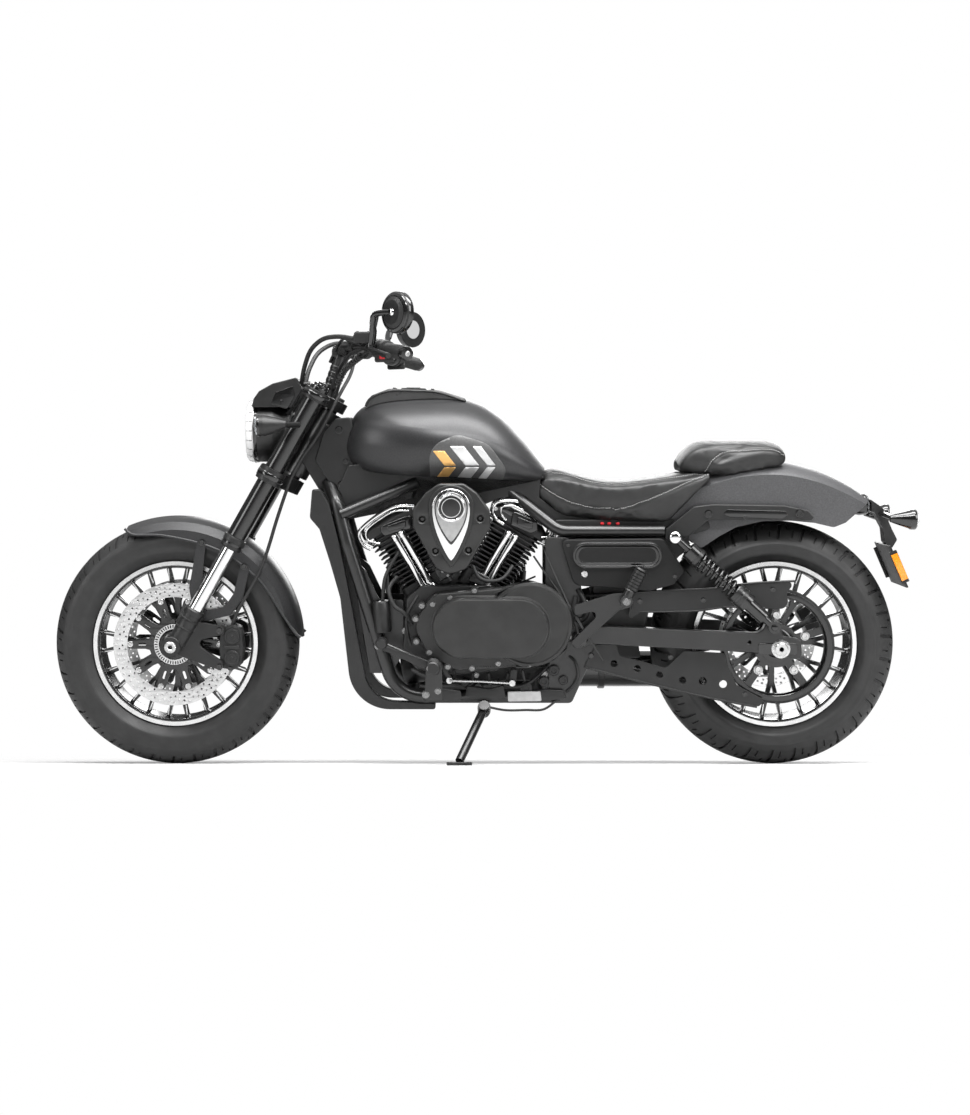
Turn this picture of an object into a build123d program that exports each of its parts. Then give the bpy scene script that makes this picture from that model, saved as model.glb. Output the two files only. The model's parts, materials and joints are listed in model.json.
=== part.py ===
"""Cruiser motorcycle with a V-twin engine, built piece by piece.

Everything is drawn upright first: X runs from front to rear, Y from left (minus) to
right (plus), Z up, with both axles at z = AXLE_Z and the mid-plane at y = 0.  parked()
then stands every piece on the ground, leaning on its side stand.  Sizes are millimetres.
"""
import os
from math import atan2, cos, degrees, hypot, pi, radians, sin, sqrt, tan

from build123d import *

# ------------------------------------------------------------------ driving dimensions
WHEELBASE = 1570.0
FRONT_AXLE_X = -800.0
LEAN = 9.0                      # lean onto the side stand, degrees
SHIFT_X = 3.5                   # centres the leaned machine on the origin
SHIFT_Y = 181.0

AXLE_Z = 321.0                  # height at which both axles are drawn
TYRE_RADIUS = 321.0
CROWN_RADIUS = 75.0             # both tyres roll on the same crown
FRONT_TYRE_WIDTH = 130.0
REAR_TYRE_WIDTH = 150.0
RIM_FLANGE_RADIUS = 216.8
BEAD_SEAT_RADIUS = 205.0
RIM_WALL = 8.0
FLANGE_WALL = 5.0
FRONT_RIM_WIDTH = 92.0
REAR_RIM_WIDTH = 112.0
SPOKE_COUNT = 12
SPOKE_DEPTH = 20.0
SPOKE_FORK_RADIUS = 104.0       # where each spoke divides in two
SPOKE_SPREAD = 7.5              # half angle between the two tips, degrees

RAKE = 29.4                     # steering axis from the vertical, degrees
FORK_OFFSET = 48.0              # fork legs ahead of the steering axis
AXLE_LEAD = 6.5                 # axle ahead of the fork legs
FENDER_SIDE_GAP = 8.5           # tyre wall to the fender's outer face
FORK_ROOM = 5.5                 # fender to the inside of a fork foot
FOOT_HALF = 26.0                # half width of a fork foot
OUTER_TUBE_RADIUS = 26.0
STANCHION_RADIUS = 20.0
STEERING_LIMIT = 35.0

CRANK_X = -66.0
CRANK_Z = 350.0
VEE_HALF_ANGLE = 30.0

GAP = 0.3                       # between curved faces of different bodies
SHEET = 3.0                     # fender and cover wall

# ------------------------------------------------------------------ worked out from them
REAR_AXLE_X = FRONT_AXLE_X + WHEELBASE
FENDER_HALF = FRONT_TYRE_WIDTH / 2 + FENDER_SIDE_GAP
FORK_HALF_SPACING = FENDER_HALF + FORK_ROOM + FOOT_HALF
GROUND_Z = AXLE_Z - TYRE_RADIUS
LIFT = CROWN_RADIUS * (1 - cos(radians(LEAN))) - GROUND_Z * cos(radians(LEAN))
FORK_UP = Vector(sin(radians(RAKE)), 0, cos(radians(RAKE)))
FORK_AHEAD = Vector(-cos(radians(RAKE)), 0, sin(radians(RAKE)))
FRONT_AXLE = Vector(FRONT_AXLE_X, 0, AXLE_Z)
REAR_AXLE = Vector(REAR_AXLE_X, 0, AXLE_Z)
FORK_FOOT = FRONT_AXLE - AXLE_LEAD * FORK_AHEAD
STEERING_FOOT = FORK_FOOT - FORK_OFFSET * FORK_AHEAD
SIDES = (-1, 1)


# ------------------------------------------------------------------ helpers
def fork_point(along, y, ahead=0.0):
    """Point in the fork: along its legs from the axle, across, and ahead of the legs."""
    point = FORK_FOOT + along * FORK_UP + ahead * FORK_AHEAD
    return Vector(point.X, y, point.Z)


def vee_point(side, along, across=0.0, y=0.0):
    """Point by a cylinder: side -1 is the front one; across points to the outside."""
    tilt = radians(VEE_HALF_ANGLE)
    x = CRANK_X + side * (along * sin(tilt) + across * cos(tilt))
    z = CRANK_Z + along * cos(tilt) - across * sin(tilt)
    return Vector(x, y, z)


def floor_height(y):
    """Height of the floor under the upright machine once it has leaned over."""
    return -(y * sin(radians(LEAN)) + LIFT) / cos(radians(LEAN))


def side_plane(y):
    """Plane seen from the left, local x to the rear and local y up."""
    return Plane(origin=(0, y, 0), x_dir=(1, 0, 0), z_dir=(0, -1, 0))


def rod(start, end, radius, bore=0.0):
    """Round bar between two points, with a bore if one is given."""
    run = Vector(*end) - Vector(*start)
    plane = Plane(origin=start, z_dir=run)
    bar = Solid.make_cylinder(radius, run.length, plane)
    if bore:
        bar = bar - Solid.make_cylinder(bore, run.length, plane)
    return bar


def taper(start, end, radius_start, radius_end):
    """Round bar whose radius changes from one end to the other."""
    run = Vector(*end) - Vector(*start)
    return Solid.make_cone(radius_start, radius_end, run.length, Plane(origin=start, z_dir=run))


def spun(rows, start, end):
    """Turned piece about the line from start to end: rows of (distance along, radius)."""
    run = Vector(*end) - Vector(*start)
    plane = Plane(origin=start, x_dir=run, z_dir=run.cross(Vector(0, 0, 1)))
    first = (rows[0][0], 0)
    last = (rows[-1][0], 0)
    section = plane * make_face(Polyline(first, *rows, last, close=True))
    return revolve(section, axis=Axis(start, run))


def plate(rows, near, far):
    """Flat piece from rows of (x, z, corner radius), between two places across."""
    points = [(x, z) for x, z, _ in rows]
    corner_radii = [radius for _, _, radius in rows]
    edge = FilletPolyline(*points, radius=corner_radii, close=True)
    face = side_plane(far) * make_face(edge.edges())
    return extrude(face, amount=far - near)


def around(rows, centre, base_radius):
    """Rows of (angle, radius past a base radius, corner radius) as rows of (x, z, corner)."""
    points = []
    for angle, past, corner in rows:
        radius = base_radius + past
        x = centre.X + radius * cos(radians(angle))
        z = centre.Z + radius * sin(radians(angle))
        points.append((x, z, corner))
    return points


def shifted(rows, x):
    """Rows of (x, ...) moved along by a distance."""
    return [(x + row[0], *row[1:]) for row in rows]


def both_plates(rows, inner, outer):
    """The same flat piece on the left and on the right."""
    return [plate(rows, -outer, -inner), plate(rows, inner, outer)]


def tube(rows, radius, bend):
    """Round tube along points, with one bend for all corners or a list of bends."""
    if len(rows) == 2:
        return rod(rows[0], rows[1], radius)
    path = FilletPolyline(*rows, radius=bend)
    start = Plane(origin=path @ 0, z_dir=path % 0)
    return sweep(start * Circle(radius), path=path)


def mirrored(pieces):
    """The pieces and their images on the other side of the mid-plane."""
    return list(pieces) + [mirror(piece, about=Plane.XZ) for piece in pieces]


def turned(section, centre):
    """Section drawn as (across, radius), spun about an axle through a point."""
    return Pos(*centre) * revolve(Plane.YZ * section, axis=Axis.Y)


def disc(centre, radius, near, far, bore=0.0):
    """Round plate about a line across the machine."""
    x, z = centre
    return rod((x, near, z), (x, far, z), radius, bore)


def rings(rows, centre):
    """Turned solid from rows of (across, radius) joined by straight lines."""
    return turned(make_face(Polyline(*rows, close=True)), centre)


# ------------------------------------------------------------------ wheels
def tyre(width, rim_width, centre):
    """Tyre with a round crown and bulging walls that sits between the rim's flanges."""
    half = width / 2
    shoulder = half - 4
    rise = sqrt(CROWN_RADIUS ** 2 - shoulder ** 2)
    shoulder_radius = TYRE_RADIUS - CROWN_RADIUS + rise
    bead = rim_width / 2 - FLANGE_WALL
    belly_radius = (shoulder_radius + RIM_FLANGE_RADIUS) / 2
    crown = ThreePointArc((-shoulder, shoulder_radius), (0, TYRE_RADIUS), (shoulder, shoulder_radius))
    right = ThreePointArc((shoulder, shoulder_radius), (half, belly_radius), (bead, RIM_FLANGE_RADIUS))
    base = Polyline(
        (bead, RIM_FLANGE_RADIUS),
        (bead, BEAD_SEAT_RADIUS),
        (-bead, BEAD_SEAT_RADIUS),
        (-bead, RIM_FLANGE_RADIUS),
    )
    left = ThreePointArc((-bead, RIM_FLANGE_RADIUS), (-half, belly_radius), (-shoulder, shoulder_radius))
    return turned(make_face(crown + right + base + left), centre)


def spoke_pattern(hub_radius, tip_radius, stem_width, tip_width):
    """Flat star of spokes that each divide in two before they reach the rim."""
    stem_length = SPOKE_FORK_RADIUS - hub_radius + stem_width
    stem = Pos(hub_radius + stem_length / 2 - stem_width / 2, 0) * Rectangle(stem_length, stem_width)
    tip_y = tip_radius * sin(radians(SPOKE_SPREAD))
    tip_x = tip_radius * cos(radians(SPOKE_SPREAD))
    root_x = SPOKE_FORK_RADIUS - stem_width / 2
    run = hypot(tip_x - root_x, tip_y)
    lean = degrees(atan2(tip_y, tip_x - root_x))
    star = Circle(hub_radius)
    for index in range(SPOKE_COUNT):
        turn = Rot(0, 0, 360 / SPOKE_COUNT * index)
        star += turn * stem
        for side in SIDES:
            branch = Pos(root_x, 0) * Rot(0, 0, side * lean) * Pos(run / 2, 0) * Rectangle(run, tip_width)
            star += turn * branch
    return star


def rim(rim_width, centre, hub_radius, hub_half, bore):
    """Cast wheel: barrel with two flanges, forked spokes and a bored hub."""
    half = rim_width / 2
    inner = BEAD_SEAT_RADIUS - RIM_WALL
    barrel = rings(
        (
            (-half, RIM_FLANGE_RADIUS),
            (-half + FLANGE_WALL, RIM_FLANGE_RADIUS),
            (-half + FLANGE_WALL, BEAD_SEAT_RADIUS),
            (half - FLANGE_WALL, BEAD_SEAT_RADIUS),
            (half - FLANGE_WALL, RIM_FLANGE_RADIUS),
            (half, RIM_FLANGE_RADIUS),
            (half, inner + RIM_WALL / 2),
            (half - 2 * RIM_WALL, inner),
            (-half + 2 * RIM_WALL, inner),
            (-half, inner + RIM_WALL / 2),
        ),
        (0, 0, 0),
    )
    star = spoke_pattern(hub_radius, inner + RIM_WALL / 2, 15, 10)
    spokes = extrude(side_plane(SPOKE_DEPTH / 2) * star, amount=SPOKE_DEPTH)
    hub = disc((0, 0), hub_radius - 4, -hub_half, hub_half)
    wheel = barrel + spokes + hub - disc((0, 0), bore, -hub_half, hub_half)
    return Pos(*centre) * wheel


FRONT_HUB_RADIUS = 44.0
FRONT_HUB_HALF = 58.0
AXLE_RADIUS = 12.0
AXLE_BORE = 6.0
FRONT_DISC_RADIUS = 160.0
FRONT_BAND_INNER = 123.0
DISC_THICKNESS = 5.0
DISC_ARMS = 10
REAR_HUB_RADIUS = 50.0
REAR_HUB_HALF = 72.0
REAR_DISC_RADIUS = 130.0
REAR_BAND_INNER = 98.0
PULLEY_RADIUS = 143.0
PULLEY_WALL = 17.0
BELT_NEAR = -106.0
BELT_FAR = -78.0
BELT_THICKNESS = 6.0
BEARING_GAP = 0.25              # the wheel turns round its axle


def front_tyre():
    return [tyre(FRONT_TYRE_WIDTH, FRONT_RIM_WIDTH, FRONT_AXLE)]


def rear_tyre():
    return [tyre(REAR_TYRE_WIDTH, REAR_RIM_WIDTH, REAR_AXLE)]


def front_rim():
    bore = AXLE_RADIUS + BEARING_GAP
    return [rim(FRONT_RIM_WIDTH, FRONT_AXLE, FRONT_HUB_RADIUS, FRONT_HUB_HALF, bore)]


def rear_rim():
    bore = AXLE_RADIUS + BEARING_GAP
    return [rim(REAR_RIM_WIDTH, REAR_AXLE, REAR_HUB_RADIUS, REAR_HUB_HALF, bore)]


def band(centre, radius, inner, near):
    """Flat brake ring whose face nearest the left is given."""
    return disc(centre, radius, near, near + DISC_THICKNESS, inner)


def carrier(centre, reach, ring_radius, bore, near):
    """Star that holds a brake ring: a hub ring and arms cut round at their tips."""
    star = Circle(ring_radius)
    for index in range(DISC_ARMS):
        star += Rot(0, 0, 360 / DISC_ARMS * index) * Pos(reach / 2, 0) * Rectangle(reach + 8, 15)
    star = (star & Circle(reach)) - Circle(bore)
    x, z = centre
    return Pos(x, 0, z) * extrude(side_plane(near + DISC_THICKNESS) * star, amount=DISC_THICKNESS)


FRONT_DISC_NEAR = FRONT_HUB_HALF


def front_disc_bands():
    centre = (FRONT_AXLE_X, AXLE_Z)
    left = band(centre, FRONT_DISC_RADIUS, FRONT_BAND_INNER, -FRONT_DISC_NEAR - DISC_THICKNESS)
    right = band(centre, FRONT_DISC_RADIUS, FRONT_BAND_INNER, FRONT_DISC_NEAR)
    return [left, right]


def front_disc_carriers():
    centre = (FRONT_AXLE_X, AXLE_Z)
    bore = AXLE_RADIUS + BEARING_GAP
    left = carrier(centre, FRONT_BAND_INNER, 66, bore, -FRONT_DISC_NEAR - DISC_THICKNESS)
    right = carrier(centre, FRONT_BAND_INNER, 66, bore, FRONT_DISC_NEAR)
    return [left, right]


def rear_disc():
    """Single rear brake disc on the right, ring and carrier in one."""
    centre = (REAR_AXLE_X, AXLE_Z)
    bore = AXLE_RADIUS + BEARING_GAP
    ring = band(centre, REAR_DISC_RADIUS, REAR_BAND_INNER, REAR_HUB_HALF)
    return [ring + carrier(centre, REAR_BAND_INNER, 60, bore, REAR_HUB_HALF)]


def rear_pulley():
    """Belt pulley on the left: rim, five arms and a hub ring."""
    centre = (REAR_AXLE_X, AXLE_Z)
    bore = AXLE_RADIUS + BEARING_GAP
    face = Circle(PULLEY_RADIUS) - Circle(PULLEY_RADIUS - PULLEY_WALL)
    for index in range(5):
        face += Rot(0, 0, 72 * index + 18) * Pos(PULLEY_RADIUS / 2, 0) * Rectangle(PULLEY_RADIUS - 12, 20)
    face = face + Circle(58) - Circle(bore)
    arms = Pos(*REAR_AXLE) * extrude(side_plane(-REAR_HUB_HALF) * face, amount=14)
    inner = PULLEY_RADIUS - 9
    rim_ring = disc(centre, PULLEY_RADIUS, BELT_NEAR, BELT_FAR, inner)
    return [arms + rim_ring]


# ------------------------------------------------------------------ fork and steering
FOOT_TOP = 112.0
AXLE_HALF = FORK_HALF_SPACING + FOOT_HALF + 3
OUTER_BOTTOM = 300.0
OUTER_TOP = 772.0
LOWER_CLAMP = (492.0, 530.0)
TOP_CLAMP = (736.0, 764.0)
HEAD_TUBE = (537.0, 729.0)
STEM_RADIUS = 14.0
HEAD_TUBE_RADIUS = 31.0
CLAMP_WALL = 9.0


def fork_leg(side, bottom, top, radius, bore=0.0):
    y = side * FORK_HALF_SPACING
    return rod(fork_point(bottom, y), fork_point(top, y), radius, bore)


def fork_outer_tubes():
    """Upper fork tubes, each with a seal collar at its lower end."""
    legs = []
    for side in SIDES:
        main = fork_leg(side, OUTER_BOTTOM + 26, OUTER_TOP, OUTER_TUBE_RADIUS)
        collar = fork_leg(side, OUTER_BOTTOM, OUTER_BOTTOM + 26, OUTER_TUBE_RADIUS + 3)
        legs.append(main + collar)
    return legs


def fork_stanchions():
    """Bright lower tubes between the feet and the collars."""
    return [fork_leg(side, FOOT_TOP, OUTER_BOTTOM, STANCHION_RADIUS) for side in SIDES]


CALIPER_BOLTS = ((FRONT_AXLE_X + 124, AXLE_Z + 41), (FRONT_AXLE_X + 124, AXLE_Z - 53))
FENDER_LUG = fork_point(98, 0, -18)


def fork_feet():
    """Castings that hold the axle, with arms to the caliper and a lug for the fender."""
    y = -FORK_HALF_SPACING
    near = y - FOOT_HALF
    far = y + FOOT_HALF
    upper_bolt, lower_bolt = CALIPER_BOLTS
    arm = (
        (FRONT_AXLE_X + 8, AXLE_Z + 18, 4),
        (FRONT_AXLE_X + 60, AXLE_Z + 66, 8),
        (upper_bolt[0] + 12, upper_bolt[1] + 10, 8),
        (upper_bolt[0] + 12, upper_bolt[1] - 10, 8),
        (FRONT_AXLE_X + 56, AXLE_Z + 12, 12),
        (lower_bolt[0] + 10, lower_bolt[1] + 12, 8),
        (lower_bolt[0] + 6, lower_bolt[1] - 11, 8),
        (FRONT_AXLE_X + 6, AXLE_Z - 20, 8),
    )
    foot = fork_leg(-1, 14, FOOT_TOP, STANCHION_RADIUS + 5)
    foot += disc((FRONT_AXLE_X, AXLE_Z), 24, near, far)
    foot += plate(arm, y - 7, y + 7)
    foot += disc((FENDER_LUG.X, FENDER_LUG.Z), 11, y, far + 1)
    foot -= disc((FRONT_AXLE_X, AXLE_Z), AXLE_RADIUS, near, far)
    return mirrored([foot])


def front_axle():
    """Hollow axle with a flat head at each end and spacers against the hub."""
    centre = (FRONT_AXLE_X, AXLE_Z)
    shaft = disc(centre, AXLE_RADIUS, -AXLE_HALF, AXLE_HALF)
    foot_inner = FORK_HALF_SPACING - FOOT_HALF
    foot_outer = FORK_HALF_SPACING + FOOT_HALF
    spacer_inner = FRONT_HUB_HALF + DISC_THICKNESS + 1
    for side in SIDES:
        near, far = sorted((side * spacer_inner, side * foot_inner))
        shaft += disc(centre, 20, near, far)
        near, far = sorted((side * foot_outer, side * AXLE_HALF))
        shaft += disc(centre, 15, near, far)
    return [shaft - disc(centre, AXLE_BORE, -AXLE_HALF, AXLE_HALF)]


def clamp(low, high, stem_radius):
    """Fork clamp: a waisted bridge with a ring round each leg and a boss for the stem."""
    plane = Plane(
        origin=FORK_FOOT + low * FORK_UP,
        x_dir=(0, 1, 0),
        z_dir=(FORK_UP.X, 0, FORK_UP.Z),
    )
    ring = OUTER_TUBE_RADIUS + CLAMP_WALL
    # local x runs to the right side, local y runs back towards the stem
    bridge = Polyline(
        (-FORK_HALF_SPACING, -ring + 6),
        (-48, -16),
        (48, -16),
        (FORK_HALF_SPACING, -ring + 6),
        (FORK_HALF_SPACING, ring - 8),
        (stem_radius + 12, FORK_OFFSET + 20),
        (-stem_radius - 12, FORK_OFFSET + 20),
        (-FORK_HALF_SPACING, ring - 8),
        close=True,
    )
    outline = make_face(bridge)
    for side in SIDES:
        outline += Pos(side * FORK_HALF_SPACING, 0) * Circle(ring)
    outline += Pos(0, FORK_OFFSET) * Circle(stem_radius + 16)
    for side in SIDES:
        outline -= Pos(side * FORK_HALF_SPACING, 0) * Circle(OUTER_TUBE_RADIUS)
    if plane.y_dir.X < 0:
        outline = mirror(outline, about=Plane.XZ)
    return extrude(plane * outline, amount=high - low)


def fork_clamps():
    """Lower clamp with the stem, and the top clamp that seats on it."""
    lower = clamp(LOWER_CLAMP[0], LOWER_CLAMP[1], STEM_RADIUS)
    stem_bottom = STEERING_FOOT + LOWER_CLAMP[1] * FORK_UP
    stem_top = STEERING_FOOT + TOP_CLAMP[0] * FORK_UP
    lower += rod(stem_bottom, stem_top, STEM_RADIUS)
    top = clamp(TOP_CLAMP[0], TOP_CLAMP[1], STEM_RADIUS)
    nut_base = STEERING_FOOT + TOP_CLAMP[1] * FORK_UP
    top += rod(nut_base, nut_base + 9 * FORK_UP, 17)
    return [lower, top]


FENDER_GAP = 10.0               # tyre to fender
FENDER_INNER = TYRE_RADIUS + FENDER_GAP
FENDER_OUTER = FENDER_INNER + SHEET
FENDER_SHOULDER = FENDER_HALF - 21.5
FENDER_SHOULDER_DROP = 14.0


def fender_half_section(half, crown, drop_to):
    """Rows of (across, radius) over a tyre: rim of the wall, shoulder and crown."""
    shoulder = FENDER_SHOULDER - (FENDER_HALF - half)
    return (half, drop_to), (half, crown - 34), (shoulder, crown - FENDER_SHOULDER_DROP), crown


FENDER_EDGE = (                 # angle from the rear, radius past the tyre's, corner radius
    (112.2, 23, 0),
    (113.8, 1, 0),
    (110.2, -17, 10),
    (97.3, -36, 60),
    (80.4, -50, 60),
    (53.8, -50, 60),
    (34.9, -43, 60),
    (17.1, -31, 60),
    (6.4, -8, 20),
    (2.6, 9, 6),
    (2.4, 39, 0),
    (46.5, 201, 0),
    (104.8, 71, 0),
)


def front_fender():
    """Close guard over the front tyre with a pair of brackets to the fork feet."""
    outer = []
    for half, crown, drop_to in ((FENDER_HALF, FENDER_OUTER, 250), (FENDER_HALF - SHEET, FENDER_INNER, 240)):
        wall, corner, shoulder, top = fender_half_section(half, crown, drop_to)
        edge = Polyline((-shoulder[0], shoulder[1]), (-corner[0], corner[1]), (-wall[0], wall[1]), wall, corner, shoulder)
        arch = ThreePointArc(shoulder, (0, top), (-shoulder[0], shoulder[1]))
        outer.append(turned(make_face(edge + arch), FRONT_AXLE))
    shell = outer[0] - outer[1]
    cover = plate(around(FENDER_EDGE, FRONT_AXLE, TYRE_RADIUS), -FENDER_HALF - 2, FENDER_HALF + 2)
    guard = shell & cover
    lug_x = FENDER_LUG.X
    lug_z = FENDER_LUG.Z
    front_tip = around(((77.2, -41, 8), (72.9, -35, 8)), FRONT_AXLE, TYRE_RADIUS)
    front_arm = (
        *front_tip,
        (lug_x + 3, lug_z + 82, 20),
        (lug_x + 14, lug_z + 14, 8),
        (lug_x + 8, lug_z - 14, 8),
        (lug_x - 16, lug_z - 6, 8),
        (lug_x - 29, lug_z + 76, 20),
    )
    rear_tip = around(((50.4, -45, 8), (45.7, -37, 8)), FRONT_AXLE, TYRE_RADIUS)
    rear_arm = (
        *rear_tip,
        (lug_x + 111, lug_z + 48, 20),
        (lug_x + 79, lug_z + 4, 20),
        (lug_x + 6, lug_z - 13, 6),
        (lug_x - 12, lug_z + 10, 6),
        (lug_x + 63, lug_z + 26, 20),
        (lug_x + 87, lug_z + 60, 20),
    )
    pieces = [guard]
    for side in SIDES:
        near, far = sorted((side * FENDER_HALF, side * (FENDER_HALF + 4)))
        bracket = plate(front_arm, near, far) + plate(rear_arm, near, far)
        near, far = sorted((side * (FENDER_HALF + 4), side * (FORK_HALF_SPACING - FOOT_HALF - 1)))
        bracket += disc((lug_x, lug_z), 9, near, far)
        pieces.append(bracket)
    return pieces


CALIPER_SLOT = 7.0              # clear slot each side of the disc's middle


def front_calipers():
    """Four-piston calipers that straddle the two front discs behind the legs."""
    outline = (                 # from the axle
        (126, 366, 8),
        (160, 376, 10),
        (178, 366, 10),
        (184, 318, 12),
        (178, 270, 10),
        (158, 258, 10),
        (126, 264, 8),
        (122, 316, 12),
    )
    disc_middle = FRONT_DISC_NEAR + DISC_THICKNESS / 2
    pieces = []
    for side in SIDES:
        near, far = sorted((side * 42, side * (FORK_HALF_SPACING - 7)))
        body = plate(shifted(outline, FRONT_AXLE_X), near, far)
        near, far = sorted((side * (disc_middle - CALIPER_SLOT), side * (disc_middle + CALIPER_SLOT)))
        body -= disc((FRONT_AXLE_X, AXLE_Z), FRONT_DISC_RADIUS + 6, near, far)
        pieces.append(body)
    return pieces


LAMP_SEAT = fork_point((LOWER_CLAMP[1] + TOP_CLAMP[0]) / 2, 0)      # midway between the clamps
HEADLIGHT_X = LAMP_SEAT.X - 120.4
HEADLIGHT_Z = LAMP_SEAT.Z + 9.7
HEADLIGHT_RADIUS = 82.0
HEADLIGHT_LENGTH = 106.0
LENS_DEPTH = 12.0


def headlight_shell():
    """Round lamp body with a recess for its lens, under a folded cowl."""
    front = (HEADLIGHT_X, 0, HEADLIGHT_Z)
    waist = (HEADLIGHT_X + 58, 0, HEADLIGHT_Z)
    back = (HEADLIGHT_X + HEADLIGHT_LENGTH, 0, HEADLIGHT_Z)
    body = rod(front, waist, HEADLIGHT_RADIUS)
    body += taper(waist, back, HEADLIGHT_RADIUS, HEADLIGHT_RADIUS * 0.72)
    body -= rod(front, (HEADLIGHT_X + LENS_DEPTH, 0, HEADLIGHT_Z), HEADLIGHT_RADIUS - 6)
    stay_x = HEADLIGHT_X + HEADLIGHT_LENGTH
    for side in SIDES:
        body += rod((stay_x - 16, side * 48, HEADLIGHT_Z), fork_point(645, side * 88), 9)
        body -= fork_leg(side, 560, 720, OUTER_TUBE_RADIUS)
    cowl_rows = (               # from the lamp's front, and above its middle
        (6, 62, 4),
        (12, 84, 6),
        (26, 104, 12),
        (62, 124, 14),
        (124, 140, 6),
        (140, 110, 10),
        (112, 62, 10),
    )
    rows = [(HEADLIGHT_X + x, HEADLIGHT_Z + z, corner) for x, z, corner in cowl_rows]
    cowl = plate(rows, -76, 76) - fork_clamps()[1] - rod(front, waist, HEADLIGHT_RADIUS)
    for side in SIDES:
        cowl -= fork_leg(side, 560, 780, OUTER_TUBE_RADIUS + 4)
    stay = rod(fork_point(TOP_CLAMP[1] + 2, 0, 36), (HEADLIGHT_X + 124, 0, HEADLIGHT_Z + 121), 8)
    return [body, cowl - body, stay - cowl]


def headlight_lens():
    """Clear front of the lamp, slightly crowned."""
    seat = (HEADLIGHT_X + LENS_DEPTH, 0, HEADLIGHT_Z)
    edge = (HEADLIGHT_X + 3, 0, HEADLIGHT_Z)
    front = (HEADLIGHT_X - 2, 0, HEADLIGHT_Z)
    radius = HEADLIGHT_RADIUS - 6
    return [rod(seat, edge, radius) + taper(edge, front, radius, radius - 10)]


INDICATOR_Y = 190.0


def front_indicators():
    """Cone-shaped turn lamps on short stems out of the fork tubes."""
    pieces = []
    for side in SIDES:
        y = side * INDICATOR_Y
        lamp = spun(((0, 25), (3, 27), (15, 27), (46, 19), (71, 9)), (-566, y, 892), (-495, y, 897))
        stem_end = fork_point(662, side * (FORK_HALF_SPACING + OUTER_TUBE_RADIUS))
        lamp += rod((-512, y, 896), stem_end, 8)
        pieces.append(lamp - fork_leg(side, 600, 720, OUTER_TUBE_RADIUS))
    return pieces


BAR_RADIUS = 12.7
GRIP_RADIUS = 17.0
BAR_ROUTE = (                   # x, y, z on the left, from the clamp to the end
    (-365, -40, 1086),
    (-352, -120, 1094),
    (-300, -210, 1096),
    (-240, -300, 1083),
)
GRIP_END = (-183, -425, 1069)


def handlebar():
    """Bar in one bend, on two tall risers that stand on the top clamp."""
    left = tube((*BAR_ROUTE, GRIP_END), BAR_RADIUS, 45)
    right = mirror(left, about=Plane.XZ)
    middle = rod((-365, -40, 1086), (-365, 40, 1086), BAR_RADIUS)
    bar = left + middle + right
    for side in SIDES:
        foot = fork_point(TOP_CLAMP[1] - 4, side * 34, -20)
        bar += rod(foot, (-365, side * 34, 1082), 15)
        bar += rod((-365, side * 20, 1086), (-365, side * 48, 1086), 22)
    return [bar - fork_clamps()[1]]


def grip_point(share):
    """Point on the left grip's axis, by its share of the last straight stretch."""
    start = Vector(*BAR_ROUTE[-1])
    return start + share * (Vector(*GRIP_END) - start)


def grips():
    """Rubber sleeves round the bar's ends."""
    sleeve = rod(grip_point(0.16), grip_point(1.0), GRIP_RADIUS, BAR_RADIUS)
    return mirrored([sleeve])


def bar_controls():
    """Clamped perches with switch blocks, fluid cup and levers."""
    perch = rod(grip_point(-0.12), grip_point(0.14), 23)
    block_start = Vector(-268, -262, 1100)
    cup = Pos(-292, -262, 1112) * Box(46, 62, 26)
    lever_start = Vector(-282, -300, 1088)
    lever_bend = Vector(-262, -340, 1078)
    lever_end = Vector(-222, -440, 1062)
    lever = tube((tuple(block_start), tuple(lever_start), tuple(lever_bend), tuple(lever_end)), 7, 12)
    return mirrored([perch + cup + lever - handlebar()[0]])


MIRROR_CENTRE = Vector(-200, -412, 1168)
MIRROR_RADIUS = 51.0
MIRROR_TURN = 42.0              # the glass turns inwards by this much


def mirrors():
    """Round mirror heads on bent stems."""
    facing = Vector(sin(radians(90 - MIRROR_TURN)), cos(radians(90 - MIRROR_TURN)), 0)
    back = MIRROR_CENTRE - 9 * facing
    head = rod(back, MIRROR_CENTRE + 9 * facing, MIRROR_RADIUS)
    head += taper(back, back - 12 * facing, MIRROR_RADIUS, 30)
    stem = tube(
        (
            (-270, -318, 1092),
            (-262, -352, 1130),
            (-252, -384, 1168),
            tuple(back - 8 * facing),
        ),
        6,
        14,
    )
    return mirrored([head + stem - bar_controls()[0]])


HOSE_RADIUS = 4.5
CABLE_RADIUS = 6.0
BRAKE_HOSE = (                  # x, y, z from the right-hand cup to the left caliper
    (-290, 232, 1112),
    (-312, 176, 1124),
    (-330, 110, 1112),
    (-336, 48, 1076),
    (-340, -18, 1030),
    (-364, -76, 980),
    (-392, -97, 922),
    (-427, -97, 858),
    (-466, -97, 806),
    (-494, -97, 752),
    (-512, -97, 700),
    (-532, -95, 640),
    (-549, -91, 582),
    (-570, -88, 520),
    (-604, -88, 458),
    (-634, -86, 408),
    (-646, -84, 374),
)
CABLE_LOOM = (                  # x, y, z on the left, from the switch block to the lamp
    (-312, -262, 1110),
    (-356, -214, 1120),
    (-404, -158, 1118),
    (-442, -106, 1090),
    (-462, -66, 1040),
    (-470, -48, 996),
    (-488, -40, 948),
    (-520, -40, 906),
)


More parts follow.
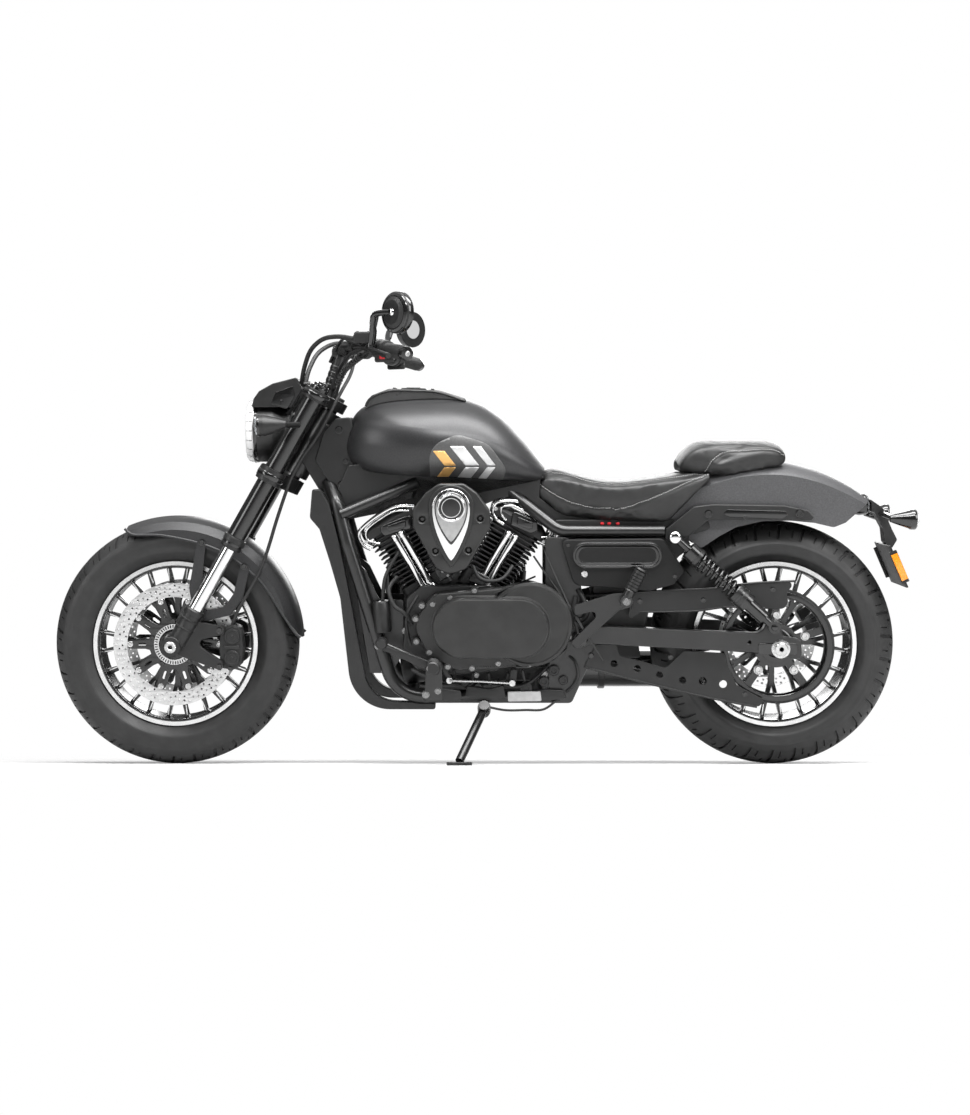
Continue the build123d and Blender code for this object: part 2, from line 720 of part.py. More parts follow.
def cord_tube(points, radius):
    """Round cord along points, with each arc as large as its two runs allow."""
    bends = []
    for before, corner, after in zip(points, points[1:], points[2:]):
        first = Vector(*corner) - Vector(*before)
        second = Vector(*after) - Vector(*corner)
        half_turn = radians(first.get_angle(second)) / 2
        bends.append(0.45 * min(first.length, second.length) / tan(half_turn))
    path = FilletPolyline(*points, radius=bends)
    print("bend radii", [round(bend) for bend in bends], "length", round(path.length))
    start = Plane(origin=path @ 0, z_dir=path % 0)
    return sweep(start * Circle(radius), path=path)


def brake_hose():
    """Front brake hose from the fluid cup to the left caliper."""
    hose = cord_tube(BRAKE_HOSE, HOSE_RADIUS)
    return [hose - bar_controls()[1] - front_calipers()[0]]


def cable_looms():
    """Wiring from the switch blocks down into the lamp body."""
    loom = cord_tube(CABLE_LOOM, CABLE_RADIUS)
    left = loom - bar_controls()[0]
    for piece in headlight_shell():
        left = left - piece
    right = mirror(left, about=Plane.XZ)
    return [left, right]


# ------------------------------------------------------------------ frame
FRAME_TUBE = 17.5
CRADLE_HALF = 110.0
CASE_FRONT = -200.0             # where the engine case meets its front mounts
RAIL_RADIUS = 15.5              # seat rails
RAIL_HALF = 116.0
RAIL_Z = 620.0


def frame_neck():
    """Head tube with a tapering box that carries the top tubes and downtubes."""
    head = rod(
        STEERING_FOOT + HEAD_TUBE[0] * FORK_UP,
        STEERING_FOOT + HEAD_TUBE[1] * FORK_UP,
        HEAD_TUBE_RADIUS,
        STEM_RADIUS + BEARING_GAP,
    )
    box = plate(
        (
            (-470, 800, 0),
            (-412, 900, 0),
            (-382, 886, 12),
            (-370, 830, 30),
            (-332, 762, 20),
            (-318, 712, 10),
            (-420, 718, 20),
        ),
        -42,
        42,
    )
    box -= rod(
        STEERING_FOOT + (HEAD_TUBE[0] - 80) * FORK_UP,
        STEERING_FOOT + (HEAD_TUBE[1] + 80) * FORK_UP,
        HEAD_TUBE_RADIUS,
    )
    return [head + box]


DOWNTUBE = (                    # x, y, z on the left
    (-400, -42, 744),
    (-372, -96, 690),
    (-343, -110, 584),
    (-218, -110, 192),
    (206, -110, 192),
)
DOWNTUBE_BENDS = (40, 40, 95)


def frame_cradle():
    """Downtubes that run on as lower rails, with two cross tubes."""
    left = tube(DOWNTUBE, FRAME_TUBE, DOWNTUBE_BENDS)
    rails = left + mirror(left, about=Plane.XZ)
    for x, z in ((-180, 196), (150, 191)):
        rails += rod((x, -CRADLE_HALF, z), (x, CRADLE_HALF, z), FRAME_TUBE - 1)
    rails -= frame_neck()[0]
    mounts = both_plates(ENGINE_MOUNT, MOUNT_INNER, MOUNT_OUTER)
    return [rails] + [mount - rails for mount in mounts]


ENGINE_MOUNT = (                # x, z, corner radius
    (-336, 548, 10),
    (-300, 520, 30),
    (-262, 440, 20),
    (CASE_FRONT, 440, 6),
    (CASE_FRONT, 300, 6),
    (-232, 250, 30),
    (-286, 250, 6),
)
MOUNT_INNER = 85.0
MOUNT_OUTER = 97.0


def frame_upper():
    """Top tubes under the tank that drop to the seat rails, with front braces."""
    left = tube(
        (
            (-318, -56, 731),
            (60, -56, 731),
            (205, -RAIL_HALF, RAIL_Z),
            (SHOCK_TOP[0] - 21, -RAIL_HALF, RAIL_Z),
        ),
        RAIL_RADIUS,
        60,
    )
    brace = rod((-362, -108, 662), (-165, -75, 744), 15)
    left = left + (brace - tube(DOWNTUBE, FRAME_TUBE, DOWNTUBE_BENDS))
    pieces = mirrored([left])
    cross_x = SHOCK_TOP[0] - 45
    cross = rod((cross_x, -RAIL_HALF, RAIL_Z), (cross_x, RAIL_HALF, RAIL_Z), 12)
    middle = rod((60, -56, 731), (60, 56, 731), 12)
    return [pieces[0] + cross + middle + pieces[1]]


PIVOT = (258.0, 345.0)
PLATE_INNER = 112.0
PLATE_OUTER = 126.0


def frame_pivot_plates():
    """Plates that carry the swingarm between the seat rails and the lower rails."""
    rows = (
        (168, RAIL_Z - RAIL_RADIUS, 10),
        (232, RAIL_Z - RAIL_RADIUS, 20),
        (262, 470, 40),
        (304, 380, 20),
        (300, 318, 20),
        (236, 176, 14),
        (180, 176, 14),
        (168, 330, 40),
    )
    plates = both_plates(rows, PLATE_INNER, PLATE_OUTER)
    shaft = disc(PIVOT, 10, -PLATE_OUTER, PLATE_OUTER)
    return [piece - shaft - frame_cradle()[0] for piece in plates]


ARM_INNER = 135.0
ARM_OUTER = 165.0
SHOCK_TOP = (REAR_AXLE_X - 273, AXLE_Z + 287)
SHOCK_FOOT = (REAR_AXLE_X - 19, AXLE_Z + 57)
SHOCK_Y = 178.0
LIFT_HOLE = (REAR_AXLE_X - 80, AXLE_Z + 17)      # thread for a paddock stand, x and z
LIFT_HOLE_RADIUS = 4.0
LIFT_HOLE_DEPTH = 16.0


def swingarm():
    """Two box arms on a cross tube round the pivot shaft, with shock studs."""
    pivot_x, pivot_z = PIVOT
    rows = (
        (pivot_x - 30, pivot_z + 7, 20),
        (pivot_x + 32, pivot_z + 35, 12),
        (REAR_AXLE_X - 51, AXLE_Z + 40, 30),
        (REAR_AXLE_X - 34, AXLE_Z + 71, 8),
        (REAR_AXLE_X - 4, AXLE_Z + 71, 8),
        (REAR_AXLE_X + 8, AXLE_Z + 31, 10),
        (REAR_AXLE_X + 54, AXLE_Z + 24, 14),
        (REAR_AXLE_X + 54, AXLE_Z - 30, 14),
        (REAR_AXLE_X - 51, AXLE_Z - 11, 40),
        (pivot_x + 32, pivot_z - 11, 30),
        (pivot_x - 14, pivot_z - 27, 10),
    )
    arms = both_plates(rows, ARM_INNER, ARM_OUTER)
    body = arms[0] + arms[1]
    body += disc(PIVOT, 24, -PLATE_INNER + 2, PLATE_INNER - 2)
    body += disc(PIVOT, 10, -ARM_OUTER - 3, ARM_OUTER + 3)
    for side in SIDES:
        near, far = sorted((side * (SHOCK_Y - 13), side * (SHOCK_Y + 13)))
        body += disc(SHOCK_FOOT, 7, near, far)
    bridge = ((72, 372, 8), (114, 372, 8), (114, 340, 8), (72, 340, 8))
    body += plate(shifted(bridge, pivot_x), -ARM_INNER, ARM_INNER)
    body -= disc((REAR_AXLE_X, AXLE_Z), AXLE_RADIUS, -ARM_OUTER, ARM_OUTER)
    for side in SIDES:
        near, far = sorted((side * (ARM_OUTER - LIFT_HOLE_DEPTH), side * ARM_OUTER))
        body -= disc(LIFT_HOLE, LIFT_HOLE_RADIUS, near, far)
    return [body]


def rear_axle():
    """Axle with nuts outside the arms and spacers inside them."""
    centre = (REAR_AXLE_X, AXLE_Z)
    end = ARM_OUTER + 16
    shaft = disc(centre, AXLE_RADIUS, -end, end)
    for side in SIDES:
        near, far = sorted((side * ARM_OUTER, side * (ARM_OUTER + 10)))
        shaft += disc(centre, 19, near, far)
    near = BELT_NEAR - 4
    shaft += disc(centre, 20, -ARM_INNER, near)
    shaft += disc(centre, 20, REAR_HUB_HALF + DISC_THICKNESS + 2, ARM_INNER)
    return [shaft - disc(centre, AXLE_BORE, -end, end)]


def neck_covers():
    """Side covers of the frame's neck, between the fork and the tank."""
    rows = (
        (-433, 803, 10),
        (-411, 876, 10),
        (-380, 912, 10),
        (-340, 915, 8),
        (-322, 850, 20),
        (-296, 770, 20),
        (-300, 710, 16),
        (-368, 702, 14),
    )
    covers = both_plates(rows, 46, 66)
    return [cover - frame_cradle()[0] - fuel_tank()[0] - frame_upper()[0] for cover in covers]


def spine_covers():
    """Panels that close the frame between the tank, the brace tubes and the seat."""
    rows = (
        (-366, 640, 6),
        (-384, 700, 10),
        (-344, 790, 6),
        (-200, 800, 6),
        (160, 770, 6),
        (182, 742, 10),
        (236, 668, 16),
        (290, 652, 8),
        (290, 634, 6),
        (206, 636, 20),
        (112, 712, 16),
        (46, 702, 10),
        (-24, 672, 10),
        (-112, 672, 10),
        (-178, 702, 10),
    )
    carried = (fuel_tank()[0], frame_upper()[0], rider_seat()[0], frame_cradle()[0], radiator()[0])
    covers = []
    for cover in both_plates(rows, 71, 78):
        for other in carried:
            cover -= other
        covers.append(cover)
    return covers


INNER_GUARD_HALF = 92.0
TYRE_ROOM = 22.0                # rear tyre to the guard ahead of it


def inner_guard():
    """Battery box behind the engine, hollowed round the rear tyre."""
    rows = (
        (238, 600, 10),
        (470, 606, 10),
        (560, 640, 6),
        (600, 560, 6),
        (600, 330, 0),
        (300, 380, 10),
        (292, 480, 20),
    )
    guard = plate(rows, -INNER_GUARD_HALF, INNER_GUARD_HALF)
    guard -= disc((REAR_AXLE_X, AXLE_Z), TYRE_RADIUS + TYRE_ROOM, -INNER_GUARD_HALF, INNER_GUARD_HALF)
    guard -= disc(PIVOT, 26, -INNER_GUARD_HALF, INNER_GUARD_HALF)
    return [guard - swingarm()[0] - frame_upper()[0] - drive_belt()[0] - fender_solid(0)]


def radiator():
    """Radiator core with tanks, between the downtubes."""
    rows = (
        (-410, 664, 6),
        (-370, 664, 6),
        (-300, 350, 6),
        (-340, 340, 6),
    )
    return [plate(rows, -84, 84) - frame_cradle()[0]]


def radiator_shroud():
    """Side blades that frame the radiator ahead of the downtubes."""
    rows = (
        (-436, 728, 6),
        (-442, 654, 14),
        (-417, 625, 10),
        (-389, 537, 30),
        (-363, 447, 30),
        (-330, 158, 108),
        (-116, 158, 6),
        (-116, 176, 6),
        (-286, 182, 84),
        (-364, 584, 30),
        (-392, 690, 10),
        (-414, 728, 6),
    )
    return [piece - frame_cradle()[0] for piece in both_plates(rows, 91, 114)]


# ------------------------------------------------------------------ tank and seats
TANK_SECTIONS = (               # x, top, bottom, shoulder half width, shoulder z, bottom half width
    (-356, 862, 806, 44, 842, 40),
    (-300, 948, 778, 92, 900, 78),
    (-190, 967, 764, 138, 892, 112),
    (-60, 966, 760, 152, 876, 118),
    (60, 912, 752, 128, 840, 96),
    (168, 792, 754, 66, 774, 52),
)


def tank_section(x, top, bottom, shoulder, shoulder_z, base):
    """Smooth closed section: flat floor, bellied sides and a crowned top."""
    right_top = TangentArc((0, top), (shoulder, shoulder_z), tangent=(1, 0))
    right_side = TangentArc((shoulder, shoulder_z), (base, bottom), tangent=right_top % 1)
    left_side = mirror(right_side, about=Plane.YZ)
    left_top = mirror(right_top, about=Plane.YZ)
    floor = Line((-base, bottom), (base, bottom))
    face = make_face(right_top + right_side + floor + left_side + left_top)
    plane = Plane(origin=(x, 0, 0), x_dir=(0, 1, 0), z_dir=(1, 0, 0))
    return plane * face


def fuel_tank():
    """Teardrop tank, lofted through a few sections."""
    return [loft([tank_section(*row) for row in TANK_SECTIONS])]


def tank_console():
    """Raised panel with the filler on top of the tank."""
    rows = (
        (-303, 930, 0),
        (-298, 952, 10),
        (-286, 972, 12),
        (-239, 990, 30),
        (-110, 986, 60),
        (-38, 964, 10),
        (-30, 930, 0),
    )
    panel = plate(rows, -52, 52)
    return [panel - fuel_tank()[0]]


def seat_section(x, half, top, dip, bottom):
    """Cushion section: flat base, sides drawn in below, and a dished or crowned top."""
    side = half * 0.985
    rows = [(-half * 0.86, bottom), (half * 0.86, bottom), (half, (top + bottom) / 2), (side, top - 12)]
    line = Polyline(*rows)
    arch = ThreePointArc((side, top - 12), (0, top + dip), (-side, top - 12))
    close = Polyline((-side, top - 12), (-half, (top + bottom) / 2), (-half * 0.86, bottom))
    plane = Plane(origin=(x, 0, 0), x_dir=(0, 1, 0), z_dir=(1, 0, 0))
    return plane * make_face(line + arch + close)


SEAT_FRONT = 134.0
SEAT_REAR = REAR_AXLE_X - 172
SEAT_BOTTOM = 646.0
RIDER_SEAT = (                  # share of the length, half width, side top, rise, bottom
    (0.00, 62, 748, 2, SEAT_BOTTOM),
    (0.09, 88, 772, 3, SEAT_BOTTOM),
    (0.25, 112, 760, 1, SEAT_BOTTOM),
    (0.46, 136, 747, -4, SEAT_BOTTOM),
    (0.73, 142, 761, -4, SEAT_BOTTOM),
    (1.00, 118, 788, 0, SEAT_BOTTOM),
)
SEAT_EDGE = (                   # share of the length, z, corner radius, seen from the side
    (-0.01, 812, 0),
    (-0.01, 722, 0),
    (0.165, SEAT_BOTTOM + 18, 60),
    (0.420, SEAT_BOTTOM + 5, 80),
    (0.760, SEAT_BOTTOM + 3, 24),
    (1.010, 764, 0),
    (1.010, 812, 0),
)
PILLION_SEAT = (                # from the rear axle, half width, side top, rise, bottom
    (-252, 86, 790, 4, 768),
    (-212, 104, 836, 4, 764),
    (-100, 106, 842, 5, 764),
    (0, 94, 838, 5, 776),
    (32, 76, 818, 4, 790),
)


def rider_seat():
    """Dished rider's cushion."""
    length = SEAT_REAR - SEAT_FRONT
    cushion = loft([seat_section(SEAT_FRONT + share * length, *row) for share, *row in RIDER_SEAT])
    edge = [(SEAT_FRONT + share * length, z, corner) for share, z, corner in SEAT_EDGE]
    cushion &= plate(edge, -160, 160)
    return [cushion - fuel_tank()[0] - fender_solid(0) - pillion_seat()[0] - frame_upper()[0]]


def pillion_seat():
    """Flat passenger's cushion."""
    return [loft([seat_section(*row) for row in shifted(PILLION_SEAT, REAR_AXLE_X)]) - fender_solid(0)]


REAR_FENDER = (                 # from the rear axle, top, crease z, half width
    (-286, 738, 700, 86),
    (-163, 786, 742, 96),
    (-20, 803, 766, 99),
    (120, 774, 742, 92),
    (262, 692, 674, 64),
)


def fender_solid(thinner):
    """Fender's outer form, or the space under it where thinner is a wall."""
    sections = []
    for x, top, crease, half in shifted(REAR_FENDER, REAR_AXLE_X):
        half -= thinner
        low = 560 - 10 * thinner
        edge = Polyline((half, crease - thinner), (half, low), (-half, low), (-half, crease - thinner))
        arch = ThreePointArc((-half, crease - thinner), (0, top - thinner), (half, crease - thinner))
        shift = 0
        if thinner:
            shift = -4 if not sections else 0
        plane = Plane(origin=(x + shift, 0, 0), x_dir=(0, 1, 0), z_dir=(1, 0, 0))
        sections.append(plane * make_face(edge + arch))
    return loft(sections)


def rear_fender():
    """Long guard over the rear wheel with a scalloped lower edge."""
    cover = plate(
        shifted((
            (-282, 820, 0),
            (-282, 640, 10),
            (-196, 574, 10),
            (-148, 606, 30),
            (-106, 629, 40),
            (-36, 645, 60),
            (36, 646, 60),
            (99, 640, 40),
            (150, 628, 20),
            (182, 640, 20),
            (254, 700, 6),
            (254, 820, 0),
        ), REAR_AXLE_X),
        -120,
        120,
    )
    return [(fender_solid(0) - fender_solid(SHEET)) & cover]


STRUT_INNER = 101.0
STRUT_OUTER = 118.0


def fender_struts():
    """Forged rails each side of the fender, from the shock mounts to the tail."""
    rows = (
        (-292, 596, 10),
        (-292, 624, 10),
        (-218, 684, 14),
        (-168, 690, 14),
        (16, 687, 30),
        (79, 674, 12),
        (96, 655, 6),
        (88, 649, 4),
        (-180, 648, 14),
        (-234, 604, 14),
        (-264, 588, 10),
    )
    struts = []
    for side, piece in zip(SIDES, both_plates(shifted(rows, REAR_AXLE_X), STRUT_INNER, STRUT_OUTER)):
        near, far = sorted((side * STRUT_OUTER, side * (SHOCK_Y + 14)))
        piece += disc(SHOCK_TOP, 8, near, far)
        struts.append(piece)
    return struts


def side_covers():
    """Moulded covers below the seat rail, with a raised oval on each."""
    rows = (
        (206, 600, 14),
        (470, 603, 20),
        (527, 519, 14),
        (497, 484, 14),
        (436, 468, 30),
        (241, 482, 26),
    )
    covers = both_plates(rows, 133, 150)
    oval = Pos(352, 560) * SlotOverall(228, 64)
    raised = []
    for side, cover in zip(SIDES, covers):
        plane_y = 157 if side > 0 else -150
        raised.append(cover + extrude(side_plane(plane_y) * oval, amount=7))
    return raised


# ------------------------------------------------------------------ final drive
FRONT_PULLEY = (127.0, 386.0)
FRONT_PULLEY_RADIUS = 56.0


def belt_outline(clear):
    """Closed loop round both pulleys, grown by a clearance."""
    big = PULLEY_RADIUS + clear
    small = FRONT_PULLEY_RADIUS + clear
    dx = REAR_AXLE_X - FRONT_PULLEY[0]
    dz = AXLE_Z - FRONT_PULLEY[1]
    span = hypot(dx, dz)
    heading = atan2(dz, dx)
    flare = pi / 2 + (big - small) / span
    points = []
    for turn in (flare, -flare):
        angle = heading + turn
        points.append((FRONT_PULLEY[0] + small * cos(angle), FRONT_PULLEY[1] + small * sin(angle)))
        points.append((REAR_AXLE_X + big * cos(angle), AXLE_Z + big * sin(angle)))
    top_small, top_big, low_small, low_big = points
    front = (FRONT_PULLEY[0] - small * cos(heading), FRONT_PULLEY[1] - small * sin(heading))
    back = (REAR_AXLE_X + big * cos(heading), AXLE_Z + big * sin(heading))
    loop = Line(top_small, top_big)
    loop += ThreePointArc(top_big, back, low_big)
    loop += Line(low_big, low_small)
    loop += ThreePointArc(low_small, front, top_small)
    return make_face(loop)


def drive_belt():
    """Toothed belt, drawn as a plain loop."""
    face = belt_outline(BELT_THICKNESS + GAP) - belt_outline(GAP)
    return [extrude(side_plane(BELT_FAR - 2) * face, amount=BELT_FAR - BELT_NEAR - 4)]


GUARD_NEAR = -131.0
GUARD_FAR = -127.0
LOWER_GUARD = (                 # share of the way from the pivot to the axle, z, corner radius
    (0.080, 328, 6),
    (0.182, 328, 6),
    (0.200, 300, 8),
    (0.430, 268, 12),
    (0.522, 312, 12),
    (0.732, 306, 8),
    (0.746, 270, 20),
    (0.789, 223, 20),
    (0.934, 184, 8),
    (0.900, 168, 8),
    (0.646, 193, 20),
    (0.379, 225, 20),
    (0.148, 255, 12),
    (0.018, 272, 8),
)
LOWER_GUARD_HOLES = (           # share of the way, z, radius
    (0.170, 279, 9),
    (0.287, 266, 9),
    (0.400, 250, 9),
    (0.516, 236, 9),
    (0.617, 234, 10),
    (0.720, 226, 10),
)
UPPER_GUARD = (                 # share of the way, z, corner radius
    (0.264, 462, 8),
    (0.648, 472, 10),
    (0.863, 486, 20),
    (1.088, 492, 10),
    (1.039, 460, 20),
    (1.055, 420, 20),
    (0.932, 420, 20),
    (0.746, 424, 30),
    (0.590, 414, 20),
    (0.303, 411, 10),
    (0.236, 387, 8),
)


def belt_guards():
    """Lower guard with a row of holes, and the two-part upper guard."""
    pivot_x, pivot_z = PIVOT
    reach = REAR_AXLE_X - pivot_x
    lower = plate(
        [(pivot_x + share * reach, z, corner) for share, z, corner in LOWER_GUARD], GUARD_NEAR, GUARD_FAR
    )
    for share, z, radius in LOWER_GUARD_HOLES:
        lower -= disc((pivot_x + share * reach, z), radius, GUARD_NEAR, GUARD_FAR)
    upper = plate(
        [(pivot_x + share * reach, z, corner) for share, z, corner in UPPER_GUARD], GUARD_NEAR, GUARD_FAR
    )
    return [lower, upper]


def shock_line(share):
    """Point between a shock's two eyes, on the mid-plane."""
    top = Vector(SHOCK_TOP[0], 0, SHOCK_TOP[1])
    foot = Vector(SHOCK_FOOT[0], 0, SHOCK_FOOT[1])
    return top + share * (foot - top)


SHOCK_PARTS = (                 # from, to (share of the length), radius
    (0.02, 0.16, 10),
    (0.14, 0.24, 24),
    (0.24, 0.62, 9),
    (0.62, 0.74, 26),
    (0.74, 0.90, 18),
    (0.89, 0.98, 10),
)


def shock_dampers():
    """Damper bodies, seats and eyes of the two rear shocks."""
    bodies = []
    for side in SIDES:
        y = side * SHOCK_Y
        body = None
        for start, end, radius in SHOCK_PARTS:
            a = shock_line(start)
            b = shock_line(end)
            piece = rod((a.X, y, a.Z), (b.X, y, b.Z), radius)
            body = piece if body is None else body + piece
        for centre in (SHOCK_TOP, SHOCK_FOOT):
            body += disc(centre, 16, y - 11, y + 11)
        body -= disc(SHOCK_TOP, 8, y - 20, y + 20)
        body -= disc(SHOCK_FOOT, 7, y - 20, y + 20)
        bodies.append(body)
    return bodies


def shock_springs():
    """Coil springs, drawn as a stack of separate rings."""
    pieces = []
    turns = 8
    for side in SIDES:
        y = side * SHOCK_Y
        for index in range(turns):
            share = 0.265 + 0.33 * index / (turns - 1)
            a = shock_line(share - 0.010)
            b = shock_line(share + 0.010)
            pieces.append(rod((a.X, y, a.Z), (b.X, y, b.Z), 24, 17))
    return pieces


# ------------------------------------------------------------------ engine
CASE_HALF = 104.0


def crankcase():
    """Engine case: one block with cylinder seats, sump and gearbox."""
    rows = (
        (CASE_FRONT, 448, 20),
        (-150, 486, 10),
        (-110, 486, 6),
        (-66, 520, 6),
        (-22, 486, 6),
        (18, 486, 10),
        (60, 470, 20),
        (150, 470, 30),
        (228, 440, 30),
        (228, 300, 40),
        (150, 226, 20),
        (-120, 222, 30),
        (CASE_FRONT, 290, 30),
    )
    front = (
        (-190, 448, 20),
        (-150, 480, 10),
        (40, 480, 20),
        (50, 400, 20),
        (50, 262, 10),
        (-60, 250, 20),
        (-160, 262, 20),
        (CASE_FRONT, 300, 30),
    )
    return [plate(rows, -60, CASE_HALF) + plate(front, -128, -60)]


def primary_cover():
    """Left cover: big front oval, round rear cover and the case edge behind them."""
    base = plate(
        (
            (-172, 382, 50),
            (-124, 462, 50),
            (60, 478, 40),
            (127, 496, 60),
            (222, 450, 60),
            (236, 386, 60),
            (222, 310, 60),
            (127, 276, 60),
            (-60, 268, 50),
            (-132, 300, 50),
        ),
        -170,
        -128,
    )
    circle = disc((127, 386), 108, -196, -170)
    oval = Pos(27, 378) * SlotOverall(296, 151)
    front = extrude(side_plane(-196) * oval, amount=20) + extrude(side_plane(-170) * oval, amount=26)
    return [base + circle + front]


FIN_COUNT = 9
FIN_PITCH = 12.0
FIN_WALL = 4.0
FIN_START = 176.0
SKIRT_START = 124.0             # plain foot of each cylinder
BARREL_RADIUS = 54.0
HEAD_START = 282.0
HEAD_TOP = 322.0
COVER_TOP = 356.0


def vee_plane(side, along):
    """Plane across a cylinder: local x to the outside, local y across the machine."""
    tilt = radians(VEE_HALF_ANGLE)
    return Plane(
        origin=vee_point(side, along),
        x_dir=(side * cos(tilt), 0, -sin(tilt)),
        z_dir=(side * sin(tilt), 0, cos(tilt)),
    )


def vee_block(side, low, high, half_x, half_y, corner):
    """Rounded block round a cylinder's axis."""
    face = RectangleRounded(2 * half_x, 2 * half_y, corner)
    return extrude(vee_plane(side, low) * face, amount=high - low)


def cylinders():
    """Two finned cylinders on the crankcase."""
    pieces = []
    for side in SIDES:
        foot = vee_point(side, 150)
        top = vee_point(side, HEAD_START)
        barrel = rod(foot, top, BARREL_RADIUS)
        barrel += vee_block(side, SKIRT_START, FIN_START - 8, 66, 72, 14)
        for index in range(FIN_COUNT):
            low = FIN_START + FIN_PITCH * index
            grow = 66 + 6 * min(index, 3) / 3
            barrel += vee_block(side, low, low + FIN_WALL, grow, 78, 18)
        pieces.append(barrel - crankcase()[0])
    return pieces


def rocker_covers():
    """Cylinder heads with fins, each under its rocker cover."""
    pieces = []
    for side in SIDES:
        head = vee_block(side, HEAD_START, HEAD_TOP, 62, 70, 14)
        for index in range(3):
            low = HEAD_START + 4 + FIN_PITCH * index
            head += vee_block(side, low, low + FIN_WALL, 76, 82, 14)
        head += loft([vee_plane(side, HEAD_TOP) * RectangleRounded(164, 176, 16),
                      vee_plane(side, COVER_TOP - 16) * RectangleRounded(164, 176, 16)])
        head += loft([vee_plane(side, COVER_TOP - 16) * RectangleRounded(164, 176, 16),
                      vee_plane(side, COVER_TOP) * RectangleRounded(120, 150, 16)])
        pieces.append(head)
    return pieces


def pushrod_tubes():
    """Bright tubes in front of the cylinders, two to each."""
    pieces = []
    for side in SIDES:
        for across in (-16, 4):
            foot = vee_point(side, 140, across + 4, -94)
            top = vee_point(side, 300, across + 4, -94)
            pieces.append(rod(foot, top, 7.5) - crankcase()[0])
    return pieces


def air_cleaner():
    """Shield-shaped cover in the vee, on a stub from the inlet."""
    rows = (
        (-104, 738, 20),
        (-42, 738, 20),
        (20, 700, 30),
        (26, 655, 40),
        (-40, 530, 24),
        (-74, 516, 10),
        (-108, 530, 24),
        (-172, 655, 40),
        (-166, 700, 30),
    )
    cover = plate(rows, -200, -150)
    backing = plate(
        (
            (-110, 700, 20),
            (-36, 700, 20),
            (-30, 640, 20),
            (-73, 560, 20),
            (-116, 640, 20),
        ),
        -150,
        -90,
    )
    stub = rod((-70, -90, 640), (-70, 60, 640), 28)
    return [cover + backing + stub]


# ------------------------------------------------------------------ controls and stand
def rider_controls():
    """Forward pegs on brackets, with the shift lever on the left and brake on the right."""
    bracket = plate(
        (
            (-142, 192, 8),
            (-96, 192, 8),
            (-98, 294, 10),
            (-138, 296, 10),
        ),
        -188,
        -176,
    )
    bracket += rod((-119, -182, 280), (-119, -268, 284), 15)
    lever = rod((-119, -196, 280), (-250, -202, 340), 7)
    lever += rod((-250, -196, 340), (-250, -238, 342), 11)
    shaft = rod((-119, -CRADLE_HALF, 188), (-119, -178, 206), 12)
    return mirrored([bracket + lever + shaft - frame_cradle()[0]])


def passenger_pegs():
    """Hangers behind the engine with folded passenger pegs."""
    rows = (
        (240, 434, 6),
        (340, 464, 20),
        (388, 466, 14),
        (388, 430, 14),
        (356, 422, 10),
        (246, 322, 6),
        (232, 340, 6),
        (316, 424, 10),
        (240, 408, 6),
    )
    pieces = []
    for side, piece in zip(SIDES, both_plates(rows, 170, 180)):
        near, far = sorted((side * PLATE_OUTER, side * 170))
        piece += disc((258, 427), 9, near, far)
        piece += disc((372, 446), 16, *sorted((side * 180, side * 204)))
        piece += rod((372, side * 192, 452), (SHOCK_TOP[0] - 85, side * 192, SHOCK_TOP[1] - 80), 13)
        pieces.append(piece)
    return pieces


STAND_PIVOT = Vector(10, -146, 164)
STAND_FOOT_Y = -284.0
STAND_FOOT_X = -52.0
STAND_RADIUS = 11.0
STAND_FOLDED = Vector(0.95, -0.25, 0.04)


def stand_foot():
    """Middle of the stand's sole, on the floor."""
    return Vector(STAND_FOOT_X, STAND_FOOT_Y, floor_height(STAND_FOOT_Y))


def stand_axis():
    """Hinge direction: equally inclined to the open and to the folded leg."""
    leg = (stand_foot() - STAND_PIVOT).normalized()
    change = leg - STAND_FOLDED.normalized()
    return Vector(0, change.Z, -change.Y).normalized()


def side_stand():
    """Stand leg: hinge boss, tapered leg and a flat sole."""
    axis = stand_axis()
    boss = rod(STAND_PIVOT - 11 * axis, STAND_PIVOT + 11 * axis, 17)
    foot = stand_foot()
    tilt = radians(LEAN)
    up = Vector(0, sin(tilt), cos(tilt))
    leg = rod(STAND_PIVOT, foot + 10 * up, STAND_RADIUS)
    sole_plane = Plane(origin=foot, x_dir=(1, 0, 0), z_dir=up)
    sole = extrude(sole_plane * RectangleRounded(64, 44, 14), amount=8)
    return [boss + leg + sole - rod(STAND_PIVOT - 30 * axis, STAND_PIVOT + 30 * axis, 8.25)]


def stand_bracket():
    """Fork under the left rail with the pin that the stand swings on."""
    axis = stand_axis()
    pieces = rod(STAND_PIVOT - 30 * axis, STAND_PIVOT + 23 * axis, 8)
    for side in SIDES:
        start = STAND_PIVOT + side * 17 * axis
        pieces += rod(start, start + side * 6 * axis, 14)
    inner = STAND_PIVOT - 27 * axis
    pieces += rod(inner, (STAND_PIVOT.X, -CRADLE_HALF, 188), 9)
    return [pieces - frame_cradle()[0]]


# ------------------------------------------------------------------ exhaust and tail
MUFFLER_Y = 190.0
MUFFLER_Z = 226.0


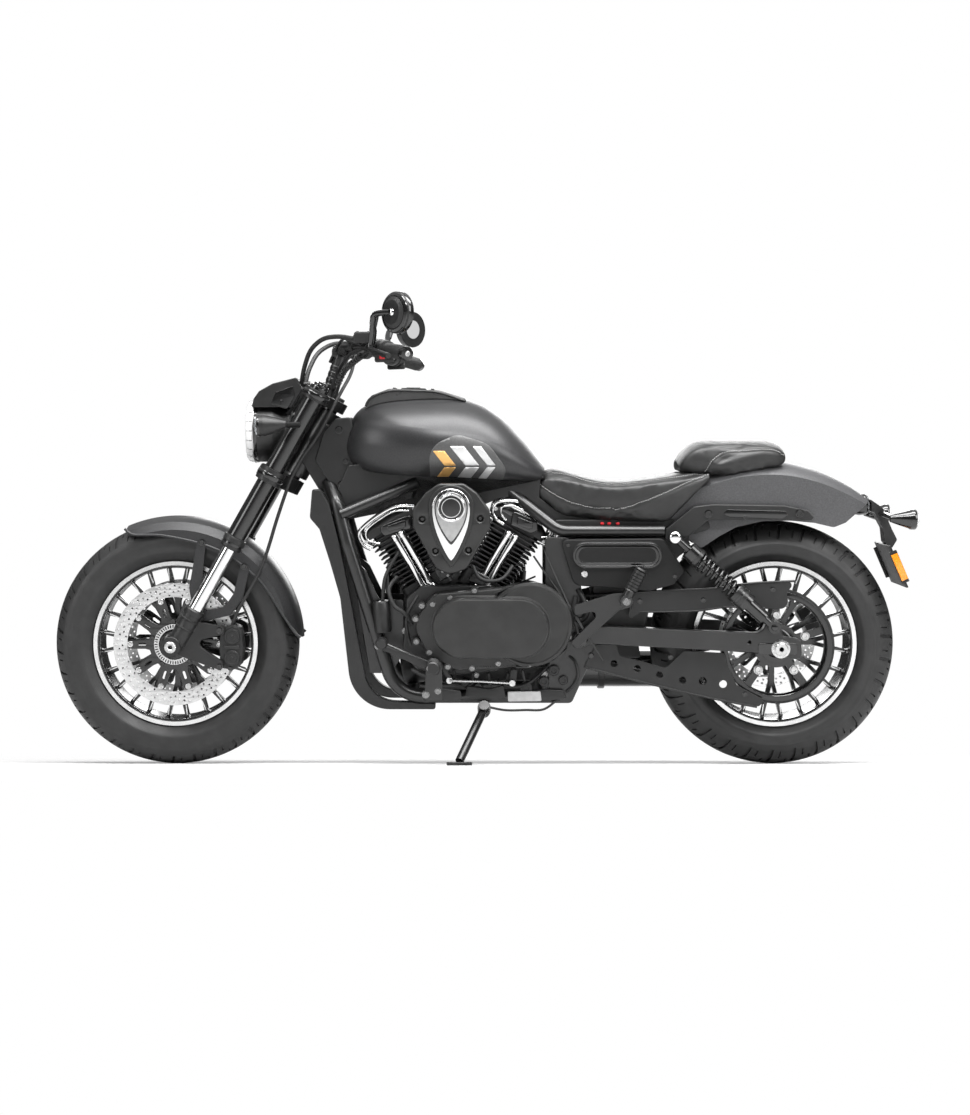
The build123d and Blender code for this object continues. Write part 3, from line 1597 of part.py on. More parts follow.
def exhaust():
    """Headers on the right that join in a short muffler."""
    front = tube(
        (
            (-190, 84, 560),
            (-236, 140, 520),
            (-232, 148, 380),
            (-160, 148, 250),
            (60, 148, 250),
            (180, 176, 236),
            (262, 190, MUFFLER_Z),
        ),
        21,
        46,
    )
    rear = tube(
        (
            (66, 84, 560),
            (104, 146, 520),
            (96, 152, 400),
            (140, 156, 300),
            (262, 190, MUFFLER_Z),
        ),
        21,
        46,
    )
    can = rod((240, MUFFLER_Y, MUFFLER_Z), (590, MUFFLER_Y, MUFFLER_Z), 50)
    can -= rod((500, MUFFLER_Y, MUFFLER_Z), (590, MUFFLER_Y, MUFFLER_Z), 36)
    pipes = front + rear + can
    return [pipes - cylinders()[0] - cylinders()[1]]


PLATE_TILT = 23.0               # number plate holder from the vertical, top forward
PLATE_CENTRE = Vector(REAR_AXLE_X + 318, 0, 526)
PLATE_HOLDER_WALL = 5.0
PLATE_HOLE_RADIUS = 3.25
PLATE_HOLE_Y = 62.0
PLATE_HOLE_UP = 34.0


def plate_normal():
    """Direction that the number plate holder faces."""
    return Vector(cos(radians(PLATE_TILT)), 0, sin(radians(PLATE_TILT)))


def plate_hole(side):
    """Middle of one bolt hole in the number plate holder."""
    tilt = radians(PLATE_TILT)
    up = Vector(-sin(tilt), 0, cos(tilt))
    spot = PLATE_CENTRE + PLATE_HOLE_UP * up
    return Vector(spot.X, side * PLATE_HOLE_Y, spot.Z)


PLATE_HOLES = {"plate_hole_left": plate_hole(-1), "plate_hole_right": plate_hole(1)}


def tail_bracket():
    """Stalk behind the fender with a blank plate, a lamp and side reflectors."""
    stalk = plate(
        shifted((
            (230, 700, 0),
            (260, 698, 6),
            (292, 676, 6),
            (316, 620, 10),
            (330, 592, 6),
            (314, 566, 6),
            (296, 586, 6),
            (292, 622, 10),
            (270, 664, 10),
            (232, 676, 0),
        ), REAR_AXLE_X),
        -22,
        22,
    )
    stalk -= fender_solid(0)
    holder = Pos(*PLATE_CENTRE) * Rot(0, -PLATE_TILT, 0) * Box(PLATE_HOLDER_WALL, 190, 118)
    for side in SIDES:
        spot = Vector(PLATE_CENTRE.X, side * 98, PLATE_CENTRE.Z)
        holder += Pos(*spot) * Rot(0, -PLATE_TILT, 0) * Box(20, 8, 88)
        middle = plate_hole(side)
        holder -= rod(middle - 6 * plate_normal(), middle + 6 * plate_normal(), PLATE_HOLE_RADIUS)
    return [stalk, holder - stalk]


def rear_indicators():
    """Bullet lamps each side of the tail stalk."""
    pieces = []
    for side in SIDES:
        y = side * 165
        start = (REAR_AXLE_X + 280, y, 655)
        end = (REAR_AXLE_X + 344, y, 652)
        lamp = spun(((0, 9), (26, 17), (50, 24), (62, 24), (64, 22)), start, end)
        lamp += rod((start[0] + 16, y, 654), (start[0] + 8, side * 22, 660), 8)
        pieces.append(lamp - tail_bracket()[0])
    return pieces


def rear_caliper():
    """Rear brake caliper over the right-hand disc."""
    middle = REAR_HUB_HALF + DISC_THICKNESS / 2
    body = plate(
        shifted((
            (76, 396, 8),
            (118, 420, 8),
            (160, 350, 10),
            (116, 326, 8),
        ), REAR_AXLE_X),
        middle - 28,
        middle + 30,
    )
    body -= disc((REAR_AXLE_X, AXLE_Z), REAR_DISC_RADIUS + 6, middle - CALIPER_SLOT, middle + CALIPER_SLOT)
    arm = rod((REAR_AXLE_X + 46, ARM_INNER - 6, 336), (REAR_AXLE_X + 110, middle + 24, 360), 9)
    return [body + arm - swingarm()[0]]


# ------------------------------------------------------------------ the whole machine
PIECES = {
    "root": (
        frame_neck,
        frame_cradle,
        frame_upper,
        frame_pivot_plates,
        fender_struts,
        neck_covers,
        spine_covers,
        inner_guard,
        radiator,
        radiator_shroud,
        fuel_tank,
        tank_console,
        rider_seat,
        pillion_seat,
        rear_fender,
        side_covers,
        swingarm,
        rear_axle,
        belt_guards,
        drive_belt,
        shock_dampers,
        shock_springs,
        crankcase,
        primary_cover,
        cylinders,
        rocker_covers,
        pushrod_tubes,
        air_cleaner,
        rider_controls,
        passenger_pegs,
        stand_bracket,
        exhaust,
        tail_bracket,
        rear_indicators,
        rear_caliper,
    ),
    "side_stand": (side_stand,),
    "steering": (
        fork_clamps,
        fork_outer_tubes,
        fork_stanchions,
        fork_feet,
        front_axle,
        front_fender,
        front_calipers,
        headlight_shell,
        headlight_lens,
        front_indicators,
        handlebar,
        grips,
        bar_controls,
        mirrors,
        brake_hose,
        cable_looms,
    ),
    "front_wheel": (front_tyre, front_rim, front_disc_bands, front_disc_carriers),
    "rear_wheel": (rear_tyre, rear_rim, rear_pulley, rear_disc),
}


def parked():
    """Placement that leans the upright machine onto its stand, over the origin."""
    return Pos(SHIFT_X, SHIFT_Y, LIFT) * Rot(LEAN, 0, 0)


def main():
    """Write each piece to its own file."""
    os.makedirs("parts", exist_ok=True)
    for makers in PIECES.values():
        for maker in makers:
            solids = []
            for piece in maker():
                solids.extend(piece.solids())
            whole = Compound(children=[parked() * solid for solid in solids])
            export_step(whole, "parts/" + maker.__name__ + ".step")


if __name__ == "__main__":
    main()
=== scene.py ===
"""Finishes, fine parts and studio for a V-twin cruiser motorcycle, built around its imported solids.

Shapes are drawn in millimetres on the upright machine: X from front to rear, Y from left
(minus) to right (plus), Z up from the ground.  PARKED leans them onto the side stand.
"""
import json
from math import atan2, cos, degrees, pi, radians, sin, sqrt

import bmesh
import bpy
from bpy.props import FloatProperty, FloatVectorProperty, IntProperty, PointerProperty
from mathutils import Matrix, Vector
from mathutils.bvhtree import BVHTree

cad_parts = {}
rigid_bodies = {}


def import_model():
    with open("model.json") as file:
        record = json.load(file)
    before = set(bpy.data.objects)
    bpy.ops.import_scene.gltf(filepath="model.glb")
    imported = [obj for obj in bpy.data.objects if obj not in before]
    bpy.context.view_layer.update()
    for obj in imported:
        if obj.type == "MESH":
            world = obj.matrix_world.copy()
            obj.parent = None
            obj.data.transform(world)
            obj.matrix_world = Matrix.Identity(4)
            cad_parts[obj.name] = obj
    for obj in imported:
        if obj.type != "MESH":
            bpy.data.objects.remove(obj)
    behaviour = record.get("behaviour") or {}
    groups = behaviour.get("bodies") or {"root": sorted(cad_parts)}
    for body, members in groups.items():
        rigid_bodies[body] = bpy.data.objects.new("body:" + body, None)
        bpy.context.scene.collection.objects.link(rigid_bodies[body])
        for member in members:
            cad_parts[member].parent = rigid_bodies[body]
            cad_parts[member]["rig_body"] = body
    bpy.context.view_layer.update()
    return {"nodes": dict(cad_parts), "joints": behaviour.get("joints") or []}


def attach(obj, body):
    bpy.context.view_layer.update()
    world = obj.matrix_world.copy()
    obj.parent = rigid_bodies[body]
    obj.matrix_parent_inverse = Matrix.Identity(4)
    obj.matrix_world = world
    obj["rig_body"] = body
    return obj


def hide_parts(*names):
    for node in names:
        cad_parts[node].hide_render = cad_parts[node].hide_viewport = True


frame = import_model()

bl_info = {
    "name": "Cruiser Motorcycle Looks",
    "version": (1, 0, 0),
    "blender": (4, 5, 0),
    "location": "3D View > Sidebar > Cruiser",
    "description": "Adds the finishes and fine parts of a cruiser motorcycle to its solids",
    "category": "Object",
}

SIDES = (-1, 1)

# ------------------------------------------------------------------ the upright machine
AXLE_Z = 321.0
FRONT_AXLE_X = -800.0
JOINTS = {joint["name"]: joint for joint in frame["joints"]}


AXLE_WAY = JOINTS["front_wheel_spin"]["axis"]
LEAN = atan2(AXLE_WAY[2], AXLE_WAY[1])


def parked_matrix():
    """Upright millimetres to leaning metres, read from the front wheel's axle."""
    turn = Matrix.Rotation(LEAN, 4, "X")
    upright = Vector((FRONT_AXLE_X, 0, AXLE_Z)) / 1000
    place = Vector(JOINTS["front_wheel_spin"]["pos_m"]) - turn @ upright
    return Matrix.Translation(place) @ turn @ Matrix.Scale(0.001, 4)


PARKED = parked_matrix()
UPRIGHT = PARKED.inverted()
REAR_AXLE_X = (UPRIGHT @ Vector(JOINTS["rear_wheel_spin"]["pos_m"])).x
FRONT_AXLE = Vector((FRONT_AXLE_X, 0, AXLE_Z))
REAR_AXLE = Vector((REAR_AXLE_X, 0, AXLE_Z))


# ------------------------------------------------------------------ finishes
class Finish:
    """A material under construction: its node tree and its main shader."""

    def __init__(self, name, colour, roughness, metallic=0.0, **sockets):
        self.material = bpy.data.materials.new(name)
        self.material.use_nodes = True
        self.tree = self.material.node_tree
        self.shader = self.tree.nodes["Principled BSDF"]
        self.colour = tuple(colour)
        self.roughness = roughness
        self.shader.inputs["Base Color"].default_value = (*colour, 1)
        self.shader.inputs["Roughness"].default_value = roughness
        self.shader.inputs["Metallic"].default_value = metallic
        for socket, value in sockets.items():
            self.shader.inputs[socket.replace("_", " ")].default_value = value
        self.coordinates = self.node("ShaderNodeTexCoord").outputs["Object"]
        self.normal = None

    def node(self, kind, **values):
        made = self.tree.nodes.new(kind)
        for name, value in values.items():
            setattr(made, name, value)
        return made

    def link(self, output, socket):
        self.tree.links.new(output, socket)

    def place(self, centre):
        """Coordinates in metres about a point of the upright machine."""
        mapping = self.node("ShaderNodeMapping")
        turn = Matrix.Rotation(-LEAN, 3, "X")
        world = PARKED @ Vector(centre)
        mapping.inputs["Rotation"].default_value = (-LEAN, 0, 0)
        mapping.inputs["Location"].default_value = -(turn @ world)
        self.link(self.coordinates, mapping.inputs["Vector"])
        return mapping.outputs["Vector"]

    def noise(self, scale, detail=3.0, roughness=0.5, vector=None):
        made = self.node("ShaderNodeTexNoise")
        made.inputs["Scale"].default_value = scale
        made.inputs["Detail"].default_value = detail
        made.inputs["Roughness"].default_value = roughness
        self.link(vector or self.coordinates, made.inputs["Vector"])
        return made.outputs["Fac"]

    def remap(self, value, low, high, from_low=0.3, from_high=0.7):
        made = self.node("ShaderNodeMapRange")
        made.inputs["From Min"].default_value = from_low
        made.inputs["From Max"].default_value = from_high
        made.inputs["To Min"].default_value = low
        made.inputs["To Max"].default_value = high
        self.link(value, made.inputs["Value"])
        return made.outputs["Result"]

    def math(self, operation, first, second=None):
        made = self.node("ShaderNodeMath", operation=operation)
        for index, value in enumerate((first, second)):
            if value is None:
                continue
            if isinstance(value, (int, float)):
                made.inputs[index].default_value = value
            else:
                self.link(value, made.inputs[index])
        return made.outputs["Value"]

    def bump(self, height, strength, distance):
        """Adds relief; distance is in metres."""
        made = self.node("ShaderNodeBump")
        made.inputs["Strength"].default_value = strength
        made.inputs["Distance"].default_value = distance
        self.link(height, made.inputs["Height"])
        if self.normal:
            self.link(self.normal, made.inputs["Normal"])
        self.normal = made.outputs["Normal"]
        self.link(self.normal, self.shader.inputs["Normal"])
        return self

    def grain(self, scale, strength, distance, detail=3.0):
        return self.bump(self.noise(scale, detail), strength, distance)

    def mottle(self, scale, amount):
        """Varies the colour a little, lighter and darker."""
        mix = self.node("ShaderNodeMix", data_type="RGBA")
        mix.inputs["A"].default_value = (*[c * (1 - amount) for c in self.colour], 1)
        mix.inputs["B"].default_value = (*[min(1, c * (1 + amount)) for c in self.colour], 1)
        self.link(self.remap(self.noise(scale, 4.0), 0, 1), mix.inputs["Factor"])
        self.link(mix.outputs["Result"], self.shader.inputs["Base Color"])
        return self

    def polish(self, scale, amount):
        """Varies the roughness a little."""
        value = self.remap(self.noise(scale, 4.0), self.roughness - amount, self.roughness + amount)
        self.link(value, self.shader.inputs["Roughness"])
        return self


def grey(level, warm=0.0):
    return (level * (1 + warm), level, level * (1 - warm))


def radial(finish, centre):
    """Distance from an axle across the machine, in metres."""
    parts = finish.node("ShaderNodeSeparateXYZ")
    finish.link(finish.place(centre), parts.inputs["Vector"])
    squares = finish.math(
        "ADD",
        finish.math("MULTIPLY", parts.outputs["X"], parts.outputs["X"]),
        finish.math("MULTIPLY", parts.outputs["Z"], parts.outputs["Z"]),
    )
    return finish.math("SQRT", squares)


def turned_lines(finish, centre, pitch, strength, distance):
    """Fine concentric lines left by a lathe, one each pitch (metres)."""
    wave = finish.math("SINE", finish.math("MULTIPLY", radial(finish, centre), 2 * pi / pitch))
    return finish.bump(wave, strength, distance)


FENDER_PAINTED_HIGHLIGHT = 2.6            # how much paler the rear fender's paint is drawn than the tank's same paint: a painted highlight


def make_finishes():
    """All finishes by name."""
    made = {}
    look = colours()

    def keep(name, finish):
        made[name] = finish.material

    keep("frame black", Finish("satin_black_paint", look.frame, 0.33, Coat_Weight=0.25, Coat_Roughness=0.25)
         .grain(900, 0.15, 0.0002).mottle(14, 0.25).polish(30, 0.05))
    keep("fork black", Finish("gloss_black_anodising", grey(0.007), 0.22, 0.2, Coat_Weight=0.6, Coat_Roughness=0.12)
         .grain(600, 0.06, 0.0002).polish(24, 0.04))
    keep("graphite", Finish("graphite_matt_paint", look.body, 0.36, 0.4, Coat_Weight=0.12, Coat_Roughness=0.3)
         .grain(1500, 0.10, 0.00015).mottle(300, 0.2).polish(18, 0.04))
    # painted highlight: the rear fender takes the tank's paint lightened, standing in for a softbox's reflection on
    # its side; it is also a little rougher
    painted_highlight_colour = [FENDER_PAINTED_HIGHLIGHT * part for part in look.body]
    keep("fender graphite", Finish("rear_fender_paint_painted_highlight", painted_highlight_colour, 0.44, 0.4, Coat_Weight=0.12,
                                   Coat_Roughness=0.3)
         .grain(1500, 0.10, 0.00015).mottle(300, 0.2).polish(18, 0.04))
    keep("engine black", Finish("textured_engine_paint", look.engine, 0.42).grain(850, 0.5, 0.0004, 2.0)
         .mottle(20, 0.3).polish(60, 0.08))
    keep("engine cover", Finish("satin_engine_cover", look.covers, 0.34, 0.4)
         .grain(1100, 0.18, 0.0003).mottle(26, 0.15).polish(40, 0.05))
    keep("cover black", Finish("grained_black_plastic", grey(0.008), 0.42).grain(1300, 0.4, 0.0003, 1.0)
         .mottle(12, 0.2).polish(40, 0.06))
    keep("matt black", Finish("matt_black_plastic", grey(0.006), 0.5, Specular_IOR_Level=0.3)
         .grain(1300, 0.4, 0.0003, 1.0).mottle(12, 0.2).polish(40, 0.06))
    keep("console black", Finish("satin_console_plastic", grey(0.045), 0.33, 0.3, Coat_Weight=0.3,
                                 Coat_Roughness=0.2)
         .grain(1300, 0.25, 0.0002, 1.0).mottle(12, 0.2).polish(40, 0.06))
    keep("gloss black", Finish("gloss_black_plastic", grey(0.006), 0.14, Coat_Weight=0.5, Coat_Roughness=0.06)
         .polish(20, 0.04))
    keep("chrome", Finish("polished_chrome", grey(0.72), 0.07, 1.0).grain(40, 0.02, 0.0005).polish(60, 0.03))
    keep("steel", Finish("bright_fastener_steel", grey(0.55), 0.27, 1.0).grain(500, 0.15, 0.0003)
         .mottle(120, 0.12).polish(90, 0.08))
    keep("wheel black", Finish("gloss_black_wheel_paint", grey(0.006), 0.24, Coat_Weight=0.4, Coat_Roughness=0.15)
         .grain(300, 0.05, 0.0002).polish(30, 0.05))
    keep("satin steel", Finish("satin_steel", grey(0.42), 0.34, 1.0).grain(500, 0.1, 0.0002).mottle(60, 0.1)
         .polish(50, 0.06))
    keep("radiator", Finish("radiator_black", grey(0.012), 0.5, 0.2).grain(700, 0.2, 0.0003).mottle(30, 0.2))
    keep("rubber", Finish("black_rubber", grey(0.011), 0.6).grain(700, 0.35, 0.0003)
         .mottle(30, 0.25).polish(50, 0.06))
    keep("vinyl", leather(look.seat))
    keep("thread", Finish("grey_thread", look.thread, 0.7).grain(2600, 0.5, 0.0003).mottle(700, 0.25))
    keep("disc front", ground_disc("ground_front_disc", FRONT_AXLE))
    keep("disc rear", ground_disc("ground_rear_disc", REAR_AXLE))
    keep("lip front", machined("machined_front_lip", FRONT_AXLE))
    keep("lip rear", machined("machined_rear_lip", REAR_AXLE))
    keep("tyre front", tyre_rubber("front_tyre_rubber", FRONT_AXLE))
    keep("tyre rear", tyre_rubber("rear_tyre_rubber", REAR_AXLE))
    # painted reflection: the mirror glass glows white, as though it showed a bright sky; it is no lamp
    keep("mirror", Finish("mirror_glass", (0.86, 0.88, 0.9), 0.03, 1.0, Emission_Strength=0.6,
                          Emission_Color=(1, 1, 1, 1)).polish(8, 0.015))
    keep("lamp glass", Finish("clear_lamp_glass", (0.93, 0.95, 0.97), 0.03, Transmission_Weight=0.9, IOR=1.46)
         .polish(20, 0.02))
    keep("lamp white", Finish("frosted_light_guide", grey(0.70), 0.22, Coat_Weight=0.6, Coat_Roughness=0.05)
         .mottle(60, 0.06))
    keep("amber", Finish("amber_reflector", look.reflector, 0.28, Coat_Weight=0.8, Coat_Roughness=0.08)
         .mottle(500, 0.25).grain(900, 0.5, 0.0006, 0.0))
    keep("red", Finish("red_plastic", (0.55, 0.012, 0.02), 0.35).mottle(90, 0.15))
    keep("patch grey", Finish("lighter_grey_paint", look.patch, 0.42, 0.4).grain(1500, 0.1, 0.00015)
         .mottle(300, 0.12))
    keep("foil gold", Finish("gold_foil", look.accent, 0.38, 0.55).mottle(30, 0.12).polish(40, 0.05))
    keep("bolt grey", Finish("dark_fastener_steel", grey(0.24), 0.3, 1.0).grain(500, 0.15, 0.0003).mottle(120, 0.15)
         .polish(90, 0.08))
    keep("foil silver", Finish("silver_foil", grey(0.62), 0.36, 0.55).mottle(20, 0.12).polish(40, 0.05))
    return made


def leather(colour):
    """Seat vinyl: pebbled grain in small cells, with broad soft creases."""
    finish = Finish("black_seat_vinyl", colour, 0.42)
    cells = finish.node("ShaderNodeTexVoronoi", feature="DISTANCE_TO_EDGE")
    cells.inputs["Scale"].default_value = 620
    finish.link(finish.coordinates, cells.inputs["Vector"])
    finish.bump(finish.remap(cells.outputs["Distance"], 0, 1, 0.0, 0.35), 0.32, 0.0004)
    return finish.grain(60, 0.10, 0.0012).mottle(40, 0.2).polish(50, 0.06)


def ground_disc(name, centre):
    """Brake disc: bright grey, with crossed grinding marks."""
    finish = Finish(name, grey(0.60), 0.34, 0.85)
    turned_lines(finish, centre, 0.0011, 0.12, 0.0002)
    return finish.grain(260, 0.1, 0.0003).mottle(55, 0.08).polish(70, 0.07)


def machined(name, centre):
    """Rim lip: turned aluminium under lacquer."""
    finish = Finish(name, grey(0.66), 0.24, 1.0, Coat_Weight=0.3, Coat_Roughness=0.1)
    turned_lines(finish, centre, 0.0016, 0.16, 0.0002)
    return finish.mottle(30, 0.08).polish(24, 0.06)


def tyre_rubber(name, centre):
    """Tyre rubber: faint moulding rings on the walls, dusty and a little uneven."""
    finish = Finish(name, grey(0.014), 0.52)
    turned_lines(finish, centre, 0.0036, 0.10, 0.0003)
    return finish.grain(420, 0.3, 0.0004).mottle(35, 0.25).polish(26, 0.07)


# ------------------------------------------------------------------ mesh tools
LEFT = (0, -1, 0)
RIGHT = (0, 1, 0)


def toward(spot, direction=LEFT, hint=(0, 0, 1)):
    """Matrix that puts local Z along a direction at a spot, with local Y near a hint."""
    z = Vector(direction).normalized()
    x = Vector(hint).cross(z)
    if x.length < 0.001:
        x = Vector((1, 0, 0)).cross(z)
    x.normalize()
    y = z.cross(x)
    return Matrix((
        (x.x, y.x, z.x, spot[0]),
        (x.y, y.y, z.y, spot[1]),
        (x.z, y.z, z.z, spot[2]),
        (0, 0, 0, 1),
    ))


def outward(x, y, z, side):
    """Matrix that puts local Z away from the machine, on one side of it."""
    return toward((x, side * y, z), (0, side, 0))


def skin(builder, rings, closed=False):
    """Faces between rows of points; a row of one point is a tip."""
    rows = [[builder.verts.new(point) for point in ring] for ring in rings]
    for low, high in zip(rows, rows[1:] + (rows[:1] if closed else [])):
        steps = max(len(low), len(high))
        for index in range(steps):
            after = (index + 1) % steps
            corners = (
                low[index % len(low)],
                low[after % len(low)],
                high[after % len(high)],
                high[index % len(high)],
            )
            corners = list(dict.fromkeys(corners))
            if len(corners) > 2:
                builder.faces.new(corners)


def lathe(builder, rows, at, steps=32, closed=False, phase=0.0):
    """Turned form from rows of (radius, height) about local Z of a matrix."""
    rings = []
    for radius, height in rows:
        count = steps if radius > 0.001 else 1
        rings.append([
            at @ Vector((
                radius * cos(2 * pi * index / count + phase),
                radius * sin(2 * pi * index / count + phase),
                height,
            ))
            for index in range(count)
        ])
    skin(builder, rings, closed)


def smooth_path(points, samples=8):
    """Points along a smooth curve through the given ones."""
    points = [Vector(point) for point in points]
    path = []
    for index in range(len(points) - 1):
        before = points[max(index - 1, 0)]
        start, end = points[index], points[index + 1]
        after = points[min(index + 2, len(points) - 1)]
        for step in range(samples):
            t = step / samples
            path.append(0.5 * (
                2 * start
                + (end - before) * t
                + (2 * before - 5 * start + 4 * end - after) * t ** 2
                + (3 * start - before - 3 * end + after) * t ** 3
            ))
    path.append(points[-1])
    return path


def pipe(builder, path, radius, steps=16):
    """Round bar along a path; radius is one number or one for each point."""
    path = [Vector(point) for point in path]
    radii = radius if isinstance(radius, (list, tuple)) else [radius] * len(path)
    side = None
    rings = [[path[0]]]
    for index, point in enumerate(path):
        ahead = (path[min(index + 1, len(path) - 1)] - path[max(index - 1, 0)]).normalized()
        if side is None:
            side = ahead.orthogonal()
        side = (side - ahead * side.dot(ahead)).normalized()
        other = ahead.cross(side)
        rings.append([
            point + radii[index] * (side * cos(2 * pi * step / steps) + other * sin(2 * pi * step / steps))
            for step in range(steps)
        ])
    rings.append([path[-1]])
    skin(builder, rings)


def rounded(rows, segments=5):
    """Outline from rows of (x, z, corner radius)."""
    outline = []
    count = len(rows)
    for index, (x, z, radius) in enumerate(rows):
        here = Vector((x, z))
        back = Vector(rows[index - 1][:2]) - here
        ahead = Vector(rows[(index + 1) % count][:2]) - here
        angle = back.angle(ahead)
        if radius <= 0 or angle > pi - 0.02:
            outline.append((x, z))
            continue
        slope = max(0.05, abs(sin(angle / 2) / cos(angle / 2)))
        cut = min(radius / slope, back.length * 0.48, ahead.length * 0.48)
        start = here + back.normalized() * cut
        end = here + ahead.normalized() * cut
        for step in range(segments + 1):
            t = step / segments
            point = (1 - t) ** 2 * start + 2 * t * (1 - t) * here + t ** 2 * end
            outline.append((point.x, point.y))
    return outline


def circle(centre, radius, steps=24):
    return [
        (centre[0] + radius * cos(2 * pi * step / steps), centre[1] + radius * sin(2 * pi * step / steps))
        for step in range(steps)
    ]


def slot(centre, length, width, angle=0.0, steps=6):
    """Outline with round ends, turned by an angle in degrees."""
    turn = radians(angle)
    half = (length - width) / 2
    outline = []
    for end in (1, -1):
        for step in range(steps + 1):
            sweep = turn + (0 if end > 0 else pi) + pi * (step / steps - 0.5)
            outline.append((
                centre[0] + end * half * cos(turn) + width / 2 * cos(sweep),
                centre[1] + end * half * sin(turn) + width / 2 * sin(sweep),
            ))
    return outline


def cut_plate(outlines, near, far, edge=0.0):
    """Mesh of a flat plate across the machine: the first outline less the others."""
    curve = bpy.data.curves.new("outline", "CURVE")
    curve.dimensions = "2D"
    curve.fill_mode = "BOTH"
    curve.extrude = abs(far - near) / 2 - edge
    if edge:
        curve.bevel_depth = edge
        curve.bevel_resolution = 2
        curve.offset = -edge
    for outline in outlines:
        spline = curve.splines.new("POLY")
        spline.points.add(len(outline) - 1)
        spline.points.foreach_set("co", [value for x, z in outline for value in (x, z, 0, 1)])
        spline.use_cyclic_u = True
    holder = bpy.data.objects.new("outline", curve)
    bpy.context.scene.collection.objects.link(holder)
    graph = bpy.context.evaluated_depsgraph_get()
    mesh = bpy.data.meshes.new_from_object(holder.evaluated_get(graph))
    bpy.data.objects.remove(holder)
    bpy.data.curves.remove(curve)
    mesh.transform(Matrix.Translation((0, (near + far) / 2, 0)) @ Matrix.Rotation(pi / 2, 4, "X"))
    return mesh


def plate(builder, rows, near, far, edge=1.0, holes=()):
    """Adds a plate with rounded corners and edges, and holes where wanted."""
    outline = rounded(rows) if len(rows[0]) == 3 else rows
    mesh = cut_plate([outline, *holes], near, far, edge)
    builder.from_mesh(mesh)
    bpy.data.meshes.remove(mesh)


def side_plate(builder, rows, side, inner, outer, edge=1.0, holes=()):
    """Adds a plate on one side, between two distances from the mid-plane."""
    plate(builder, rows, *sorted((side * inner, side * outer)), edge, holes)


def both_plates(builder, rows, inner, outer, edge=1.0):
    for side in SIDES:
        side_plate(builder, rows, side, inner, outer, edge)


def ribbed(start, reach, count, rows):
    """Rows of a turned profile repeated along it: each is (radius, distance past its rib's start)."""
    return [
        (radius, start + index * reach / count + past) for index in range(count) for radius, past in rows
    ]


def mesh_from(builder, name):
    """Ends a bmesh: doubles merged, faces outward."""
    bmesh.ops.remove_doubles(builder, verts=builder.verts, dist=0.0001)
    bmesh.ops.recalc_face_normals(builder, faces=builder.faces)
    mesh = bpy.data.meshes.new(name)
    builder.to_mesh(mesh)
    builder.free()
    return mesh


def shade(mesh, sharp):
    """Smooth shading that stays crisp over edges sharper than an angle in degrees."""
    mesh.polygons.foreach_set("use_smooth", [True] * len(mesh.polygons))
    mesh.set_sharp_from_angle(angle=radians(sharp))


def add_object(name, mesh, body, finish, replaced):
    """Puts a finished mesh in the scene, riding on its body."""
    mesh.materials.clear()
    mesh.materials.append(FINISHES[finish])
    piece = bpy.data.objects.new(name, mesh)
    bpy.context.scene.collection.objects.link(piece)
    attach(piece, body)
    if replaced:
        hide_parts(*replaced)
    return piece


def add_piece(name, made, body, finish, replaced=(), sharp=35.0):
    """Puts a bmesh or mesh drawn upright on the machine: leaned, shaded, finished, riding on its body."""
    mesh = made if isinstance(made, bpy.types.Mesh) else mesh_from(made, name)
    mesh.transform(PARKED)
    shade(mesh, sharp)
    return add_object(name, mesh, body, finish, replaced)


def body_of(node):
    return frame["nodes"][node]["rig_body"]


def settled(mesh, *modifiers):
    """The mesh after modifiers, each given as (type, settings)."""
    holder = bpy.data.objects.new("work", mesh)
    bpy.context.scene.collection.objects.link(holder)
    for kind, settings in modifiers:
        modifier = holder.modifiers.new(kind, kind)
        for key, value in settings.items():
            setattr(modifier, key, value)
    graph = bpy.context.evaluated_depsgraph_get()
    result = bpy.data.meshes.new_from_object(holder.evaluated_get(graph))
    bpy.data.objects.remove(holder)
    return result


def broken_edges(width, segments=2, angle=28.0):
    """Modifiers that round the sharp edges."""
    return (
        ("BEVEL", {
            "width": width,
            "segments": segments,
            "limit_method": "ANGLE",
            "angle_limit": radians(angle),
            "use_clamp_overlap": False,
            "miter_outer": "MITER_ARC",
        }),
        ("WEIGHTED_NORMAL", {"keep_sharp": True}),
    )


def welded(node):
    """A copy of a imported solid's mesh with its loose triangles joined up again."""
    builder = bmesh.new()
    builder.from_mesh(frame["nodes"][node].data)
    bmesh.ops.remove_doubles(builder, verts=builder.verts, dist=0.000004)
    bmesh.ops.dissolve_limit(
        builder, angle_limit=radians(0.4), verts=builder.verts, edges=builder.edges, delimit={"NORMAL"}
    )
    mesh = bpy.data.meshes.new(node)
    builder.to_mesh(mesh)
    builder.free()
    return mesh


def dressed(node, finish, bevel, part_slot=""):
    """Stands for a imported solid: the same shape with its edges rounded."""
    mesh = settled(welded(node), *broken_edges(bevel / 1000))
    return add_object(node + "_dressed", mesh, body_of(node), finish, (node,))


# ------------------------------------------------------------------ repeated things
def template(rows, steps=24):
    """Small turned form that is repeated, standing on local Z."""
    builder = bmesh.new()
    lathe(builder, rows, Matrix.Identity(4), steps)
    return mesh_from(builder, "template")


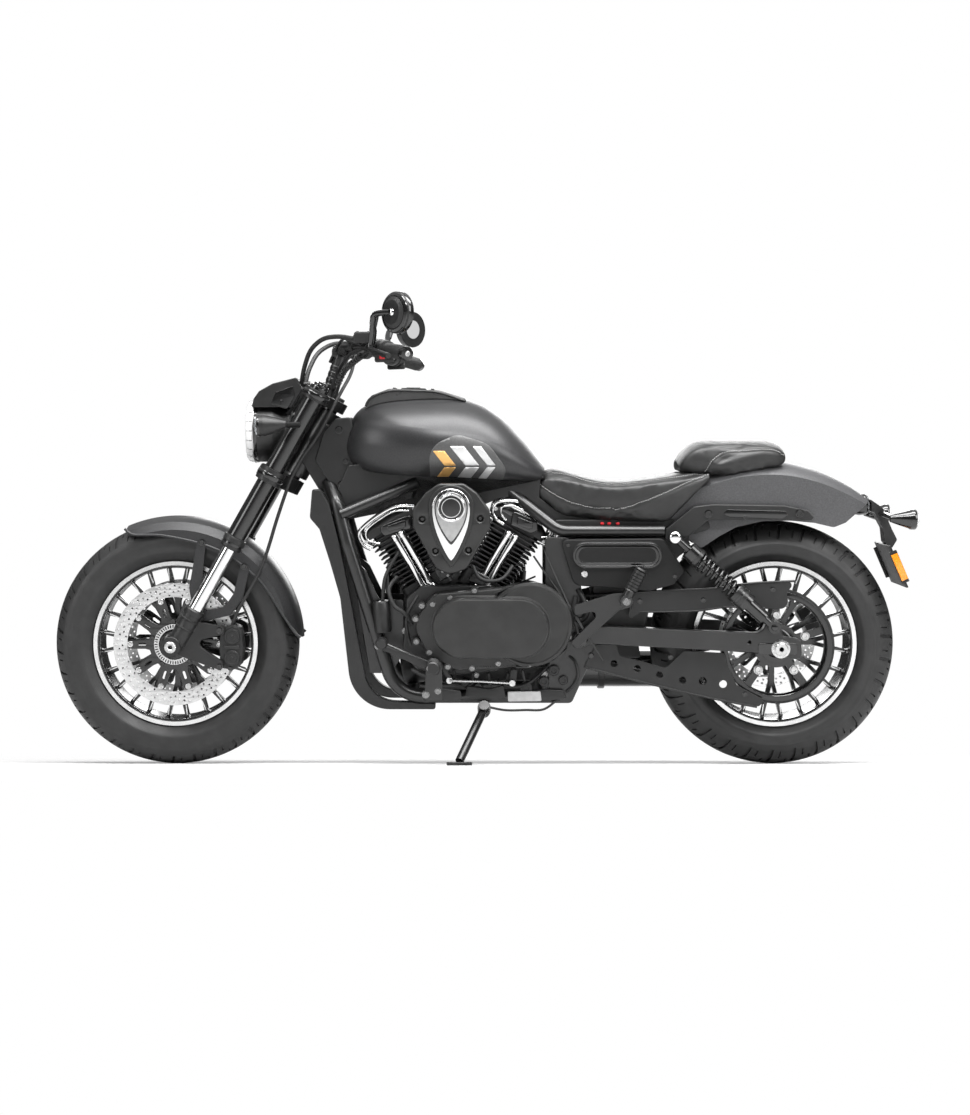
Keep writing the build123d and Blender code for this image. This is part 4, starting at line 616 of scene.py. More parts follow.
def copies_group():
    """Geometry Nodes group: a template at every point, aimed and sized by the point's attributes."""
    tree = bpy.data.node_groups.new("copies_at_points", "GeometryNodeTree")
    for name, way, kind in (
        ("Geometry", "INPUT", "Geometry"), ("Template", "INPUT", "Object"), ("Scale Spread", "INPUT", "Float"),
        ("Seed", "INPUT", "Int"), ("Material", "INPUT", "Material"), ("Geometry", "OUTPUT", "Geometry"),
    ):
        tree.interface.new_socket(name, in_out=way, socket_type="NodeSocket" + kind)

    def node(kind, inputs, **settings):
        """A node whose inputs are linked to other nodes' outputs or set to plain values."""
        made = tree.nodes.new(kind)
        for key, value in settings.items():
            setattr(made, key, value)
        for key, value in inputs.items():
            if isinstance(value, bpy.types.NodeSocket):
                tree.links.new(value, made.inputs[key])
            else:
                made.inputs[key].default_value = value
        return made.outputs

    given = node("NodeGroupInput", {})
    aim, hint, size = (
        node("GeometryNodeInputNamedAttribute", {"Name": key}, data_type="FLOAT_VECTOR")["Attribute"]
        for key in ("aim", "hint", "size")
    )
    aimed = node("FunctionNodeAlignRotationToVector", {"Vector": aim}, axis="Z")
    turned = node(
        "FunctionNodeAlignRotationToVector", {"Rotation": aimed["Rotation"], "Vector": hint},
        axis="X", pivot_axis="Z",
    )
    spread = {0: 1.0, 1: given["Scale Spread"]}
    low = node("ShaderNodeMath", spread, operation="SUBTRACT")
    high = node("ShaderNodeMath", spread, operation="ADD")
    chance = node("FunctionNodeRandomValue", {2: low["Value"], 3: high["Value"], "Seed": given["Seed"]})
    grown = node("ShaderNodeVectorMath", {0: size, "Scale": chance[1]}, operation="SCALE")
    info = node("GeometryNodeObjectInfo", {"Object": given["Template"]})
    placed = node("GeometryNodeInstanceOnPoints", {
        "Points": given["Geometry"], "Instance": info["Geometry"], "Rotation": turned["Rotation"],
        "Scale": grown["Vector"],
    })
    real = node("GeometryNodeRealizeInstances", {"Geometry": placed["Instances"]})
    paint = node("GeometryNodeSetMaterial", {"Geometry": real["Geometry"], "Material": given["Material"]})
    node("NodeGroupOutput", {"Geometry": paint["Geometry"]})
    return tree


def copies(name, form, rows, body, finish, spread=0.0, seed=1, sharp=35.0):
    """Repeats a template mesh at rows of (spot, aim, hint, size) and adds the result as one piece."""
    group = bpy.data.node_groups.get("copies_at_points") or copies_group()
    points = bpy.data.meshes.new(name)
    points.from_pydata([row[0] for row in rows], [], [])
    for column, key in ((1, "aim"), (2, "hint"), (3, "size")):
        values = [value for row in rows for value in row[column]]
        points.attributes.new(key, "FLOAT_VECTOR", "POINT").data.foreach_set("vector", values)
    pattern = bpy.data.objects.new("template", form)
    holder = bpy.data.objects.new("work", points)
    for made in (pattern, holder):
        bpy.context.scene.collection.objects.link(made)
    modifier = holder.modifiers.new("copies", "NODES")
    modifier.node_group = group
    keys = {item.name: item.identifier for item in group.interface.items_tree if item.in_out == "INPUT"}
    modifier[keys["Template"]] = pattern
    modifier[keys["Scale Spread"]] = spread
    modifier[keys["Seed"]] = seed
    modifier[keys["Material"]] = FINISHES[finish]
    graph = bpy.context.evaluated_depsgraph_get()
    mesh = bpy.data.meshes.new_from_object(holder.evaluated_get(graph))
    bpy.data.objects.remove(holder)
    bpy.data.objects.remove(pattern)
    bpy.data.meshes.remove(form)
    for key in ("aim", "hint", "size"):
        if key in mesh.attributes:
            mesh.attributes.remove(mesh.attributes[key])
    return add_piece(name, mesh, body, finish, sharp=sharp)


def ring_rows(centre, radius, count, across, aim, size, phase=0.0):
    """Rows for copies in a circle about an axle; phase is a share of the step."""
    rows = []
    for index in range(count):
        angle = 2 * pi * (index + phase) / count
        out = Vector((cos(angle), 0, sin(angle)))
        rows.append((centre + radius * out + Vector((0, across, 0)), aim, out, size))
    return rows


def cube_template():
    """Cube one unit wide that is repeated, sized by its rows."""
    builder = bmesh.new()
    bmesh.ops.create_cube(builder, size=1.0)
    return mesh_from(builder, "template")


BOLT_ROWS = (                   # radius, height, in shares of the bolt's radius
    (0, -0.4), (1.25, -0.4), (1.25, 0.1), (1.0, 0.14), (1.0, 0.55), (0.9, 0.68),
    (0.5, 0.68), (0.5, 0.3), (0, 0.3),
)
NUT_ROWS = ((0, -0.3), (1.35, -0.3), (1.35, 0.12), (1.0, 0.16), (1.0, 0.75), (0.86, 0.86), (0, 0.86))
DOME_ROWS = ((0, -0.4), (1.0, -0.4), (1.0, 0.1), (0.86, 0.36), (0.5, 0.52), (0, 0.56))


def bolts(name, rows, body, finish="steel", form=BOLT_ROWS, steps=24):
    """Bolts at rows of (x, y, z, radius); the sign of an optional fifth value aims them right."""
    placed = []
    for x, y, z, radius, *side in rows:
        aim = RIGHT if side and side[0] > 0 else LEFT
        placed.append(((x, y, z), aim, (0.2, 0, 1), (radius,) * 3))
    return copies(name, template(form, steps), placed, body, finish, spread=0.02, seed=4)


# ------------------------------------------------------------------ wheels
TYRE_RADIUS = 321.0
CROWN_RADIUS = 75.0
FLANGE_RADIUS = 216.8
BEAD_RADIUS = 205.0
TREAD_HALF_WIDTH = 66.0         # arc that the tread's rows are drawn for
SIPE_DEPTH = 0.7                # depth of sipes and notches as a share of the main groove's
# tread columns round the tyre: share of the pitch, and the groove that is open there
TREAD_COLUMNS = (
    (0.00, "main"), (0.11, "main"), (0.125, ""), (0.40, ""), (0.412, "sipe"), (0.455, "sipe"),
    (0.467, ""), (0.70, ""), (0.712, "notch"), (0.765, "notch"), (0.777, ""), (0.985, ""),
)
# tread rows across: millimetres from the middle, and the grooves that are open there
TREAD_ROWS = (
    (0.0, ""), (4.0, ""), (9.6, ""), (10.0, "main"), (18.0, "main"), (21.0, "main"), (25.0, "main"),
    (25.4, "main notch"), (33.0, "main notch"), (38.0, "main notch"), (38.4, "main"), (41.6, "main"),
    (42.0, "main sipe"), (50.0, "main sipe"), (57.0, "main sipe"), (57.4, "main"), (61.5, "main"),
    (62.0, ""),
)


def tread_shift(across):
    """Stepped slant of the tread, in millimetres round the tyre."""
    return 0.8 * min(across, 20) + 14 * min(max((across - 20) / 6, 0), 1) + 0.25 * max(across - 26, 0)


def tyre_profile(width, rim_width):
    """Half width of the tread, and the wall from there to the bead as rows of (across, radius)."""
    half = width / 2
    shoulder = half - 4
    shoulder_radius = TYRE_RADIUS - CROWN_RADIUS + sqrt(CROWN_RADIUS ** 2 - shoulder ** 2)
    bead = rim_width / 2 - 5
    belly = (shoulder_radius + FLANGE_RADIUS) / 2
    wall = [(shoulder, shoulder_radius)]
    rib = {2: 0.7, 3: 1.2, 10: 0.9, 11: 0.9}
    for step in range(1, 16):
        t = step / 16
        across = (1 - t) ** 2 * shoulder + 2 * t * (1 - t) * (2 * half - (shoulder + bead) / 2) + t * t * bead
        radius = (1 - t) ** 2 * shoulder_radius + 2 * t * (1 - t) * belly + t * t * FLANGE_RADIUS
        wall.append((min(across, half - 0.6) + rib.get(step, 0) - 0.8, radius))
    wall += [(bead, FLANGE_RADIUS), (bead, BEAD_RADIUS), (0, BEAD_RADIUS)]
    return shoulder, wall


def add_tyre(name, width, rim_width, centre, pitches, depth, finish, node):
    """Tyre with a cut tread: stepped slanted grooves and short sipes on both halves."""
    shoulder, wall = tyre_profile(width, rim_width)
    arc = CROWN_RADIUS * atan2(shoulder, sqrt(CROWN_RADIUS ** 2 - shoulder ** 2))
    scale = arc / TREAD_HALF_WIDTH
    pitch = 2 * pi / pitches
    columns = [(pitch * (index + share), flag) for index in range(pitches) for share, flag in TREAD_COLUMNS]
    builder = bmesh.new()
    for side in SIDES:
        grid = []
        for across, flags in TREAD_ROWS:
            angle = across * scale / CROWN_RADIUS
            turn = side * pitch / 4
            row = []
            for column, flag in columns:
                low = depth if flag and flag in flags.split() else 0.0
                if flag != "main":
                    low *= SIPE_DEPTH
                radius = TYRE_RADIUS - CROWN_RADIUS + (CROWN_RADIUS - low) * cos(angle)
                y = side * (CROWN_RADIUS - low) * sin(angle)
                theta = column + turn + tread_shift(across) / TYRE_RADIUS
                row.append(Vector((centre.x + radius * cos(theta), y, centre.z + radius * sin(theta))))
            grid.append(row)
        last = tread_shift(TREAD_ROWS[-1][0]) / TYRE_RADIUS + side * pitch / 4
        for across, radius in wall:
            grid.append([
                Vector((
                    centre.x + radius * cos(column + last),
                    side * across,
                    centre.z + radius * sin(column + last),
                ))
                for column, _ in columns
            ])
        skin(builder, grid)
    bmesh.ops.remove_doubles(builder, verts=builder.verts, dist=0.02)
    return add_piece(name, builder, body_of(node), finish, (node,), sharp=30)


def add_lip(name, rim_width, centre, body, finish):
    """Bright turned lips on both flanges, each with a fine inner line."""
    builder = bmesh.new()
    half = rim_width / 2
    for side in SIDES:
        at = outward(centre.x, 0, centre.z, side)
        lathe(builder, (
            (204.4, half - 0.6), (205.2, half + 0.9), (215.6, half + 0.9), (216.6, half - 0.2),
        ), at, 160, True)
        lathe(builder, (
            (198.8, half - 7.0), (199.2, half - 3.6), (201.2, half - 1.2), (201.8, half - 3.0),
        ), at, 160, True)
    return add_piece(name, builder, body, finish, sharp=28)


def spoke_ticks(name, centre, body, first, last, finish):
    """Machined strips on the faces of the spoke tips."""
    rows = []
    middle = (first + last) / 2
    for index in range(SPOKE_TIPS):
        angle = 2 * pi * (index + 0.5) / SPOKE_TIPS
        out = Vector((cos(angle), 0, sin(angle)))
        for side in SIDES:
            spot = Vector((centre.x, side * 10.4, centre.z)) + middle * out
            rows.append((spot, (0, side, 0), out, (last - first, 2.6, 1.6)))
    return copies(name, cube_template(), rows, body, finish)


def drilled_ring(centre, outer, inner, rows, count):
    """Outlines of a brake ring with its rows of drilled holes."""
    outlines = [circle(centre, outer, 144), circle(centre, inner, 144)]
    for index in range(count):
        for radius, offset, size in rows:
            angle = 2 * pi * (index + offset) / count
            spot = (centre[0] + radius * cos(angle), centre[1] + radius * sin(angle))
            outlines.append(circle(spot, size, 10))
    return outlines


SPOKE_TIPS = 24                 # machined strips round each rim
SENSOR_SLOTS = 46               # slots in the front wheel's sensor ring
PULLEY_TEETH = 80
FRONT_TYRE = {"width": 130, "rim_width": 92, "pitches": 34, "depth": 4.5}
REAR_TYRE = {"width": 150, "rim_width": 112, "pitches": 30, "depth": 5.0}
FRONT_DISC = ((-63, -58), (58, 63))     # left and right faces of the front brake rings
REAR_DISC = (72, 77)
REAR_DISC_STEP = 28             # how much smaller the rear disc's rows of holes are
DISC_HOLES = (                  # radius, share of the step, hole radius
    (153.0, 0.00, 2.6), (145.0, 0.32, 2.6), (136.5, 0.08, 2.6), (129.0, 0.40, 2.6), (149.0, 0.66, 2.6),
    (139.0, 0.72, 2.6),
)


def carrier_outlines(centre, reach, hub, arms, bore):
    """Outline of a disc carrier: scalloped arms round a hub ring, with pockets."""
    outline = []
    for index in range(arms):
        middle = 2 * pi * index / arms
        for offset, radius in (
            (-0.5, hub), (-0.36, hub + 1), (-0.25, hub + 12), (-0.17, reach - 8), (-0.11, reach),
            (0.11, reach), (0.17, reach - 8), (0.25, hub + 12), (0.36, hub + 1),
        ):
            angle = middle + offset * 2 * pi / arms
            outline.append((centre[0] + radius * cos(angle), centre[1] + radius * sin(angle)))
    holes = [circle(centre, bore, 48)]
    for index in range(arms):
        angle = 2 * pi * index / arms
        spot = (centre[0] + (hub + 19) * cos(angle), centre[1] + (hub + 19) * sin(angle))
        holes.append(slot(spot, 22, 7, degrees(angle)))
    return [outline, *holes]


def add_front_wheel():
    body = body_of("front_rim")
    centre = (FRONT_AXLE.x, FRONT_AXLE.z)
    add_tyre("front_tread", centre=FRONT_AXLE, finish="tyre front", node="front_tyre", **FRONT_TYRE)
    add_lip("front_rim_lips", FRONT_TYRE["rim_width"], FRONT_AXLE, body, "lip front")
    spoke_ticks("front_spoke_ticks", FRONT_AXLE, body, 168, 195, "lip front")
    discs = bmesh.new()
    carriers = bmesh.new()
    for near, far in FRONT_DISC:
        mesh = cut_plate(drilled_ring(centre, 160, 123.4, DISC_HOLES, 24), near, far, 0.3)
        discs.from_mesh(mesh)
        mesh = cut_plate(carrier_outlines(centre, 122.8, 66, 10, 13.0), near + 0.4, far - 0.4, 0.4)
        carriers.from_mesh(mesh)
    add_piece("front_discs", discs, body, "disc front", replaced=("front_disc_bands",))
    add_piece("front_carriers", carriers, body, "wheel black", replaced=("front_disc_carriers",))
    rivets = []
    screws = []
    for side in SIDES:
        out = (0, side, 0)
        rivets += ring_rows(FRONT_AXLE, 116, 10, side * 62.6, out, (7.4, 7.4, 5.0))
        screws += ring_rows(FRONT_AXLE, 60, 5, side * 63, out, (6.5, 6.5, 8), 0.3)
    form = template(((0, -0.4), (1, -0.4), (1, 0.3), (0.8, 0.5), (0.55, 0.5), (0.45, 0.1), (0, 0.1)))
    copies("front_disc_rivets", form, rivets, body, "steel")
    copies("front_disc_bolts", template(BOLT_ROWS), screws, body, "gloss black")
    ring = [circle(centre, 53, 120), circle(centre, 40, 96)]
    for index in range(SENSOR_SLOTS):
        angle = 360 * index / SENSOR_SLOTS
        spot = (centre[0] + 47.6 * cos(radians(angle)), centre[1] + 47.6 * sin(radians(angle)))
        ring.append(slot(spot, 8.4, 2.9, angle, 3))
    add_piece("front_sensor_ring", cut_plate(ring, -68.4, -66.4, 0.2), body, "steel")
    hub = bmesh.new()
    for side in SIDES:
        at = outward(FRONT_AXLE.x, 0, FRONT_AXLE.z, side)
        lathe(hub, (
            (13, 56), (40, 56), (42, 64), (39, 66.2), (34, 66.6), (30, 70), (24, 72), (20, 73), (13, 73),
        ), at, 64, True)
    add_piece("front_hub_caps", hub, body, "wheel black")
    builder = bmesh.new()
    valve = FRONT_AXLE + 194 * Vector((cos(radians(205)), 0, sin(radians(205))))
    out = (FRONT_AXLE - valve).normalized()
    lathe(builder, ((0, -4), (5.4, -4), (4.2, 4), (3.1, 8), (3.1, 22), (2.6, 24), (0, 24)), toward(valve, out), 16)
    add_piece("front_valve", builder, body, "rubber")


def add_rear_wheel():
    body = body_of("rear_rim")
    centre = (REAR_AXLE.x, REAR_AXLE.z)
    add_tyre("rear_tread", centre=REAR_AXLE, finish="tyre rear", node="rear_tyre", **REAR_TYRE)
    add_lip("rear_rim_lips", REAR_TYRE["rim_width"], REAR_AXLE, body, "lip rear")
    spoke_ticks("rear_spoke_ticks", REAR_AXLE, body, 166, 195, "lip rear")
    holes = [(radius - REAR_DISC_STEP, share, size) for radius, share, size in DISC_HOLES]
    disc = cut_plate(drilled_ring(centre, 130, 98.4, holes, 20), *REAR_DISC, 0.3)
    add_piece("rear_disc_drilled", disc, body, "disc rear", replaced=("rear_disc",))
    hub = bmesh.new()
    hub.from_mesh(cut_plate(carrier_outlines(centre, 98, 54, 8, 13.0), 72.4, 76.6, 0.4))
    at = toward(REAR_AXLE, RIGHT)
    lathe(hub, ((13, 70), (44, 70), (46, 80), (42, 83), (30, 84), (24, 92), (13, 92)), at, 64, True)
    at = toward(REAR_AXLE, LEFT)
    lathe(hub, ((13, 80), (40, 80), (44, 88), (40, 90.5), (32, 91), (28, 98), (22, 104), (13, 104)), at, 64, True)
    add_piece("rear_hub_caps", hub, body, "wheel black")
    rows = ring_rows(REAR_AXLE, 79, 5, -87, LEFT, (9.5, 9.5, 9.5), 0.25)
    copies("rear_pulley_bolts", template(BOLT_ROWS), rows, body, "steel")
    rows = ring_rows(REAR_AXLE, 92, 8, 77, RIGHT, (6.5, 6.5, 5.0))
    copies("rear_disc_bolts", template(BOLT_ROWS), rows, body, "steel")
    face = [circle(centre, 142.4, 160), circle(centre, 129, 160)]
    pulley = bmesh.new()
    pulley.from_mesh(cut_plate(face, -110.5, -100, 1.2))
    add_piece("rear_pulley_face", pulley, body, "wheel black")
    teeth = ring_rows(REAR_AXLE, 142.6, PULLEY_TEETH, -92, LEFT, (2.2, 5.0, 26))
    copies("rear_pulley_teeth", cube_template(), teeth, body, "wheel black")


# ------------------------------------------------------------------ fork, lamps and handlebar
RAKE = radians(29.4)
FORK_UP = Vector((sin(RAKE), 0, cos(RAKE)))
FORK_AHEAD = Vector((-cos(RAKE), 0, sin(RAKE)))
FORK_FOOT = FRONT_AXLE - 6.5 * FORK_AHEAD
FORK_Y = 105.0                  # half the distance between the legs
CLAMPS_ALONG = (511, 750)       # heights of the two clamps along the legs


def fork_point(along, y, ahead=0.0):
    """Point in the fork: along its legs from the axle, across, and ahead of the legs."""
    point = FORK_FOOT + along * FORK_UP + ahead * FORK_AHEAD
    return Vector((point.x, y, point.z))


LAMP = Vector((fork_point(633, 0).x - 120.4, 0, fork_point(633, 0).z + 9.7))

PROJECTORS_UP = (-22, 24)       # heights of the two projectors from the lamp's middle
LAMP_GAP = 0.04                 # gap at each end of a part of the ring of light, as a share


def add_fork():
    """Seal collars, fork caps, clamp bolts, axle ends and caliper details."""
    collars = bmesh.new()
    caps = bmesh.new()
    feet = bmesh.new()
    bright = bmesh.new()
    rows = []
    small = []
    for side in SIDES:
        y = side * FORK_Y
        lathe(collars, (
            (20.4, -5), (26, -5), (29.6, -2), (29.6, 6), (27.4, 8), (27.4, 11), (30.2, 13), (30.2, 25), (29, 27.5),
            (26.6, 28.5), (26.6, 31), (20.4, 31),
        ), toward(fork_point(300, y), FORK_UP), 64, True)
        lathe(caps, (
            (0, 0), (26, 0), (25, 3), (20.5, 4), (20.5, 9), (18.5, 11), (11, 11), (11, 15), (9.6, 16.2), (0, 16.2),
        ), toward(fork_point(771, y), FORK_UP), 48)
        lathe(bright, ((0, 15), (8, 15), (8, 18), (6.5, 19), (0, 19)), toward(fork_point(771, y), FORK_UP), 6)
        for along in (502, 520):
            spot = fork_point(along, side * (FORK_Y - 22), 34)
            rows.append((spot, FORK_AHEAD, (0, 1, 0), (6.2,) * 3))
        spot = fork_point(750, side * (FORK_Y - 22), 31)
        rows.append((spot, FORK_AHEAD, (0, 1, 0), (6.2,) * 3))
        for along in CLAMPS_ALONG:
            lathe(caps, ((36, -7), (37.4, -5), (37.4, 5), (36, 7)), toward(fork_point(along, y), FORK_UP), 64, True)
        lathe(feet, (
            (14.5, -6), (25.5, -6), (27.0, -3), (27.0, 2), (25, 4.6), (16, 4.6), (14.5, 2),
        ), outward(FRONT_AXLE.x, 131, FRONT_AXLE.z, side), 64, True)
        lathe(bright, (
            (6.0, 0), (11.5, 0), (15.5, 1), (15.5, 4.4), (14, 5.6), (7.5, 5.6), (6.0, 4.4),
        ), outward(FRONT_AXLE.x, 132, FRONT_AXLE.z, side), 6, True)
        for along in (58, 84):
            lathe(feet, ((24, -3), (27.4, -1), (27.4, 1), (24, 3)), toward(fork_point(along, y), FORK_UP), 64, True)
        lathe(feet, ((20, -4), (25.6, -4), (27.6, 0), (27.6, 8), (25, 11.5), (20.4, 12.5)),
              toward(fork_point(102, y), FORK_UP), 64, True)
        for x, z in ((-676, 362), (-676, 268)):
            small.append((x, side * 112.4, z, 7.0, side))
        for x, z in ((-668, 374), (-650, 262), (-636, 372)):
            small.append((x, side * 98.6, z, 5.0, side))
        for z in (345, 289):
            lathe(feet, (
                (0, -4), (21, -4), (21, 3.4), (19.4, 5.4), (15, 5.4), (14, 3.6), (5, 3.6), (4, 5.0), (0, 5.0),
            ), outward(-645, 98, z, side), 48)
        side_plate(feet, ((-668, 322, 5), (-624, 322, 5), (-624, 312, 5), (-668, 312, 5)), side, 97, 103, 2)
    add_piece("fork_collars", collars, "steering", "cover black")
    add_piece("fork_caps", caps, "steering", "gloss black")
    add_piece("fork_foot_details", feet, "steering", "engine black")
    add_piece("fork_bright_ends", bright, "steering", "steel", sharp=20)
    copies("clamp_bolts", template(BOLT_ROWS), rows, "steering", "gloss black")
    bolts("caliper_bolts", small, "steering", "gloss black")


def add_headlamp():
    """Ring of light, lenses and bezel of the headlamp, with side plates on its cowl."""
    at = toward((LAMP.x, 0, LAMP.z), (-1, 0, 0))
    builder = bmesh.new()
    lathe(builder, ((60, -20), (82.4, -20), (83.6, -17), (83.6, -13), (82, -11.5), (60, -11.5)), at, 96, True)
    lathe(builder, ((0, -9), (64, -9), (64, -3), (60, 3), (57, 2), (54, -5), (0, -5)), at, 96)
    for up in PROJECTORS_UP:
        lathe(builder, (
            (0, -8), (20, -8), (23, -3), (24.6, -3), (24.6, -9), (0, -9),
        ), at @ Matrix.Translation((0, up, 0)), 48)
    add_piece("headlamp_bezel", builder, "steering", "gloss black")
    builder = bmesh.new()
    segments = sizes().lamp_segments
    for index in range(segments):
        start = 2 * pi * (index + LAMP_GAP) / segments
        stop = 2 * pi * (index + 1 - LAMP_GAP) / segments
        rings = []
        for step in range(7):
            angle = start + (stop - start) * step / 6
            out = Vector((cos(angle), sin(angle), 0))
            rings.append([
                at @ (out * radius + Vector((0, 0, height)))
                for radius, height in ((61, -11), (62, 4), (66, 9), (73, 10), (79, 6), (82, -1), (82.6, -11))
            ])
        skin(builder, [[rings[0][0]]] + rings + [[rings[-1][0]]])
    edge = bmesh.new()
    lathe(edge, ((60, -11), (80.6, -11), (80.6, -2), (78, 5), (73, 8.6), (66, 7.6), (62, 3)), at, 96, True)
    lathe(edge, ((82.4, -12), (84.2, -11.5), (84.2, -8.5), (82.4, -8)), at, 96, True)
    add_piece("headlamp_ring_edges", edge, "steering", "satin steel")
    add_piece("headlamp_light_ring", builder, "steering", "lamp white")
    builder = bmesh.new()
    for up in PROJECTORS_UP:
        lathe(builder, (
            (0, -7.5), (21, -7.5), (19, -1.5), (12, 2.0), (0, 3.0),
        ), at @ Matrix.Translation((0, up, 0)), 48)
    # the projectors take the mirror glass finish, which glows white: a painted reflection
    add_piece("headlamp_projectors", builder, "steering", "mirror", replaced=("headlight_lens",))
    builder = bmesh.new()
    x, z = LAMP.x, LAMP.z
    both_plates(builder, (
        (x + 56, z + 70, 6), (x + 68, z + 100, 6), (x + 116, z + 118, 6), (x + 120, z + 92, 8), (x + 100, z + 56, 10),
    ), 75.5, 77.5, 0.9)
    add_piece("cowl_side_plates", builder, "steering", "gloss black")
    rows = [(x + 84, side * 77.4, z + 76, 5.0, side) for side in SIDES]
    bolts("cowl_bolts", rows, "steering", "gloss black")
    glass = bmesh.new()
    cups = bmesh.new()
    rims = bmesh.new()
    for side in SIDES:
        at = toward((-566, side * 190, 892), (-71, 0, -5))
        lathe(cups, ((0, -0.4), (24, -0.4), (24, 0.5), (14, 0.2), (0, 0.2)), at, 48)
        lathe(rims, ((24.2, -4), (27.4, -4), (28.0, 0), (27, 2.4), (25, 2.4), (24.2, 1)), at, 64, True)
        lathe(glass, ((0, 1), (24.4, 1), (24.4, 2.4), (21.5, 6.4), (14.5, 9.4), (7, 10.6), (0, 11)), at, 48)
    add_piece("front_indicator_cups", cups, "steering", "satin steel")
    add_piece("front_indicator_rims", rims, "steering", "gloss black")
    add_piece("front_indicator_lenses", glass, "steering", "lamp glass")


GRIP_START = Vector((-240, -300, 1083))
GRIP_END = Vector((-183, -425, 1069))


def grip_at(share, side):
    """Point on a grip's axis, and the direction outward along it."""
    spot = GRIP_START + share * (GRIP_END - GRIP_START)
    way = (GRIP_END - GRIP_START).normalized()
    return Vector((spot.x, -side * spot.y, spot.z)), Vector((way.x, -side * way.y, way.z))


BAR_CABLES = (                  # points, radius
    (((-300, -236, 1098), (-336, -180, 1110), (-352, -120, 1118), (-372, -60, 1104), (-396, -30, 1060)), 4.0),
    (((-296, -232, 1088), (-330, -172, 1078), (-352, -110, 1060), (-374, -64, 1030), (-392, -46, 990)), 4.5),
    (((-300, 236, 1098), (-336, 180, 1110), (-352, 120, 1118), (-372, 60, 1104), (-396, 30, 1060)), 4.0),
    (((-296, 232, 1088), (-330, 172, 1078), (-352, 110, 1060), (-374, 64, 1030), (-392, 46, 990)), 4.5),
    (((-280, -252, 1082), (-312, -196, 1064), (-344, -120, 1044), (-366, -70, 1006), (-378, -52, 970)), 3.5),
)
SPIRAL_CABLE = ((-300, -225, 1070), (-330, -160, 1052), (-352, -110, 1036), (-372, -80, 1000))

SPIRAL_RADIUS = 7.0
GRIP_RIBS = 13
SWITCH_BLOCKS = (               # outline, inner and outer distance from the mid-plane, rounded edge
    (((-318, 1100, 6), (-318, 1122, 8), (-268, 1122, 8), (-268, 1098, 6)), 236, 291, 4),
    (((-314, 1120, 4), (-314, 1128, 4), (-272, 1128, 4), (-272, 1120, 4)), 241, 286, 2),
    (((-262, 1050, 6), (-262, 1078, 6), (-214, 1076, 6), (-214, 1052, 6)), 300, 322, 3),
)


